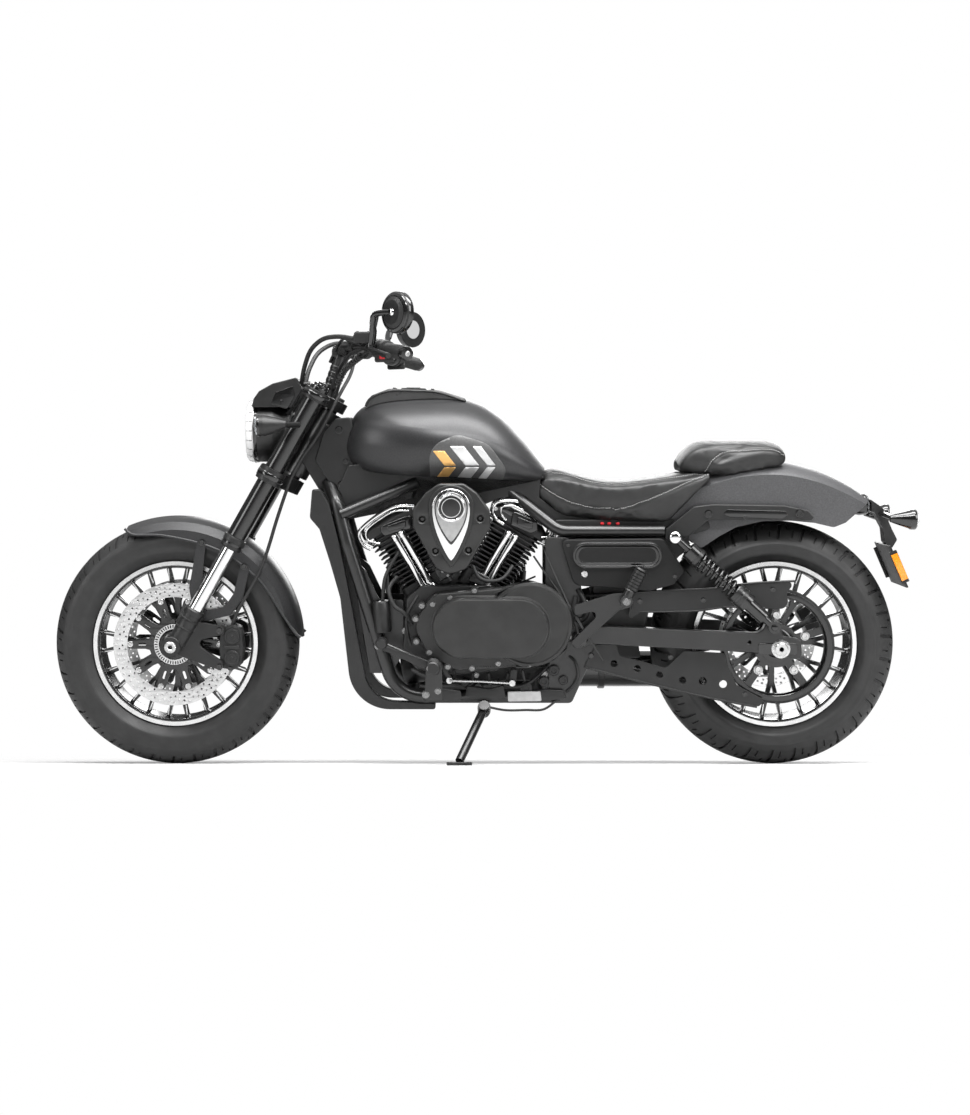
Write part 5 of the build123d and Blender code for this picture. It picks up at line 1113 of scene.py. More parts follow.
def add_bar():
    """Riser caps and ribs, grips, bar ends, switch blocks and their buttons."""
    ribs = bmesh.new()
    rubber = bmesh.new()
    weights = bmesh.new()
    blocks = bmesh.new()
    rows = []
    screws = []
    for side in SIDES:
        foot = fork_point(760, side * 34, -20)
        top = Vector((-365, side * 34, 1082))
        up = (top - foot).normalized()
        length = (top - foot).length
        rib = (length - 52) / 4 - 6
        profile = [(13, 14), *ribbed(22, length - 52, 4, (
            (16.6, 0), (17.2, 1.6), (17.2, rib - 1.6), (16.6, rib), (16.0, rib + 1), (16.0, rib + 5),
        )), (17.2, length - 26), (17.2, length - 8), (13, length - 8)]
        lathe(ribs, profile, toward(foot, up), 32, True)
        side_plate(ribs, ((-390, 1072, 8), (-390, 1100, 12), (-340, 1100, 12), (-340, 1072, 8)), side, 19, 49, 3)
        for x in (-382, -348):
            for y in (26, 42):
                rows.append(((x, side * y, 1099.5), (0, 0, 1), (1, 0, 0), (4.6,) * 3))
        start, way = grip_at(0.16, side)
        end, _ = grip_at(1.0, side)
        length = (end - start).length
        rib = (length - 14) / GRIP_RIBS
        profile = [(16.6, -3), (23, -3), (23.5, 0), (23, 3), (17.6, 4.5), *ribbed(6, length - 14, GRIP_RIBS, (
            (17.4, 0), (18.3, 1), (18.3, rib - 2.6), (17.4, rib - 1.6),
        )), (18.6, length - 5), (18.2, length - 1), (15, length)]
        lathe(rubber, profile, toward(start, way), 48, True)
        lathe(weights, (
            (0, 0), (15, 0), (17.4, 1.5), (17.4, 15), (15.4, 19), (7, 20), (6, 17), (0, 17),
        ), toward(end, way), 48)
        screws.append((end + way * 19, way, (0, 0, 1), (5.4,) * 3))
        at, way = grip_at(0.0, side)
        lathe(blocks, (
            (14, -34), (23, -34), (24.6, -31), (24.6, -16), (22, -14), (22, -11), (24.6, -9), (24.6, 15), (22, 18),
            (14, 18),
        ), toward(at, way), 48, True)
        for block, inner, outer, edge in SWITCH_BLOCKS:
            side_plate(blocks, block, side, inner, outer, edge)
        for x in (-307, -279):
            for across in (247, 280):
                rows.append(((x, side * across, 1127.4), (0, 0, 1), (1, 0, 0), (3.2,) * 3))
    add_piece("riser_ribs", ribs, "steering", "frame black")
    add_piece("grip_rubbers", rubber, "steering", "rubber", replaced=("grips",))
    add_piece("bar_end_weights", weights, "steering", "gloss black")
    add_piece("switch_blocks", blocks, "steering", "cover black")
    copies("bar_bolts", template(BOLT_ROWS), rows, "steering", "gloss black")
    copies("bar_end_screws", template(BOLT_ROWS), screws, "steering", "steel")
    cables = bmesh.new()
    for points, radius in BAR_CABLES:
        pipe(cables, smooth_path(points, 12), radius, 12)
    coil = []
    line = smooth_path(SPIRAL_CABLE, 40)
    for index, (before, after) in enumerate(zip(line, line[1:])):
        ahead = (after - before).normalized()
        side = ahead.cross(Vector((0, 1, 0))).normalized()
        angle = 2 * pi * index / 8
        coil.append(before + SPIRAL_RADIUS * (side * cos(angle) + ahead.cross(side) * sin(angle)))
    pipe(cables, coil, 2.2, 8)
    for side in SIDES:
        for x, y, z, radius, length in ((-346, 118, 1092, 19, 26), (-322, 160, 1096, 21, 22)):
            at = toward((x, side * y, z), (0.5, side * 0.85, 0))
            lathe(cables, ((13, 0), (radius, 0), (radius, length), (13, length)), at, 32, True)
    add_piece("bar_cables", cables, "steering", "rubber")
    builder = bmesh.new()
    plate(builder, ((-250, 1060, 3), (-250, 1074, 3), (-234, 1074, 3), (-234, 1060, 3)), 290, 302, 1.5)
    plate(builder, ((-250, 1058, 3), (-250, 1068, 3), (-236, 1068, 3), (-236, 1058, 3)), -326, -318, 1.5)
    add_piece("red_switches", builder, "steering", "red")


MIRROR_CENTRE = Vector((-200, -412, 1168))
MIRROR_TURN = radians(48)
MIRROR_ARM = ((-270, 318, 1092), (-264, 346, 1124), (-262, 372, 1150), (-254, 392, 1166))


def add_mirrors():
    """Dished mirror heads with a ball joint, their glass and flat arms."""
    shells = bmesh.new()
    joints = bmesh.new()
    glass = bmesh.new()
    for side in SIDES:
        centre = Vector((MIRROR_CENTRE.x, -side * MIRROR_CENTRE.y, MIRROR_CENTRE.z))
        facing = Vector((sin(MIRROR_TURN), -side * cos(MIRROR_TURN), 0))
        at = toward(centre, facing)
        lathe(shells, (
            (0, -9), (14, -9), (24, -11), (34, -15), (42, -16), (48, -12.5), (51.3, -5), (51.5, 3), (50.8, 8),
            (49.4, 9.4), (48.6, 7.8), (48.6, 4), (0, 4),
        ), at, 96)
        lathe(glass, ((0, 3), (48.4, 3), (48.4, 7.4), (47, 8.0), (22, 9.2), (0, 9.6)), at, 96)
        lathe(joints, (
            (0, -8), (15.5, -8), (15.5, -11), (12, -12.4), (7.4, -14), (9.4, -17), (9.6, -20), (7.6, -23.6),
            (4, -25.4), (0, -26),
        ), at, 40)
        arm = [Vector((x, side * y, z)) for x, y, z in MIRROR_ARM] + [centre - facing * 24]
        pipe(shells, smooth_path(arm, 6), [10] * 8 + [9] * 8 + [8] * 9, 20)
        lathe(shells, ((0, -6), (13, -6), (13, 6), (11, 9), (0, 9)), toward(arm[0], (0.1, side * 0.2, 1)), 32)
    add_piece("mirror_shells", shells, "steering", "gloss black", replaced=("mirrors",))
    add_piece("mirror_joints", joints, "steering", "chrome")
    # the mirror glass glows white: a painted reflection
    add_piece("mirror_glass", glass, "steering", "mirror")


# ------------------------------------------------------------------ seats, tank and guards
CLOTH_FRAMES = 20
SEAT_VOXEL = 0.0058             # metres
SEAM_DEPTH = 2.6
STITCH_ASIDE = 3.4              # from a seam to its row of stitches
STITCH_SIZE = (2.5, 0.85, 0.7)  # half lengths along, across and out of the cover


def swollen(mesh, voxel):
    """A cover stretched over foam: a short pressure simulation with its moves capped, in metres."""
    mesh = settled(
        mesh,
        ("REMESH", {"mode": "VOXEL", "voxel_size": voxel}),
        ("SMOOTH", {"factor": 0.6, "iterations": 9}),
    )
    holder = bpy.data.objects.new("work", mesh)
    bpy.context.scene.collection.objects.link(holder)
    cloth = holder.modifiers.new("cloth", "CLOTH")
    cloth.settings.quality = 6
    cloth.settings.mass = 0.25
    cloth.settings.tension_stiffness = 24
    cloth.settings.compression_stiffness = 24
    cloth.settings.bending_stiffness = 1.5
    cloth.settings.use_pressure = True
    cloth.settings.uniform_pressure_force = sizes().seat_pressure
    cloth.settings.effector_weights.gravity = 0
    cloth.collision_settings.use_collision = False
    cloth.point_cache.frame_start = 1
    cloth.point_cache.frame_end = CLOTH_FRAMES
    scene = bpy.context.scene
    for step in range(1, CLOTH_FRAMES + 1):
        scene.frame_set(step)
    graph = bpy.context.evaluated_depsgraph_get()
    blown = holder.evaluated_get(graph).to_mesh()
    ends = [vert.co.copy() for vert in blown.vertices]
    holder.evaluated_get(graph).to_mesh_clear()
    cap = sizes().seat_swell
    for vert, end in zip(mesh.vertices, ends):
        move = end - vert.co
        if move.length > cap:
            move *= cap / move.length
        vert.co += move
    bpy.data.objects.remove(holder)
    scene.frame_set(1)
    return mesh


def surface_of(mesh):
    """Search tree of a mesh's faces."""
    builder = bmesh.new()
    builder.from_mesh(mesh)
    surface = BVHTree.FromBMesh(builder)
    builder.free()
    return surface


def on_surface(tree, path, pitch):
    """Spots each pitch along a path, dropped on a surface: (spot, normal, heading)."""
    spots = []
    left = 0.0
    for start, end in zip(path, path[1:]):
        run = (end - start).length
        while left <= run:
            point = start + (end - start) * (left / run)
            spot, normal, _, _ = tree.find_nearest(point)
            spots.append((spot, normal, (end - start).normalized()))
            left += pitch
        left -= run
    return spots


def sewn_seat(node, seams):
    """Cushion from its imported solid: swollen, pressed in along its seams, with welts and stitches."""
    mesh = swollen(welded(node), SEAT_VOXEL)
    mesh.transform(UPRIGHT)
    mesh = settled(mesh, ("SUBSURF", {"levels": 1, "render_levels": 1}))
    surface = surface_of(mesh)
    lines = []
    for seam in seams:
        for mirror in (1, -1):
            path = smooth_path([(x, mirror * y, z) for x, y, z in seam], 10)
            lines.append([spot for spot, _, _ in on_surface(surface, path, 4.0)])
    points = [point for line in lines for point in line]
    near = BVHTree.FromPolygons(
        [p for point in points for p in (point, point + Vector((0.01, 0, 0)), point + Vector((0, 0.01, 0)))],
        [(3 * index, 3 * index + 1, 3 * index + 2) for index in range(len(points))],
    )
    normals = [vert.normal.copy() for vert in mesh.vertices]
    reach = sizes().seam_width * 1000
    for vert, normal in zip(mesh.vertices, normals):
        found = near.find_nearest(vert.co, reach)
        if found[0] is not None:
            vert.co -= normal * SEAM_DEPTH * (1 - found[3] / reach) ** 2
    surface = surface_of(mesh)
    cushion = add_piece(node + "_cover", mesh, "root", "vinyl", replaced=(node,), sharp=60)
    rows = []
    welts = bmesh.new()
    for line in lines:
        track = on_surface(surface, line, sizes().stitch_pitch * 1000)
        for spot, normal, heading in track:
            side = normal.cross(heading).normalized()
            place, facing, _, _ = surface.find_nearest(spot + side * STITCH_ASIDE)
            rows.append((place + facing * 0.3, facing, heading, STITCH_SIZE))
        pipe(welts, [spot - normal * 0.1 for spot, normal, _ in track], 1.3, 8)
    ball = bmesh.new()
    bmesh.ops.create_uvsphere(ball, u_segments=6, v_segments=5, radius=1)
    copies(node + "_stitches", mesh_from(ball, "template"), rows, "root", "thread", sharp=80)
    add_piece(node + "_welts", welts, "root", "vinyl")


RIDER_SEAMS = (
    (
        (146, -66, 744), (200, -97, 706), (268, -124, 676), (342, -140, 668), (414, -145, 690), (488, -142, 722),
        (560, -128, 756), (596, -116, 778),
    ),
    (
        (186, -62, 780), (250, -84, 764), (340, -104, 748), (430, -112, 750), (510, -106, 766), (588, -92, 786),
    ),
)
PILLION_SEAMS = (
    (
        (-182, -92, 776), (-160, -98, 806), (-120, -102, 826), (-60, -104, 830), (0, -96, 828), (26, -84, 812),
    ),
)


def add_seats():
    sewn_seat("rider_seat", RIDER_SEAMS)
    seams = [[(REAR_AXLE_X + x, y, z) for x, y, z in seam] for seam in PILLION_SEAMS]
    sewn_seat("pillion_seat", seams)


def wrapped(node, outlines, lift, side):
    """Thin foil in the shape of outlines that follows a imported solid's side, lifted off it."""
    shell = welded(node)
    shell.transform(UPRIGHT)
    normals = [vert.normal.copy() for vert in shell.vertices]
    for vert, normal in zip(shell.vertices, normals):
        vert.co += normal * lift
    cutter = cut_plate(outlines, *sorted((side * FOIL_CUT[0], side * FOIL_CUT[1])))
    builder = bmesh.new()
    builder.from_mesh(cutter)
    bmesh.ops.remove_doubles(builder, verts=builder.verts, dist=0.001)
    bmesh.ops.recalc_face_normals(builder, faces=builder.faces)
    builder.to_mesh(cutter)
    builder.free()
    tool = bpy.data.objects.new("cutter", cutter)
    bpy.context.scene.collection.objects.link(tool)
    result = settled(shell, ("BOOLEAN", {"operation": "INTERSECT", "solver": "EXACT", "object": tool}))
    bpy.data.objects.remove(tool)
    return result


FOIL_CUT = (60, 400)            # the cutter's faces, from the mid-plane
# tank graphic: a round-cornered patch with three plain chevrons, each of two slanted bars
PATCH = ((-128, 742, 16), (-132, 838, 60), (-60, 872, 50), (22, 846, 70), (70, 778, 40), (52, 742, 16))
GOLD_BARS = (
    ((-122, 828, 1), (-92, 828, 1), (-62, 790, 1), (-92, 790, 1)),
    ((-92, 786, 1), (-62, 786, 1), (-92, 748, 1), (-122, 748, 1)),
)
SILVER_BARS = (
    ((-78, 840, 1), (-42, 840, 1), (-2, 790, 1), (-38, 790, 1)),
    ((-38, 786, 1), (-2, 786, 1), (-32, 748, 1), (-68, 748, 1)),
    ((-20, 840, 1), (2, 840, 1), (40, 790, 1), (18, 790, 1)),
    ((18, 786, 1), (40, 786, 1), (10, 748, 1), (-12, 748, 1)),
)


def add_tank():
    """Patch, generic graphic, seam and console parts of the fuel tank."""
    for side in SIDES:
        end = "left" if side < 0 else "right"
        mesh = wrapped("fuel_tank", [rounded(PATCH, 10)], 0.35, side)
        add_piece("tank_patch_" + end, mesh, "root", "patch grey", sharp=60)
        for name, bars, finish in (("gold", GOLD_BARS, "foil gold"), ("silver", SILVER_BARS, "foil silver")):
            builder = bmesh.new()
            for bar in bars:
                mesh = wrapped("fuel_tank", [rounded(bar, 1)], 0.7, side)
                builder.from_mesh(mesh)
                bpy.data.meshes.remove(mesh)
            add_piece("tank_%s_%s" % (name, end), builder, "root", finish, sharp=60)
    builder = bmesh.new()
    top = toward((-176, 0, 986.5), (0.02, 0, 1), (1, 0, 0))
    lathe(builder, (
        (0, -6), (36, -6), (36, 3), (33.5, 5.4), (29, 5.4), (27.5, 3.6), (25.5, 3.6), (24, 5.0), (0, 5.6),
    ), top, 64)
    plate(builder, rounded(((-196, 988, 4), (-196, 994.5, 3), (-158, 994, 3), (-158, 987, 4))), -3.5, 3.5, 1.2)
    add_piece("filler_cap", builder, "root", "gloss black")
    builder = bmesh.new()
    for y in (-1, 1):
        pipe(builder, smooth_path((
            (-301, y * 51, 944), (-286, y * 51.5, 966), (-239, y * 51.5, 984), (-170, y * 51.5, 984),
            (-110, y * 51.5, 980), (-42, y * 51, 958),
        ), 6), 3.2, 10)
    add_piece("console_beads", builder, "root", "cover black")
    rows = []
    for x, z in ((-226, 990.6), (-126, 987.6)):
        for y in (-38, 38):
            rows.append(((x, y, z), (0.05, 0, 1), (1, 0, 0), (3.6,) * 3))
    copies("console_screws", template(BOLT_ROWS), rows, "root", "gloss black")


FENDER_EDGE = (                 # angle from the rear, radius past the tyre's
    (113.0, 6), (110.2, -17), (97.3, -35), (80.4, -49), (67, -50.5), (53.8, -50), (34.9, -43), (17.1, -31),
    (6.4, -8), (3.2, 8),
)
FENDER_HALF = 73.5


def add_front_guard():
    """Rolled edge of the front fender, and bolts of its brackets."""
    builder = bmesh.new()
    for side in SIDES:
        path = []
        for degrees_up, past in FENDER_EDGE:
            angle = radians(degrees_up)
            radius = TYRE_RADIUS + past + 2
            path.append((
                FRONT_AXLE.x + radius * cos(angle), side * (FENDER_HALF - 0.6), FRONT_AXLE.z + radius * sin(angle),
            ))
        pipe(builder, smooth_path(path, 6), 3.6, 12)
    add_piece("front_fender_edge", builder, "steering", "graphite")
    rows = []
    for side in SIDES:
        for degrees_up, past in ((74.6, -38), (48.2, -41)):
            angle = radians(degrees_up)
            radius = TYRE_RADIUS + past - 6
            rows.append((
                FRONT_AXLE.x + radius * cos(angle), side * 78, FRONT_AXLE.z + radius * sin(angle), 7.0, side,
            ))
    bolts("front_fender_bolts", rows, "steering", "gloss black", form=NUT_ROWS, steps=6)


# ------------------------------------------------------------------ engine
CRANK = (-66.0, 350.0)
VEE_HALF_ANGLE = radians(30)


def vee_point(side, along, across=0.0, y=0.0):
    """Point by a cylinder: side -1 is the front one; across points to the outside."""
    x = CRANK[0] + side * (along * sin(VEE_HALF_ANGLE) + across * cos(VEE_HALF_ANGLE))
    return Vector((x, y, CRANK[1] + along * cos(VEE_HALF_ANGLE) - across * sin(VEE_HALF_ANGLE)))


# bright trims of the two rocker covers: front, then rear, seen from the left
OUTER_TRIMS = (
    ((-172, 684), (-222, 682), (-271, 656), (-308, 626), (-317, 608), (-306, 583), (-285, 571)),
    (
        (61, 636), (41, 650), (32, 672), (46, 694), (96, 696), (135, 675), (184, 643), (200, 619), (198, 598),
        (174, 583), (149, 593),
    ),
)
INNER_TRIMS = (
    ((-186, 672), (-225, 670), (-261, 650), (-292, 626), (-298, 608), (-289, 593), (-261, 586)),
    (
        (68, 647), (55, 661), (55, 679), (68, 684), (92, 682), (128, 661), (170, 633), (182, 619), (177, 605),
        (159, 602),
    ),
)
ROCKER_CAPS = (
    ((-257, 633, 6), (-186, 661, 8), (-176, 651, 6), (-179, 626, 10), (-250, 605, 10), (-260, 619, 6)),
    ((85, 672, 8), (149, 644, 8), (149, 619, 8), (131, 612, 8), (78, 636, 10)),
)
DROP_SIDE = (                   # share of the way down, share of the radius
    (0.13, 0.985), (0.25, 0.935), (0.37, 0.86), (0.5, 0.745), (0.63, 0.60), (0.75, 0.45), (0.85, 0.305), (0.93, 0.18),
    (0.975, 0.085),
)


def drop_outline(radius, tip, top=684.0, x=-74.0):
    """Teardrop: a round top drawn down to a point."""
    outline = []
    for step in range(33):
        angle = pi * step / 32
        outline.append((x + radius * cos(angle), top + radius * sin(angle)))
    for share, width in DROP_SIDE:
        outline.append((x - radius * width, top - (top - tip) * share))
    outline.append((x, tip))
    for share, width in DROP_SIDE[::-1]:
        outline.append((x + radius * width, top - (top - tip) * share))
    return outline


SHIELD = (
    (-106, 746, 24), (-42, 746, 24), (-8, 722, 14), (24, 678, 22), (27, 636, 26), (-34, 528, 26),
    (-66, 516, 20), (-84, 516, 20), (-112, 528, 26), (-172, 636, 26), (-173, 680, 22), (-140, 722, 14),
)
SHIELD_HOLES = ((-148, 654), (0, 656), (-114, 573), (-30, 575))


def shrunk(rows, middle, shares, radius=None):
    """Outline rows drawn in toward a middle, with their own corner radii or one for all."""
    return [
        (middle[0] + (x - middle[0]) * shares[0], middle[1] + (z - middle[1]) * shares[1], radius or corner)
        for x, z, corner in rows
    ]


def add_air_cleaner():
    """Shield cover with a bright teardrop and a blank round badge."""
    builder = bmesh.new()
    holes = [circle(hole, 7.5, 20) for hole in SHIELD_HOLES]
    plate(builder, rounded(SHIELD, 8), -195, -164, 6, holes)
    plate(builder, shrunk(SHIELD, (-73.5, 631), (0.93, 0.93)), -166, -150, 2)
    plate(builder, drop_outline(58, 532), -199, -190, 3.4)
    at = toward((-70, -92, 640), LEFT)
    lathe(builder, ((0, -150), (27, -150), (27, 60), (0, 60)), at, 40)
    plate(builder, ((-128, 706, 20), (-20, 706, 20), (-12, 640, 20), (-73, 548, 20), (-134, 640, 20)), -150, -92, 3)
    add_piece("air_cleaner_cover", builder, "root", "engine cover", replaced=("air_cleaner",))
    builder = bmesh.new()
    plate(builder, drop_outline(49, 549), -205.5, -197, 3.5)
    add_piece("air_cleaner_drop", builder, "root", "chrome")
    builder = bmesh.new()
    plate(builder, drop_outline(42.5, 590), -206.6, -203, 0.8)
    add_piece("air_cleaner_drop_line", builder, "root", "gloss black")
    builder = bmesh.new()
    plate(builder, drop_outline(39.5, 598), -207.6, -204, 1.0)
    add_piece("air_cleaner_drop_face", builder, "root", "satin steel")
    badge = toward((-74, -207, 684), LEFT)
    builder = bmesh.new()
    lathe(builder, ((31, -2), (35.5, -2), (35.8, 1.4), (34.4, 2.4), (32.2, 2.4), (31, 1.4)), badge, 96, True)
    lathe(builder, ((23.0, 0), (25, 0), (25, 2.1), (23.0, 2.1)), badge, 96, True)
    add_piece("badge_rings", builder, "root", "chrome")
    builder = bmesh.new()
    lathe(builder, ((0, -2), (32, -2), (32, 1.0), (24, 1.3), (14, 1.8), (0, 2.0)), badge, 96)
    add_piece("badge_face", builder, "root", "gloss black")
    rows = [(x, -178, z, 5.0) for x, z in SHIELD_HOLES]
    bolts("air_cleaner_screws", rows, "root", "gloss black")


def add_rockers():
    """Bright trims, dark end caps and bolts on both rocker covers."""
    trims = bmesh.new()
    caps = bmesh.new()
    rows = []
    for y in (-1, 1):
        for outer, inner, cap, side in zip(OUTER_TRIMS, INNER_TRIMS, ROCKER_CAPS, SIDES):
            for path, radius, depth in ((outer, sizes().trim_bar * 1000, 84), (inner, 3.0, 88)):
                pipe(trims, smooth_path([(x, y * depth, z) for x, z in path], 6), radius, 14)
            side_plate(caps, cap, y, 82, 96, 3)
            middle = [sum(column) / len(cap) for column in list(zip(*cap))[:2]]
            side_plate(caps, shrunk(cap, middle, (0.6, 0.55), 3), y, 92, 99, 2)
            for across, along in ((-72, 336), (80, 324)):
                spot = vee_point(side, along, across)
                rows.append((spot.x, y * 88, spot.z, 4.2, y))
    add_piece("rocker_trims", trims, "root", "chrome")
    add_piece("rocker_caps", caps, "root", "gloss black")
    bolts("rocker_bolts", rows, "root")
    top = []
    for side in SIDES:
        up = vee_point(side, 1) - vee_point(side, 0)
        for across, y in ((-44, -58), (-44, 58), (44, -58), (44, 58), (44, 0), (-44, 0)):
            top.append((vee_point(side, 355.5, across, y), up, (0, 1, 0), (4.6,) * 3))
    copies("rocker_top_bolts", template(BOLT_ROWS), top, "root", "steel")


def add_pushrods():
    """Ribbed bright tubes with collars, and the nuts at their feet."""
    builder = bmesh.new()
    rows = []
    for side in SIDES:
        for across in (-13, 8):
            foot = vee_point(side, 134, across, -96)
            top = vee_point(side, 304, across, -96)
            length = (top - foot).length
            lathe(builder, (
                (0, 0), (10.2, 0), (10.8, 2), (10.8, 12), (9.6, 13), (9.6, 20), (8.2, 22), (8.2, length * 0.5),
                (9.0, length * 0.5 + 1.5), (9.0, length - 18), (10.6, length - 17), (10.6, length - 5),
                (9.8, length - 4), (9.8, length), (0, length),
            ), toward(foot, top - foot), 28)
        nut = vee_point(side, 126, -2)
        rows.append((nut.x, -112, nut.z, 8.0))
    add_piece("pushrod_covers", builder, "root", "chrome", replaced=("pushrod_tubes",))
    bolts("pushrod_nuts", rows, "root", form=DOME_ROWS)


PRIMARY_FACE = -170.5           # across: the flange that the primary cover's bolts sit on
PRIMARY_BOLTS = (
    (-166, 398), (-164, 340), (-150, 432), (-122, 436), (-77, 452), (-15, 470), (46, 284), (-21, 272),
    (-83, 276), (-130, 312), (222, 420), (226, 352),
)


def add_primary():
    """Raised face, ribs, plug and bolts of the left engine cover."""
    builder = bmesh.new()
    plate(builder, slot((27, 378), 278, 133, 0, 20), -199.6, -188, 2.4)
    plate(builder, slot((27, 378), 258, 113, 0, 20), -201.4, -196, 1.4)
    for z in (416, 336):
        plate(builder, slot((26, z), 150, 10, 1 if z > 400 else 0.6, 8), -206.4, -198, 3.6)
    at = toward((-58, -201, 382), LEFT)
    lathe(builder, (
        (0, -4), (19, -4), (19, 2.0), (17.6, 3.4), (15.4, 3.4), (14.6, 1.0), (13.4, 1.0), (12.6, 3.0), (4.6, 3.4),
        (4.2, 1.0), (0, 1.0),
    ), at, 48)
    at = toward((127, -192, 386), LEFT)
    lathe(builder, ((96, 0), (106, 0), (104.5, 3.6), (100, 5.4), (96, 4.0)), at, 128, True)
    add_piece("primary_details", builder, "root", "engine cover")
    builder = bmesh.new()
    seam = ((-24, -201.6, 430), (-22, -201.8, 400), (-14, -201.8, 352), (2, -201.6, 326))
    pipe(builder, smooth_path(seam, 8), 0.9, 8)
    add_piece("primary_seam", builder, "root", "gloss black")
    rows = [(x, PRIMARY_FACE, z, 5.6) for x, z in PRIMARY_BOLTS]
    rows += [(51, -194, 448, 5.6), (127, -192, 284, 5.0), (-10, -131, 249, 5.6), (199, -150, 462, 5.6)]
    bolts("primary_bolts", rows, "root", "bolt grey")
    bosses = template(((0, -16), (11, -16), (9.6, 0), (0, 0)), 20)
    placed = [((x, PRIMARY_FACE, z), LEFT, (0, 0, 1), (1, 1, 1)) for x, z in PRIMARY_BOLTS]
    copies("primary_bosses", bosses, placed, "root", "engine cover")


def add_case_details():
    """Ribs, covers, sender and drain plug low on the engine, on both sides."""
    builder = bmesh.new()
    for x, z, angle in ((-66, 246, 8), (-20, 238, -6), (24, 238, 10), (70, 238, -8), (112, 246, 12)):
        plate(builder, slot((x, z), 36, 8, 90 + angle), -134, -120, 2)
    plate(builder, ((-120, 520, 6), (-76, 548, 6), (-58, 516, 6), (-102, 488, 6)), -116, -70, 4)
    plate(builder, ((-14, 520, 6), (22, 500, 6), (10, 474, 6), (-32, 490, 6)), -116, -70, 4)
    plate(builder, rounded(((-108, 512, 4), (-82, 528, 4), (-72, 510, 4), (-98, 494, 4))), -120, -112, 2)
    at = toward((58, 104, 386), RIGHT)
    lathe(builder, (
        (0, 0), (104, 0), (104, 22), (98, 30), (84, 32), (80, 28), (40, 28), (36, 34), (22, 36), (0, 36),
    ), at, 96)
    at = toward((-92, 104, 372), RIGHT)
    lathe(builder, ((0, 0), (66, 0), (66, 24), (58, 32), (30, 33), (26, 29), (0, 29)), at, 80)
    at = toward((-150, 30, 250), (-1, 0, -0.2))
    lathe(builder, ((0, -30), (38, -30), (38, 52), (34, 58), (0, 58)), at, 48)
    add_piece("case_details", builder, "root", "engine black")
    rows = []
    for index in range(8):
        angle = 2 * pi * index / 8
        rows.append((58 + 94 * cos(angle), 132, 386 + 94 * sin(angle), 5, 1))
    for index in range(5):
        angle = 2 * pi * index / 5 + 0.3
        rows.append((-92 + 58 * cos(angle), 133, 372 + 58 * sin(angle), 5, 1))
    rows += [(-98, -121, 516, 3, -1), (-84, -121, 506, 3, -1)]
    bolts("case_bolts", rows, "root", "bolt grey")
    fins = []
    count = sizes().radiator_fins
    for index in range(count):
        share = (index + 0.5) / count
        fins.append(((-411 + share * 69, 0, 650 - share * 300), (-0.21, 0, 0.97), (0, 1, 0), (160, 5, 1.3)))
    copies("radiator_fins", cube_template(), fins, "root", "radiator")


# ------------------------------------------------------------------ covers, shocks, controls and tail
SHOCK_TOP = (REAR_AXLE_X - 273, 608.0)
SHOCK_FOOT = (REAR_AXLE_X - 19, 378.0)
SHOCK_Y = 178.0
SPRING_RADIUS = 20.5
SPRING_FROM, SPRING_TO = 0.25, 0.61     # shares of the way from the top eye to the lower one


def add_shocks():
    """Coiled springs, eye bolts and preload rings of the rear shocks."""
    springs = bmesh.new()
    rings = bmesh.new()
    rows = []
    top = Vector((SHOCK_TOP[0], 0, SHOCK_TOP[1]))
    foot = Vector((SHOCK_FOOT[0], 0, SHOCK_FOOT[1]))
    run = foot - top
    for side in SIDES:
        y = side * SHOCK_Y
        at = toward((top.x, y, top.z), run)
        length = run.length
        coil = []
        turns = sizes().spring_turns
        steps = int(turns * 28)
        for index in range(steps + 1):
            share = index / steps
            angle = 2 * pi * turns * share
            along = length * (SPRING_FROM + (SPRING_TO - SPRING_FROM) * share)
            coil.append(at @ Vector((SPRING_RADIUS * cos(angle), SPRING_RADIUS * sin(angle), along)))
        pipe(springs, coil, sizes().spring_wire * 1000, 12)
        lathe(rings, (
            (9, length * 0.215), (25.5, length * 0.215), (25.5, length * 0.243), (18, length * 0.25),
            (9, length * 0.25),
        ), at, 48, True)
        low = length * 0.615
        lathe(rings, (
            (9, low - 4), (26, low - 4), (27, low), (27, low + 8), (24.6, low + 10), (24.6, low + 14), (27, low + 16),
            (27, low + 26), (24, low + 29), (9, low + 29),
        ), at, 48, True)
        rows.append((top.x, side * 190, top.z, 9.5, side))
        rows.append((foot.x, side * 190, foot.z, 9.0, side))
    add_piece("coil_springs", springs, "root", "gloss black", replaced=("shock_springs",))
    add_piece("shock_rings", rings, "root", "frame black")
    bolts("shock_bolts", rows, "root", "gloss black", form=DOME_ROWS)


OVALS = ((229, 65), (215, 52), (199, 38))   # length and width of a side cover's stepped ovals


def add_side_covers():
    """Stepped rims and the blank oval on each side cover, and the lock."""
    builder = bmesh.new()
    inset = bmesh.new()
    for side in SIDES:
        outer, middle, inner = (slot((352, 560), length, width, 0, 16) for length, width in OVALS)
        side_plate(builder, outer, side, 154, 159.4, 1.6, [middle])
        side_plate(builder, middle, side, 154, 157.6, 0.8, [inner])
        side_plate(inset, inner, side, 154, 156.4, 0.3)
    add_piece("side_cover_ovals", builder, "root", "gloss black")
    add_piece("side_cover_faces", inset, "root", "cover black")
    builder = bmesh.new()
    at = toward((268, -150, 511), LEFT)
    lathe(builder, ((0, -1), (8.5, -1), (8.5, 1.6), (7.2, 2.6), (4, 2.6), (3.4, 1.6), (0, 1.6)), at, 32)
    add_piece("side_cover_lock", builder, "root", "steel")
    rows = [(500, side * 150, 506, 4.2, side) for side in SIDES]
    rows += [(226, side * 150, 586, 4.2, side) for side in SIDES]
    bolts("side_cover_screws", rows, "root", "gloss black")


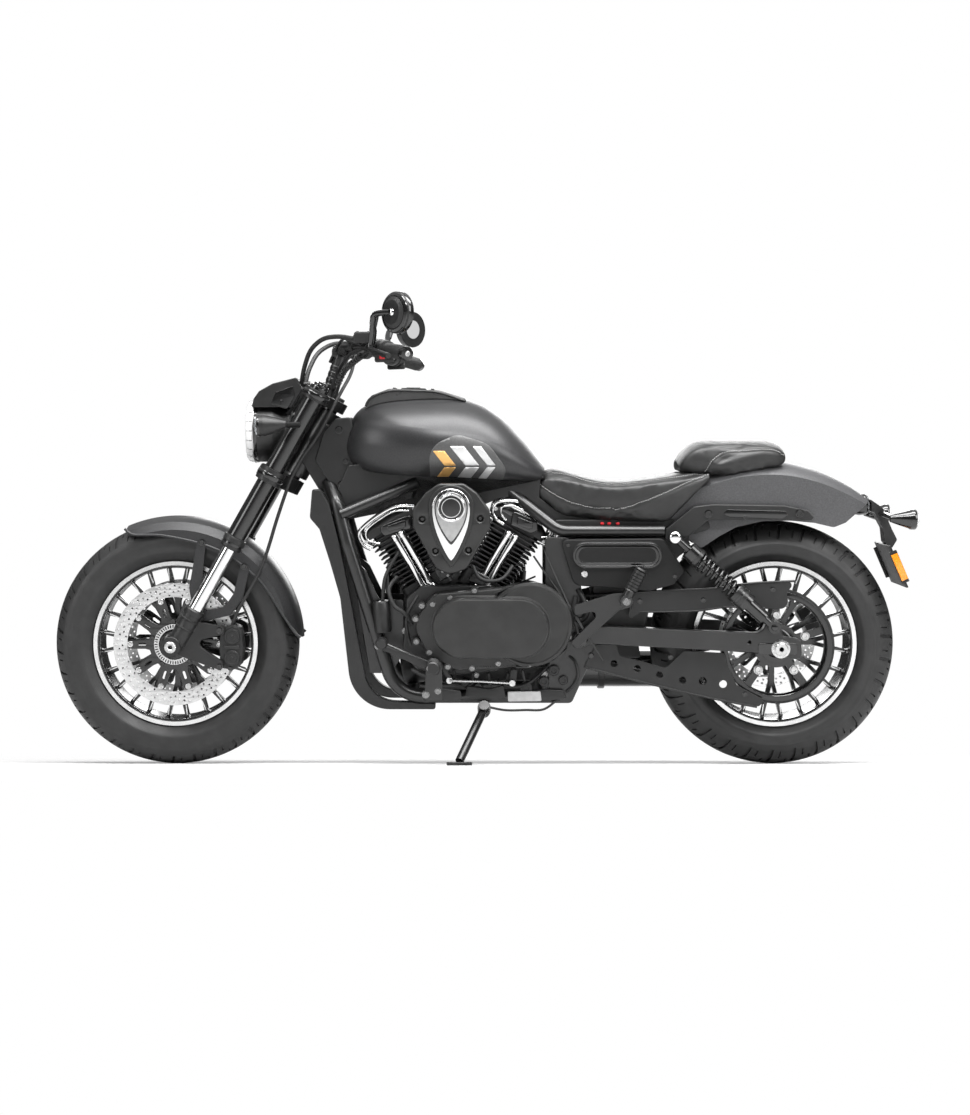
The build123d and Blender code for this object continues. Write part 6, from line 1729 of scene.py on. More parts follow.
def add_frame_trim():
    """Bolts of the neck covers, shroud and fender struts, with the struts' inset panels."""
    rows = []
    for side in SIDES:
        rows += [
            (-370, side * 66, 882, 8.0, side), (-362, side * 66, 737, 9.5, side), (-352, side * 66, 800, 5.5, side),
        ]
        for x, z in ((REAR_AXLE_X - 180, 665), (REAR_AXLE_X + 56, 666)):
            rows.append((x, side * 118.4, z, 8.5, side))
        rows.append((REAR_AXLE_X - 84, side * 118.4, 656, 4.5, side))
    bolts("cover_bolts", rows, "root", "gloss black")
    builder = bmesh.new()
    for side in SIDES:
        outline = rounded(shifted_rows((
            (-132, 676, 6), (20, 672, 6), (26, 662, 5), (12, 652, 5), (-124, 657, 6), (-142, 664, 5),
        )))
        side_plate(builder, outline, side, 117.4, 120.2, 0.9)
    add_piece("strut_insets", builder, "root", "gloss black")
    caps = bmesh.new()
    for side in SIDES:
        lathe(caps, (
            (0, -2), (13.5, -2), (14.5, 1), (14.2, 4.4), (11.5, 7.0), (6, 8.4), (0, 8.8),
        ), outward(SHOCK_TOP[0], 192, SHOCK_TOP[1], side), 48)
    add_piece("shock_caps", caps, "root", "chrome")


def add_pans():
    """Seat pan over the rails with its connectors, and the shield low behind the engine."""
    builder = bmesh.new()
    plate(builder, ((196, 622, 6), (196, 648, 4), (590, 650, 4), (600, 626, 10), (560, 612, 10)), -98, 98, 2)
    plate(builder, ((286, 268, 8), (286, 330, 8), (420, 330, 8), (430, 270, 8)), 58, 62, 1)
    plate(builder, ((186, 420, 8), (196, 600, 8), (250, 612, 8), (262, 430, 8)), -88, 88, 2)
    add_piece("seat_pan", builder, "root", "cover black")
    builder = bmesh.new()
    for x in (312, 330, 352):
        plate(builder, ((x, 636, 2), (x, 642, 2), (x + 9, 642, 2), (x + 9, 636, 2)), -106, -98, 1.0)
    add_piece("red_connectors", builder, "root", "red")


PIVOT_X = 258.0                 # the swingarm's pivot
GUARD_FACE = -131.0             # outer faces of the belt guards, across


def shifted_rows(rows):
    """Rows measured from the rear axle, put where it is."""
    return [(REAR_AXLE_X + x, *rest) for x, *rest in rows]


def share_rows(rows):
    """Rows given as shares of the way from the swingarm's pivot to the axle."""
    return [(PIVOT_X + share * (REAR_AXLE_X - PIVOT_X), *rest) for share, *rest in rows]


def add_drive_trim():
    """Folded lips and screws of the belt guards, washers on the rear axle and plates on the swingarm."""
    builder = bmesh.new()
    for radius, rows in (
        (3.0, ((0.020, 270), (0.15, 253), (0.38, 223), (0.65, 191), (0.89, 167))),
        (3.0, ((0.27, 462), (0.45, 468), (0.65, 472), (0.86, 486), (1.08, 492))),
        (2.4, ((0.30, 412), (0.45, 413), (0.59, 415), (0.75, 425), (0.93, 421))),
    ):
        pipe(builder, smooth_path([(x, GUARD_FACE, z) for x, z in share_rows(rows)], 8), radius, 12)
    add_piece("guard_lips", builder, "root", "cover black")
    rows = [(x, GUARD_FACE, z, 5.6) for x, z in share_rows((
        (0.055, 300), (0.455, 296), (0.83, 200), (0.30, 440), (0.97, 470), (0.62, 443),
    ))]
    bolts("guard_screws", rows, "root", "gloss black")
    builder = bmesh.new()
    for side in SIDES:
        lathe(builder, ((6.1, 0), (21, 0), (24, 1), (24, 3), (21, 4), (17, 4), (17, 15), (15, 17), (6.1, 17)),
              outward(REAR_AXLE_X, 165, AXLE_Z, side), 48, True)
    add_piece("rear_axle_washers", builder, "root", "steel")
    builder = bmesh.new()
    for side in SIDES:
        side_plate(builder, shifted_rows((
            (-58, 336, 8), (-58, 306, 8), (42, 306, 8), (42, 336, 8),
        )), side, 164, 168, 1.4, [circle((REAR_AXLE_X, AXLE_Z), 19.5, 40)])
        lathe(builder, ((0, 0), (17, 0), (17, 4), (14, 7), (0, 7)), outward(PIVOT_X, 166, 345, side), 40)
    add_piece("arm_plates", builder, "root", "gloss black")


PEG_HANGER = ((-264, 346, 8), (-256, 326, 8), (-126, 268, 10), (-112, 288, 10))
LOW_BOSSES = (                  # x, z, radius, depth
    (-6, 214, 15, 10), (44, 206, 12, 12), (118, 216, 17, 10), (164, 234, 13, 14), (-40, 232, 11, 12),
    (190, 262, 14, 10), (214, 236, 12, 8),
)
LOW_PLATES = (                  # outline, faces across
    (((-40, 196, 4), (-34, 224, 6), (24, 216, 6), (60, 226, 6), (66, 192, 4), (10, 186, 4)), -146, -138),
    (((104, 188, 4), (104, 206, 6), (168, 214, 6), (214, 212, 8), (222, 190, 6), (150, 182, 4)), -144, -136),
    (((-146, 186, 6), (-146, 220, 8), (-120, 226, 6), (-50, 216, 6), (-46, 192, 6)), -186, -180),
)
ENGINE_HOSES = (                # points, radius
    (((-216, -100, 500), (-236, -126, 470), (-222, -140, 430), (-196, -140, 410), (-176, -128, 380)), 5.5),
    (((-150, -112, 470), (-170, -132, 440), (-190, -136, 400), (-186, -130, 350), (-170, -118, 300)), 4.0),
    (((-20, -116, 530), (-2, -130, 500), (30, -134, 492), (60, -128, 500), (84, -112, 530)), 5.0),
    (((-176, -120, 262), (-150, -138, 250), (-100, -142, 236), (-60, -142, 226), (-30, -132, 214)), 4.5),
    (((40, -132, 236), (74, -140, 222), (110, -140, 224), (140, -134, 240), (176, -124, 272)), 4.5),
    (((226, -120, 300), (244, -134, 284), (252, -140, 250), (240, -136, 222), (222, -126, 206)), 4.0),
    (((252, -126, 470), (276, -138, 420), (262, -140, 392), (240, -138, 402), (246, -132, 452)), 6.5),
    (((-252, -118, 440), (-246, -108, 500), (-214, -92, 560), (-180, -88, 600)), 5.0),
    (((20, -150, 170), (64, -152, 162), (116, -150, 162), (165, -146, 164), (206, -136, 194)), 3.0),
    (((-108, 128, 620), (-60, 134, 560), (-40, 128, 500), (-44, 118, 452)), 5.0),
)


def add_controls():
    """Shift linkage, peg rubbers, canister, hoses and the blank plate low on the engine."""
    rods = bmesh.new()
    dark = bmesh.new()
    pipe(rods, [(-79, -160, 239), (0, -158, 237), (82, -154, 232)], 4.0, 12)
    for x, z in ((-79, 239), (82, 232)):
        lathe(rods, ((0, -5), (8, -5), (9, -3), (9, 3), (8, 5), (0, 5)), toward((x, -156, z)), 24)
    add_piece("shift_rod", rods, "root", "steel")
    plate(dark, ((78, 268, 8), (96, 268, 8), (90, 222, 7), (74, 222, 7)), -152, -144, 2)
    plate(dark, ((-88, 248, 8), (-70, 244, 8), (-104, 296, 8), (-126, 300, 8)), -166, -158, 2)
    for side in SIDES:
        start = Vector((-119, side * 196, 281))
        end = Vector((-119, side * 268, 284))
        length = (end - start).length
        profile = [(14.4, 0), (20, 0), (20, 3), *ribbed(6, length - 10, 7, (
            (15.8, 0), (18.0, 1.4), (18.0, 6), (15.8, 7.4),
        )), (19, length - 2), (17, length + 2), (14.4, length + 2)]
        lathe(dark, profile, toward(start, end - start), 32, True)
        lathe(dark, ((0, -2), (16.5, -2), (16.5, 2), (13, 5), (0, 5)), toward(end, end - start), 32)
        lathe(dark, (
            (11, -2), (15, -2), (15.4, 2), (15.4, 34), (13, 40), (6, 42), (0, 42), (0, -2),
        ), toward((-250, side * 196, 340), (0, side, 0.05)), 32)
        side_plate(dark, PEG_HANGER, side, 200, 207, 2.5)
        peg = Vector((372, side * 192, 452))
        tip = Vector((SHOCK_TOP[0] - 85, side * 192, SHOCK_TOP[1] - 80))
        length = (tip - peg).length
        profile = [(12.6, 22), (17, 22), *ribbed(26, length - 34, 6, (
            (14, 0), (16.4, 1.4), (16.4, 8), (14, 9.4),
        )), (17, length - 4), (15, length), (12.6, length)]
        lathe(dark, profile, toward(peg, tip - peg), 32, True)
    for x, z, radius, depth in LOW_BOSSES:
        lathe(dark, (
            (0, -10), (radius, -10), (radius, depth - 2), (radius - 2, depth), (radius * 0.55, depth),
            (radius * 0.5, depth - 3), (0, depth - 3),
        ), toward((x, -130, z)), 32)
    for outline, near, far in LOW_PLATES:
        plate(dark, outline, near, far, 2)
    lathe(dark, ((0, 0), (20, 0), (22, 3), (22, 74), (19, 80), (0, 80)), toward((-250, -128, 360), (-0.09, 0, 1)), 40)
    add_piece("control_parts", dark, "root", "cover black")
    builder = bmesh.new()
    plate(builder, ((71, 209, 4), (155, 210, 4), (158, 184, 4), (71, 183, 4)), -146, -143, 0.8)
    add_piece("blank_plate", builder, "root", "satin steel")
    rows = [
        (165, -124, 251, 7.0), (206, -130, 199, 7.0), (-139, -189, 207, 7.5), (-57, -150, 200, 7.0),
        (-261, -205, 332, 6.0), (-128, -268, 284, 7.0),
    ]
    for side in SIDES:
        for x, z in ((-128, 274), (-108, 216)):
            rows.append((x, side * 188.5, z, 6.5, side))
        rows.append((372, side * 204, 446, 8.0, side))
        for x, z in ((-196, 300), (-196, 360)):
            rows.append((x, side * 97.4, z, 7.0, side))
    bolts("control_bolts", rows, "root", "bolt grey")
    builder = bmesh.new()
    for points, radius in ENGINE_HOSES:
        pipe(builder, smooth_path(points, 12), radius, 14)
    add_piece("engine_hoses", builder, "root", "rubber")


REARWARD = (1, 0, 0)
MUFFLER = (190, 226)            # y and z of its axis
CLAMPS_X = (252, 330)


def add_exhaust_trim():
    """Heat shields, clamps and the muffler's tip."""
    builder = bmesh.new()
    lathe(builder, (
        (36.2, 0), (52.5, 0), (54, 4), (54, 30), (52.5, 34), (50, 36), (50, 42), (54, 44), (53, 52), (44, 58),
        (37, 58), (36.2, 54),
    ), toward((532, *MUFFLER), REARWARD), 64, True)
    for x in CLAMPS_X:
        lathe(builder, (
            (49, -9), (54, -9), (55.4, -6), (55.4, 6), (54, 9), (49, 9),
        ), toward((x, *MUFFLER), REARWARD), 64, True)
    for points in (
        ((-233, 150, 496), (-234, 152, 440), (-230, 152, 386), (-206, 151, 326), (-176, 150, 276)),
        ((-130, 150, 251), (-60, 150, 250), (20, 150, 250), (60, 150, 249)),
        ((100, 150, 500), (97, 152, 452), (99, 154, 404), (116, 156, 352), (134, 158, 318)),
    ):
        pipe(builder, smooth_path(points, 8), 25.4, 32)
    add_piece("exhaust_shields", builder, "root", "frame black")
    rows = [((x, MUFFLER[0], MUFFLER[1] + 56), (0, 0, 1), REARWARD, (6,) * 3) for x in CLAMPS_X]
    for x, y, z in ((-60, 175, 250), (20, 175, 250), (-233, 177.5, 440), (98, 177.5, 452)):
        rows.append(((x, y, z), RIGHT, REARWARD, (5,) * 3))
    copies("exhaust_bolts", template(BOLT_ROWS), rows, "root", "steel")


PLATE_TILT = radians(23)
SQUARE = ((-1, -1), (1, -1), (1, 1), (-1, 1))


def add_tail():
    """Lenses, reflectors and the blank plate on the tail bracket."""
    lens = bmesh.new()
    glow = bmesh.new()
    for side in SIDES:
        y = side * 165
        start = Vector((REAR_AXLE_X + 280, y, 655))
        end = Vector((REAR_AXLE_X + 344, y, 652))
        at = toward(end, end - start)
        lathe(lens, ((0, 0), (21.4, 0), (21.4, 2), (18.5, 6), (11, 8.6), (0, 9.6)), at, 48)
        lathe(glow, ((21.6, -14), (25, -14), (26, -10), (26, -1), (24.6, 1.6), (21.6, 1.6)), at, 64, True)
    add_piece("rear_indicator_lenses", lens, "root", "lamp white")
    add_piece("rear_indicator_rims", glow, "root", "gloss black")
    builder = bmesh.new()
    middle = Vector((REAR_AXLE_X + 318, 0, 526))
    normal = Vector((cos(PLATE_TILT), 0, sin(PLATE_TILT)))
    up = Vector((-sin(PLATE_TILT), 0, cos(PLATE_TILT)))
    number = bmesh.new()
    corners = [
        [middle + normal * (2.6 + depth) + up * (36 * b - 12) + Vector((0, 84 * a, 0)) for a, b in SQUARE]
        for depth in (0, 1.4)
    ]
    skin(number, [[sum(corners[0], Vector()) / 4]] + corners + [[sum(corners[1], Vector()) / 4]])
    add_piece("number_plate", number, "root", "patch grey")
    for side in SIDES:
        away = Vector((0, side, 0))
        centre = middle + away * 102
        rings = [
            [centre + away * lift + up * (36 * grow * b) + normal * (9 * grow * a) for a, b in SQUARE]
            for grow, lift in ((1.0, 0.0), (1.0, 3.0), (0.86, 4.6))
        ]
        skin(builder, [[centre]] + rings + [[centre + away * 4.6]])
    add_piece("side_reflectors", builder, "root", "amber", sharp=20)
    builder = bmesh.new()
    lathe(builder, (
        (0, -30), (16, -30), (24, -22), (28, -6), (28, 12), (25, 16), (0, 16),
    ), toward((REAR_AXLE_X + 236, 0, 684), (0.96, 0, 0.1)), 48)
    add_piece("tail_lamp_body", builder, "root", "gloss black")
    builder = bmesh.new()
    lathe(builder, (
        (0, 14), (24.6, 14), (24.6, 17), (21, 21), (12, 24), (0, 25),
    ), toward((REAR_AXLE_X + 236, 0, 684), (0.96, 0, 0.1)), 48)
    add_piece("tail_lamp_lens", builder, "root", "lamp glass")


# ------------------------------------------------------------------ pieces
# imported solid: finish, width of the rounded edge in mm (0 keeps the solid itself), and its slot
# where that isn't the finish's own
DRESSING = {
    "frame_neck": ("frame black", 2),
    "frame_cradle": ("frame black", 0),
    "frame_upper": ("frame black", 0),
    "frame_pivot_plates": ("frame black", 2),
    "fender_struts": ("cover black", 3, "frame_black"),
    "neck_covers": ("cover black", 3),
    "radiator": ("radiator", 0),
    "spine_covers": ("cover black", 2),
    "inner_guard": ("cover black", 3),
    "radiator_shroud": ("cover black", 3),
    "fuel_tank": ("graphite", 0),
    "tank_console": ("console black", 3),
    # the rear fender's paint is drawn paler than the tank's: a painted highlight
    "rear_fender": ("fender graphite", 0),
    "side_covers": ("matt black", 3),
    "swingarm": ("frame black", 3),
    "rear_axle": ("steel", 0),
    "belt_guards": ("cover black", 1),
    "drive_belt": ("rubber", 0),
    "shock_dampers": ("fork black", 0),
    "shock_springs": ("gloss black", 0),
    "crankcase": ("engine black", 3),
    "primary_cover": ("engine cover", 5),
    "cylinders": ("engine black", 1),
    "rocker_covers": ("engine black", 2),
    "rider_controls": ("frame black", 1),
    "passenger_pegs": ("frame black", 1),
    "stand_bracket": ("frame black", 1),
    "exhaust": ("gloss black", 0),
    "tail_bracket": ("cover black", 1),
    "rear_indicators": ("gloss black", 0),
    "rear_caliper": ("engine black", 2),
    "side_stand": ("frame black", 1),
    "fork_clamps": ("cover black", 2, "frame_black"),
    "fork_outer_tubes": ("fork black", 0),
    "fork_stanchions": ("chrome", 0),
    "fork_feet": ("engine black", 2),
    "front_axle": ("steel", 0),
    "front_fender": ("graphite", 0),
    "front_calipers": ("engine black", 2),
    "headlight_shell": ("cover black", 2, "gloss_black"),
    "headlight_lens": ("lamp white", 0),
    "front_indicators": ("cover black", 0),
    "handlebar": ("frame black", 0),
    "grips": ("rubber", 0),
    "bar_controls": ("cover black", 1, "engine_black"),
    "mirrors": ("cover black", 1, "mirror"),
    "brake_hose": ("rubber", 0),
    "cable_looms": ("rubber", 0),
    "front_rim": ("wheel black", 1),
    "rear_rim": ("wheel black", 1),
    "rear_pulley": ("wheel black", 1),
}


def dress_solids():
    """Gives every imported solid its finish, and rounds the edges of the machined ones."""
    for node, (finish, bevel, *part_slot) in DRESSING.items():
        if bevel:
            dressed(node, finish, bevel, *part_slot)
        else:
            mesh = frame["nodes"][node].data
            mesh.materials.clear()
            mesh.materials.append(FINISHES[finish])


# ------------------------------------------------------------------ studio
CAMERA_DISTANCE = 5000.0
CAMERA_X = 7.0
CAMERA_Z = 894.6
IMAGE_WIDTH = 970
IMAGE_HEIGHT = 1115
FOCAL_PIXELS = 1887.0
CENTRE_PIXEL = (483.0, 425.0)
SENSOR = 36.0


def add_camera():
    """Looks square at the left side of the leaning machine."""
    data = bpy.data.cameras.new("camera")
    data.sensor_fit = "AUTO"
    data.sensor_width = SENSOR
    data.lens = FOCAL_PIXELS * SENSOR / IMAGE_HEIGHT
    data.shift_x = (IMAGE_WIDTH / 2 - CENTRE_PIXEL[0]) / IMAGE_HEIGHT
    data.shift_y = (CENTRE_PIXEL[1] - IMAGE_HEIGHT / 2) / IMAGE_HEIGHT
    camera = bpy.data.objects.new("camera", data)
    bpy.context.scene.collection.objects.link(camera)
    camera.location = PARKED @ Vector((CAMERA_X, -CAMERA_DISTANCE, CAMERA_Z))
    camera.rotation_euler = (pi / 2 + LEAN, 0, 0)
    bpy.context.scene.camera = camera


def softbox(name, spot, aim, size, watts):
    """Rectangular soft lamp at a spot, facing another, in metres."""
    data = bpy.data.lights.new(name, "AREA")
    data.shape = "RECTANGLE"
    data.size, data.size_y = size
    data.energy = watts
    lamp = bpy.data.objects.new(name, data)
    bpy.context.scene.collection.objects.link(lamp)
    lamp.location = spot
    lamp.rotation_euler = (Vector(aim) - Vector(spot)).to_track_quat("-Z", "Y").to_euler()


SOFTBOXES = (                   # name, place, aim, size, power: all in metres and watts
    ("top_light", (0.2, -0.9, 3.2), (0.0, 0.1, 0.6), (4.4, 1.0), 200),
    ("front_light", (-4.0, -2.6, 1.7), (-0.3, 0.1, 0.6), (1.2, 2.6), 55),
    ("shoulder_light", (0.9, -2.9, 3.4), (0.5, 0.0, 0.8), (3.4, 0.6), 160),
    ("side_light", (3.6, -2.6, 2.2), (0.4, 0.1, 0.6), (1.6, 2.2), 80),
    ("back_light", (0.6, 4.2, 2.6), (0.0, 0.1, 0.7), (3.6, 1.8), 110),
)


# what the surroundings show to each kind of ray
SURROUNDINGS = (("Is Camera Ray", 1.0), ("Is Transmission Ray", 0.9))
HORIZON = 0.05                  # strength seen in reflections level with the machine
ZENITH = 0.85                   # strength seen in reflections from overhead
HORIZON_TOP = 0.34              # sines of the elevations between which it brightens
ZENITH_START = 0.86
FLOOR_REFLECTED = 0.15          # strength of the floor's glow in reflections


def white_world():
    """Pale surroundings: white behind the machine, dimmer in its lighting and reflections."""
    world = bpy.data.worlds.new("white_surroundings")
    bpy.context.scene.world = world
    world.use_nodes = True
    nodes = world.node_tree.nodes
    links = world.node_tree.links
    background = nodes["Background"]
    path = nodes.new("ShaderNodeLightPath")
    ray_way = nodes.new("ShaderNodeTexCoord")
    parts = nodes.new("ShaderNodeSeparateXYZ")
    rise = nodes.new("ShaderNodeMapRange")
    links.new(ray_way.outputs["Generated"], parts.inputs["Vector"])
    links.new(parts.outputs["Z"], rise.inputs["Value"])
    rise.inputs["From Min"].default_value = HORIZON_TOP
    rise.inputs["From Max"].default_value = ZENITH_START
    rise.inputs["To Min"].default_value = HORIZON
    rise.inputs["To Max"].default_value = ZENITH
    strength = rise.outputs["Result"]
    for ray, level in SURROUNDINGS[::-1]:
        mix = nodes.new("ShaderNodeMix")
        links.new(strength, mix.inputs["A"])
        mix.inputs["B"].default_value = level
        links.new(path.outputs[ray], mix.inputs["Factor"])
        strength = mix.outputs["Result"]
    links.new(strength, background.inputs["Strength"])
    background.inputs["Color"].default_value = (1, 1, 1, 1)


def add_floor():
    """Pale floor that keeps the shadow near the machine and fades to white further out."""
    builder = bmesh.new()
    bmesh.ops.create_circle(builder, cap_ends=True, segments=96, radius=14)
    mesh = mesh_from(builder, "studio_floor")
    finish = Finish("pale_floor", grey(0.55), 0.6).mottle(2, 0.01)
    nodes = finish.tree.nodes
    length = finish.node("ShaderNodeVectorMath", operation="LENGTH")
    squeeze = finish.node("ShaderNodeVectorMath", operation="MULTIPLY")
    squeeze.inputs[1].default_value = (0.62, 1, 1)
    finish.link(finish.coordinates, squeeze.inputs[0])
    finish.link(squeeze.outputs["Vector"], length.inputs[0])
    fade = finish.remap(length.outputs["Value"], 0, 1, 0.7, 1.5)
    path = finish.node("ShaderNodeLightPath")
    reflected = finish.math("MULTIPLY", path.outputs["Is Glossy Ray"], FLOOR_REFLECTED)
    seen = finish.math("MAXIMUM", path.outputs["Is Camera Ray"], reflected)
    seen = finish.math("MAXIMUM", seen, path.outputs["Is Transmission Ray"])
    glow = finish.node("ShaderNodeEmission")
    mix = finish.node("ShaderNodeMixShader")
    finish.link(finish.math("MULTIPLY", fade, seen), mix.inputs["Fac"])
    finish.link(finish.shader.outputs["BSDF"], mix.inputs[1])
    finish.link(glow.outputs["Emission"], mix.inputs[2])
    finish.link(mix.outputs["Shader"], nodes["Material Output"].inputs["Surface"])
    mesh.materials.append(finish.material)
    floor = bpy.data.objects.new("studio_floor", mesh)
    bpy.context.scene.collection.objects.link(floor)


def make_stage():
    bpy.context.scene.view_settings.view_transform = "Standard"
    add_camera()
    white_world()
    for row in SOFTBOXES:
        softbox(*row)
    add_floor()


# ------------------------------------------------------------------ add-on
FINISHES = {}


def colour_property(name, description, default):
    return FloatVectorProperty(name=name, description=description, default=default, subtype="COLOR", min=0, max=1)


class CruiserColours(bpy.types.PropertyGroup):
    """Base colours of the main finishes."""

    frame: colour_property("Frame", "Paint of the frame, swingarm and clamps", (0.007, 0.007, 0.007))
    body: colour_property("Body", "Paint of the tank and fenders", (0.028, 0.028, 0.029))
    engine: colour_property("Engine", "Paint of the crankcase and cylinders", (0.007, 0.007, 0.007))
    covers: colour_property("Engine covers", "Coating of the primary and rocker covers", (0.026, 0.026, 0.0257))
    seat: colour_property("Seat", "Vinyl of both seats", (0.014, 0.014, 0.014))
    thread: colour_property("Thread", "Seat stitching", (0.42, 0.42, 0.416))
    patch: colour_property("Patch", "Lighter patch on the tank", (0.085, 0.085, 0.085))
    accent: colour_property("Accent", "Gold bars of the tank graphic", (0.80, 0.46, 0.16))
    reflector: colour_property("Reflector", "Amber side reflectors", (0.86, 0.26, 0.01))


class CruiserSizes(bpy.types.PropertyGroup):
    """Sizes of the fine parts."""

    stitch_pitch: FloatProperty(
        name="Stitch Pitch", description="From one stitch to the next", default=0.0062, min=0.002, unit="LENGTH",
    )
    seam_width: FloatProperty(
        name="Seam Width", description="How far each side a seam draws the seat in", default=0.012, min=0.002,
        unit="LENGTH",
    )
    seat_swell: FloatProperty(
        name="Seat Swell", description="Most that a point of a seat may move when it is blown up", default=0.006,
        min=0.0, unit="LENGTH",
    )
    seat_pressure: FloatProperty(
        name="Seat Pressure", description="Pressure inside the seats while they are blown up", default=4.0, min=0.0,
    )
    spring_turns: FloatProperty(
        name="Spring Turns", description="Turns of each rear spring", default=8.5, min=2.0, max=20.0,
    )
    spring_wire: FloatProperty(
        name="Spring Wire", description="Radius of the springs' wire", default=0.0036, min=0.001, unit="LENGTH",
    )
    trim_bar: FloatProperty(
        name="Rocker Trim", description="Radius of the outer bright trims", default=0.005, min=0.001, unit="LENGTH",
    )
    lamp_segments: IntProperty(
        name="Lamp Segments", description="Parts of the headlamp's ring of light", default=20, min=6, max=60,
    )
    radiator_fins: IntProperty(
        name="Radiator Fins", description="Fins across the radiator", default=46, min=4, max=120,
    )


def colours():
    return bpy.context.scene.cruiser_colours


def sizes():
    return bpy.context.scene.cruiser_sizes


class Step:
    """What all the steps share: they run one builder."""

    bl_options = {"REGISTER", "UNDO"}

    def execute(self, context):
        type(self).build()
        return {"FINISHED"}


def prepare_finishes():
    FINISHES.clear()
    FINISHES.update(make_finishes())


class CRUISER_OT_finishes(Step, bpy.types.Operator):
    """Make all the finishes"""

    bl_idname = "cruiser.finishes"
    bl_label = "Finishes"
    build = staticmethod(prepare_finishes)


class CRUISER_OT_stage(Step, bpy.types.Operator):
    """Add the camera, lights, surroundings and floor"""

    bl_idname = "cruiser.stage"
    bl_label = "Stage"
    build = staticmethod(make_stage)


class CRUISER_OT_solids(Step, bpy.types.Operator):
    """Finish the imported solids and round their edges"""

    bl_idname = "cruiser.solids"
    bl_label = "Solids"
    build = staticmethod(dress_solids)


class CRUISER_OT_front_wheel(Step, bpy.types.Operator):
    """Add the front tyre's tread, rim lips, discs and hub parts"""

    bl_idname = "cruiser.front_wheel"
    bl_label = "Front Wheel"
    build = staticmethod(add_front_wheel)


class CRUISER_OT_rear_wheel(Step, bpy.types.Operator):
    """Add the rear tyre's tread, rim lips, disc and hub parts"""

    bl_idname = "cruiser.rear_wheel"
    bl_label = "Rear Wheel"
    build = staticmethod(add_rear_wheel)


class CRUISER_OT_fork(Step, bpy.types.Operator):
    """Add the fork's collars, caps, bolts and caliper details"""

    bl_idname = "cruiser.fork"
    bl_label = "Fork"
    build = staticmethod(add_fork)


class CRUISER_OT_lamps(Step, bpy.types.Operator):
    """Add the headlamp's ring and lenses, and the front indicators' lenses"""

    bl_idname = "cruiser.lamps"
    bl_label = "Lamps"
    build = staticmethod(add_headlamp)


class CRUISER_OT_bar(Step, bpy.types.Operator):
    """Add risers, grips, switch blocks and cables to the handlebar"""

    bl_idname = "cruiser.bar"
    bl_label = "Handlebar"
    build = staticmethod(add_bar)


class CRUISER_OT_mirrors(Step, bpy.types.Operator):
    """Add the mirrors with their glass and arms"""

    bl_idname = "cruiser.mirrors"
    bl_label = "Mirrors"
    build = staticmethod(add_mirrors)


class CRUISER_OT_shocks(Step, bpy.types.Operator):
    """Add the coiled springs and seats of the rear shocks"""

    bl_idname = "cruiser.shocks"
    bl_label = "Shocks"
    build = staticmethod(add_shocks)


class CRUISER_OT_side_covers(Step, bpy.types.Operator):
    """Add the stepped ovals, lock and screws of the side covers"""

    bl_idname = "cruiser.side_covers"
    bl_label = "Side Covers"
    build = staticmethod(add_side_covers)


class CRUISER_OT_frame_trim(Step, bpy.types.Operator):
    """Add the cover bolts, strut insets and shock caps"""

    bl_idname = "cruiser.frame_trim"
    bl_label = "Frame Trim"
    build = staticmethod(add_frame_trim)


class CRUISER_OT_drive_trim(Step, bpy.types.Operator):
    """Add the belt guards' lips and the rear axle's washers"""

    bl_idname = "cruiser.drive_trim"
    bl_label = "Drive Trim"
    build = staticmethod(add_drive_trim)


class CRUISER_OT_controls(Step, bpy.types.Operator):
    """Add linkages, peg rubbers, hoses and small parts low on the engine"""

    bl_idname = "cruiser.controls"
    bl_label = "Controls"
    build = staticmethod(add_controls)


class CRUISER_OT_exhaust(Step, bpy.types.Operator):
    """Add the exhaust's shields, clamps and tip"""

    bl_idname = "cruiser.exhaust"
    bl_label = "Exhaust"
    build = staticmethod(add_exhaust_trim)


class CRUISER_OT_tail(Step, bpy.types.Operator):
    """Add rear lenses, reflectors and the blank number plate"""

    bl_idname = "cruiser.tail"
    bl_label = "Tail"
    build = staticmethod(add_tail)


class CRUISER_OT_pans(Step, bpy.types.Operator):
    """Add the seat pan, its connectors and the low shield"""

    bl_idname = "cruiser.pans"
    bl_label = "Pans"
    build = staticmethod(add_pans)


class CRUISER_OT_seats(Step, bpy.types.Operator):
    """Add both seats, blown up a little and stitched"""

    bl_idname = "cruiser.seats"
    bl_label = "Seats"
    build = staticmethod(add_seats)


class CRUISER_OT_tank(Step, bpy.types.Operator):
    """Add the tank's patch, bars, filler and console parts"""

    bl_idname = "cruiser.tank"
    bl_label = "Tank"
    build = staticmethod(add_tank)


class CRUISER_OT_front_guard(Step, bpy.types.Operator):
    """Add the front fender's rolled edge and bolts"""

    bl_idname = "cruiser.front_guard"
    bl_label = "Front Fender"
    build = staticmethod(add_front_guard)


class CRUISER_OT_air_cleaner(Step, bpy.types.Operator):
    """Add the air cleaner's shield with its bright drop"""

    bl_idname = "cruiser.air_cleaner"
    bl_label = "Air Cleaner"
    build = staticmethod(add_air_cleaner)


class CRUISER_OT_rockers(Step, bpy.types.Operator):
    """Add the trims, caps and bolts of the rocker covers"""

    bl_idname = "cruiser.rockers"
    bl_label = "Rocker Covers"
    build = staticmethod(add_rockers)


class CRUISER_OT_pushrods(Step, bpy.types.Operator):
    """Add the bright pushrod tubes"""

    bl_idname = "cruiser.pushrods"
    bl_label = "Pushrods"
    build = staticmethod(add_pushrods)


class CRUISER_OT_primary(Step, bpy.types.Operator):
    """Add the primary cover's raised face, ribs and bolts"""

    bl_idname = "cruiser.primary"
    bl_label = "Primary Cover"
    build = staticmethod(add_primary)


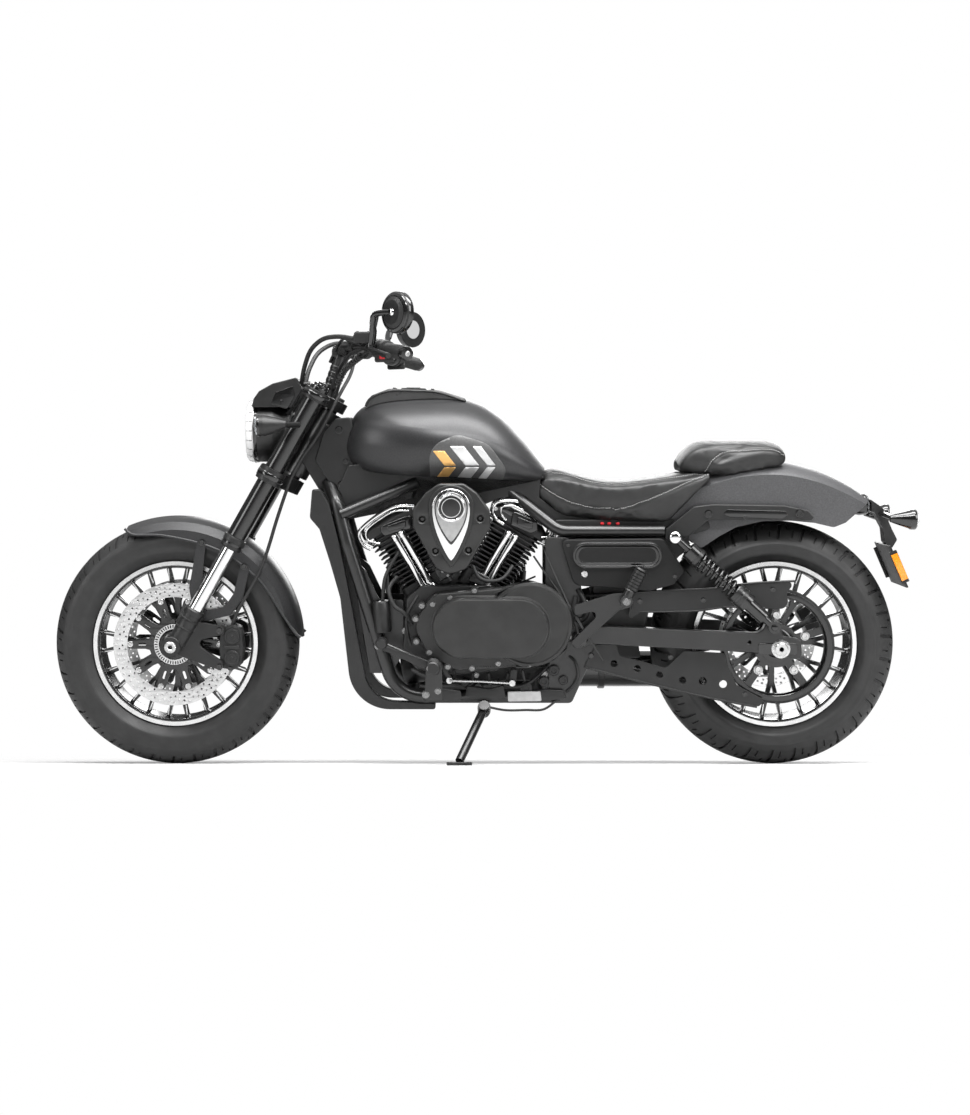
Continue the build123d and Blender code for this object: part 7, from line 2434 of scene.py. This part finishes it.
class CRUISER_OT_case(Step, bpy.types.Operator):
    """Add the crankcase's small parts and the radiator's fins"""

    bl_idname = "cruiser.case"
    bl_label = "Crankcase"
    build = staticmethod(add_case_details)


STEPS = (
    CRUISER_OT_finishes,
    CRUISER_OT_stage,
    CRUISER_OT_solids,
    CRUISER_OT_front_wheel,
    CRUISER_OT_rear_wheel,
    CRUISER_OT_fork,
    CRUISER_OT_lamps,
    CRUISER_OT_bar,
    CRUISER_OT_mirrors,
    CRUISER_OT_shocks,
    CRUISER_OT_side_covers,
    CRUISER_OT_frame_trim,
    CRUISER_OT_drive_trim,
    CRUISER_OT_controls,
    CRUISER_OT_exhaust,
    CRUISER_OT_tail,
    CRUISER_OT_pans,
    CRUISER_OT_seats,
    CRUISER_OT_tank,
    CRUISER_OT_front_guard,
    CRUISER_OT_air_cleaner,
    CRUISER_OT_rockers,
    CRUISER_OT_pushrods,
    CRUISER_OT_primary,
    CRUISER_OT_case,
)


class CRUISER_PT_sidebar(bpy.types.Panel):
    """Sizes, colours and steps of the cruiser"""

    bl_idname = "CRUISER_PT_sidebar"
    bl_label = "Cruiser"
    bl_space_type = "VIEW_3D"
    bl_region_type = "UI"
    bl_category = "Cruiser"

    def draw(self, context):
        for group in (context.scene.cruiser_sizes, context.scene.cruiser_colours):
            column = self.layout.column(align=True)
            for name in type(group).__annotations__:
                column.prop(group, name)
        column = self.layout.column(align=True)
        for step in STEPS:
            column.operator(step.bl_idname)


CLASSES = (CruiserColours, CruiserSizes, *STEPS, CRUISER_PT_sidebar)


def register():
    for made in CLASSES:
        bpy.utils.register_class(made)
    bpy.types.Scene.cruiser_colours = PointerProperty(type=CruiserColours)
    bpy.types.Scene.cruiser_sizes = PointerProperty(type=CruiserSizes)


def unregister():
    del bpy.types.Scene.cruiser_sizes
    del bpy.types.Scene.cruiser_colours
    for made in reversed(CLASSES):
        bpy.utils.unregister_class(made)


def main():
    register()
    for step in STEPS:
        operator = getattr(bpy.ops.cruiser, step.bl_idname.partition(".")[2])
        if operator() != {"FINISHED"}:
            raise RuntimeError(step.bl_idname + " did not finish")


if __name__ == "__main__":
    main()
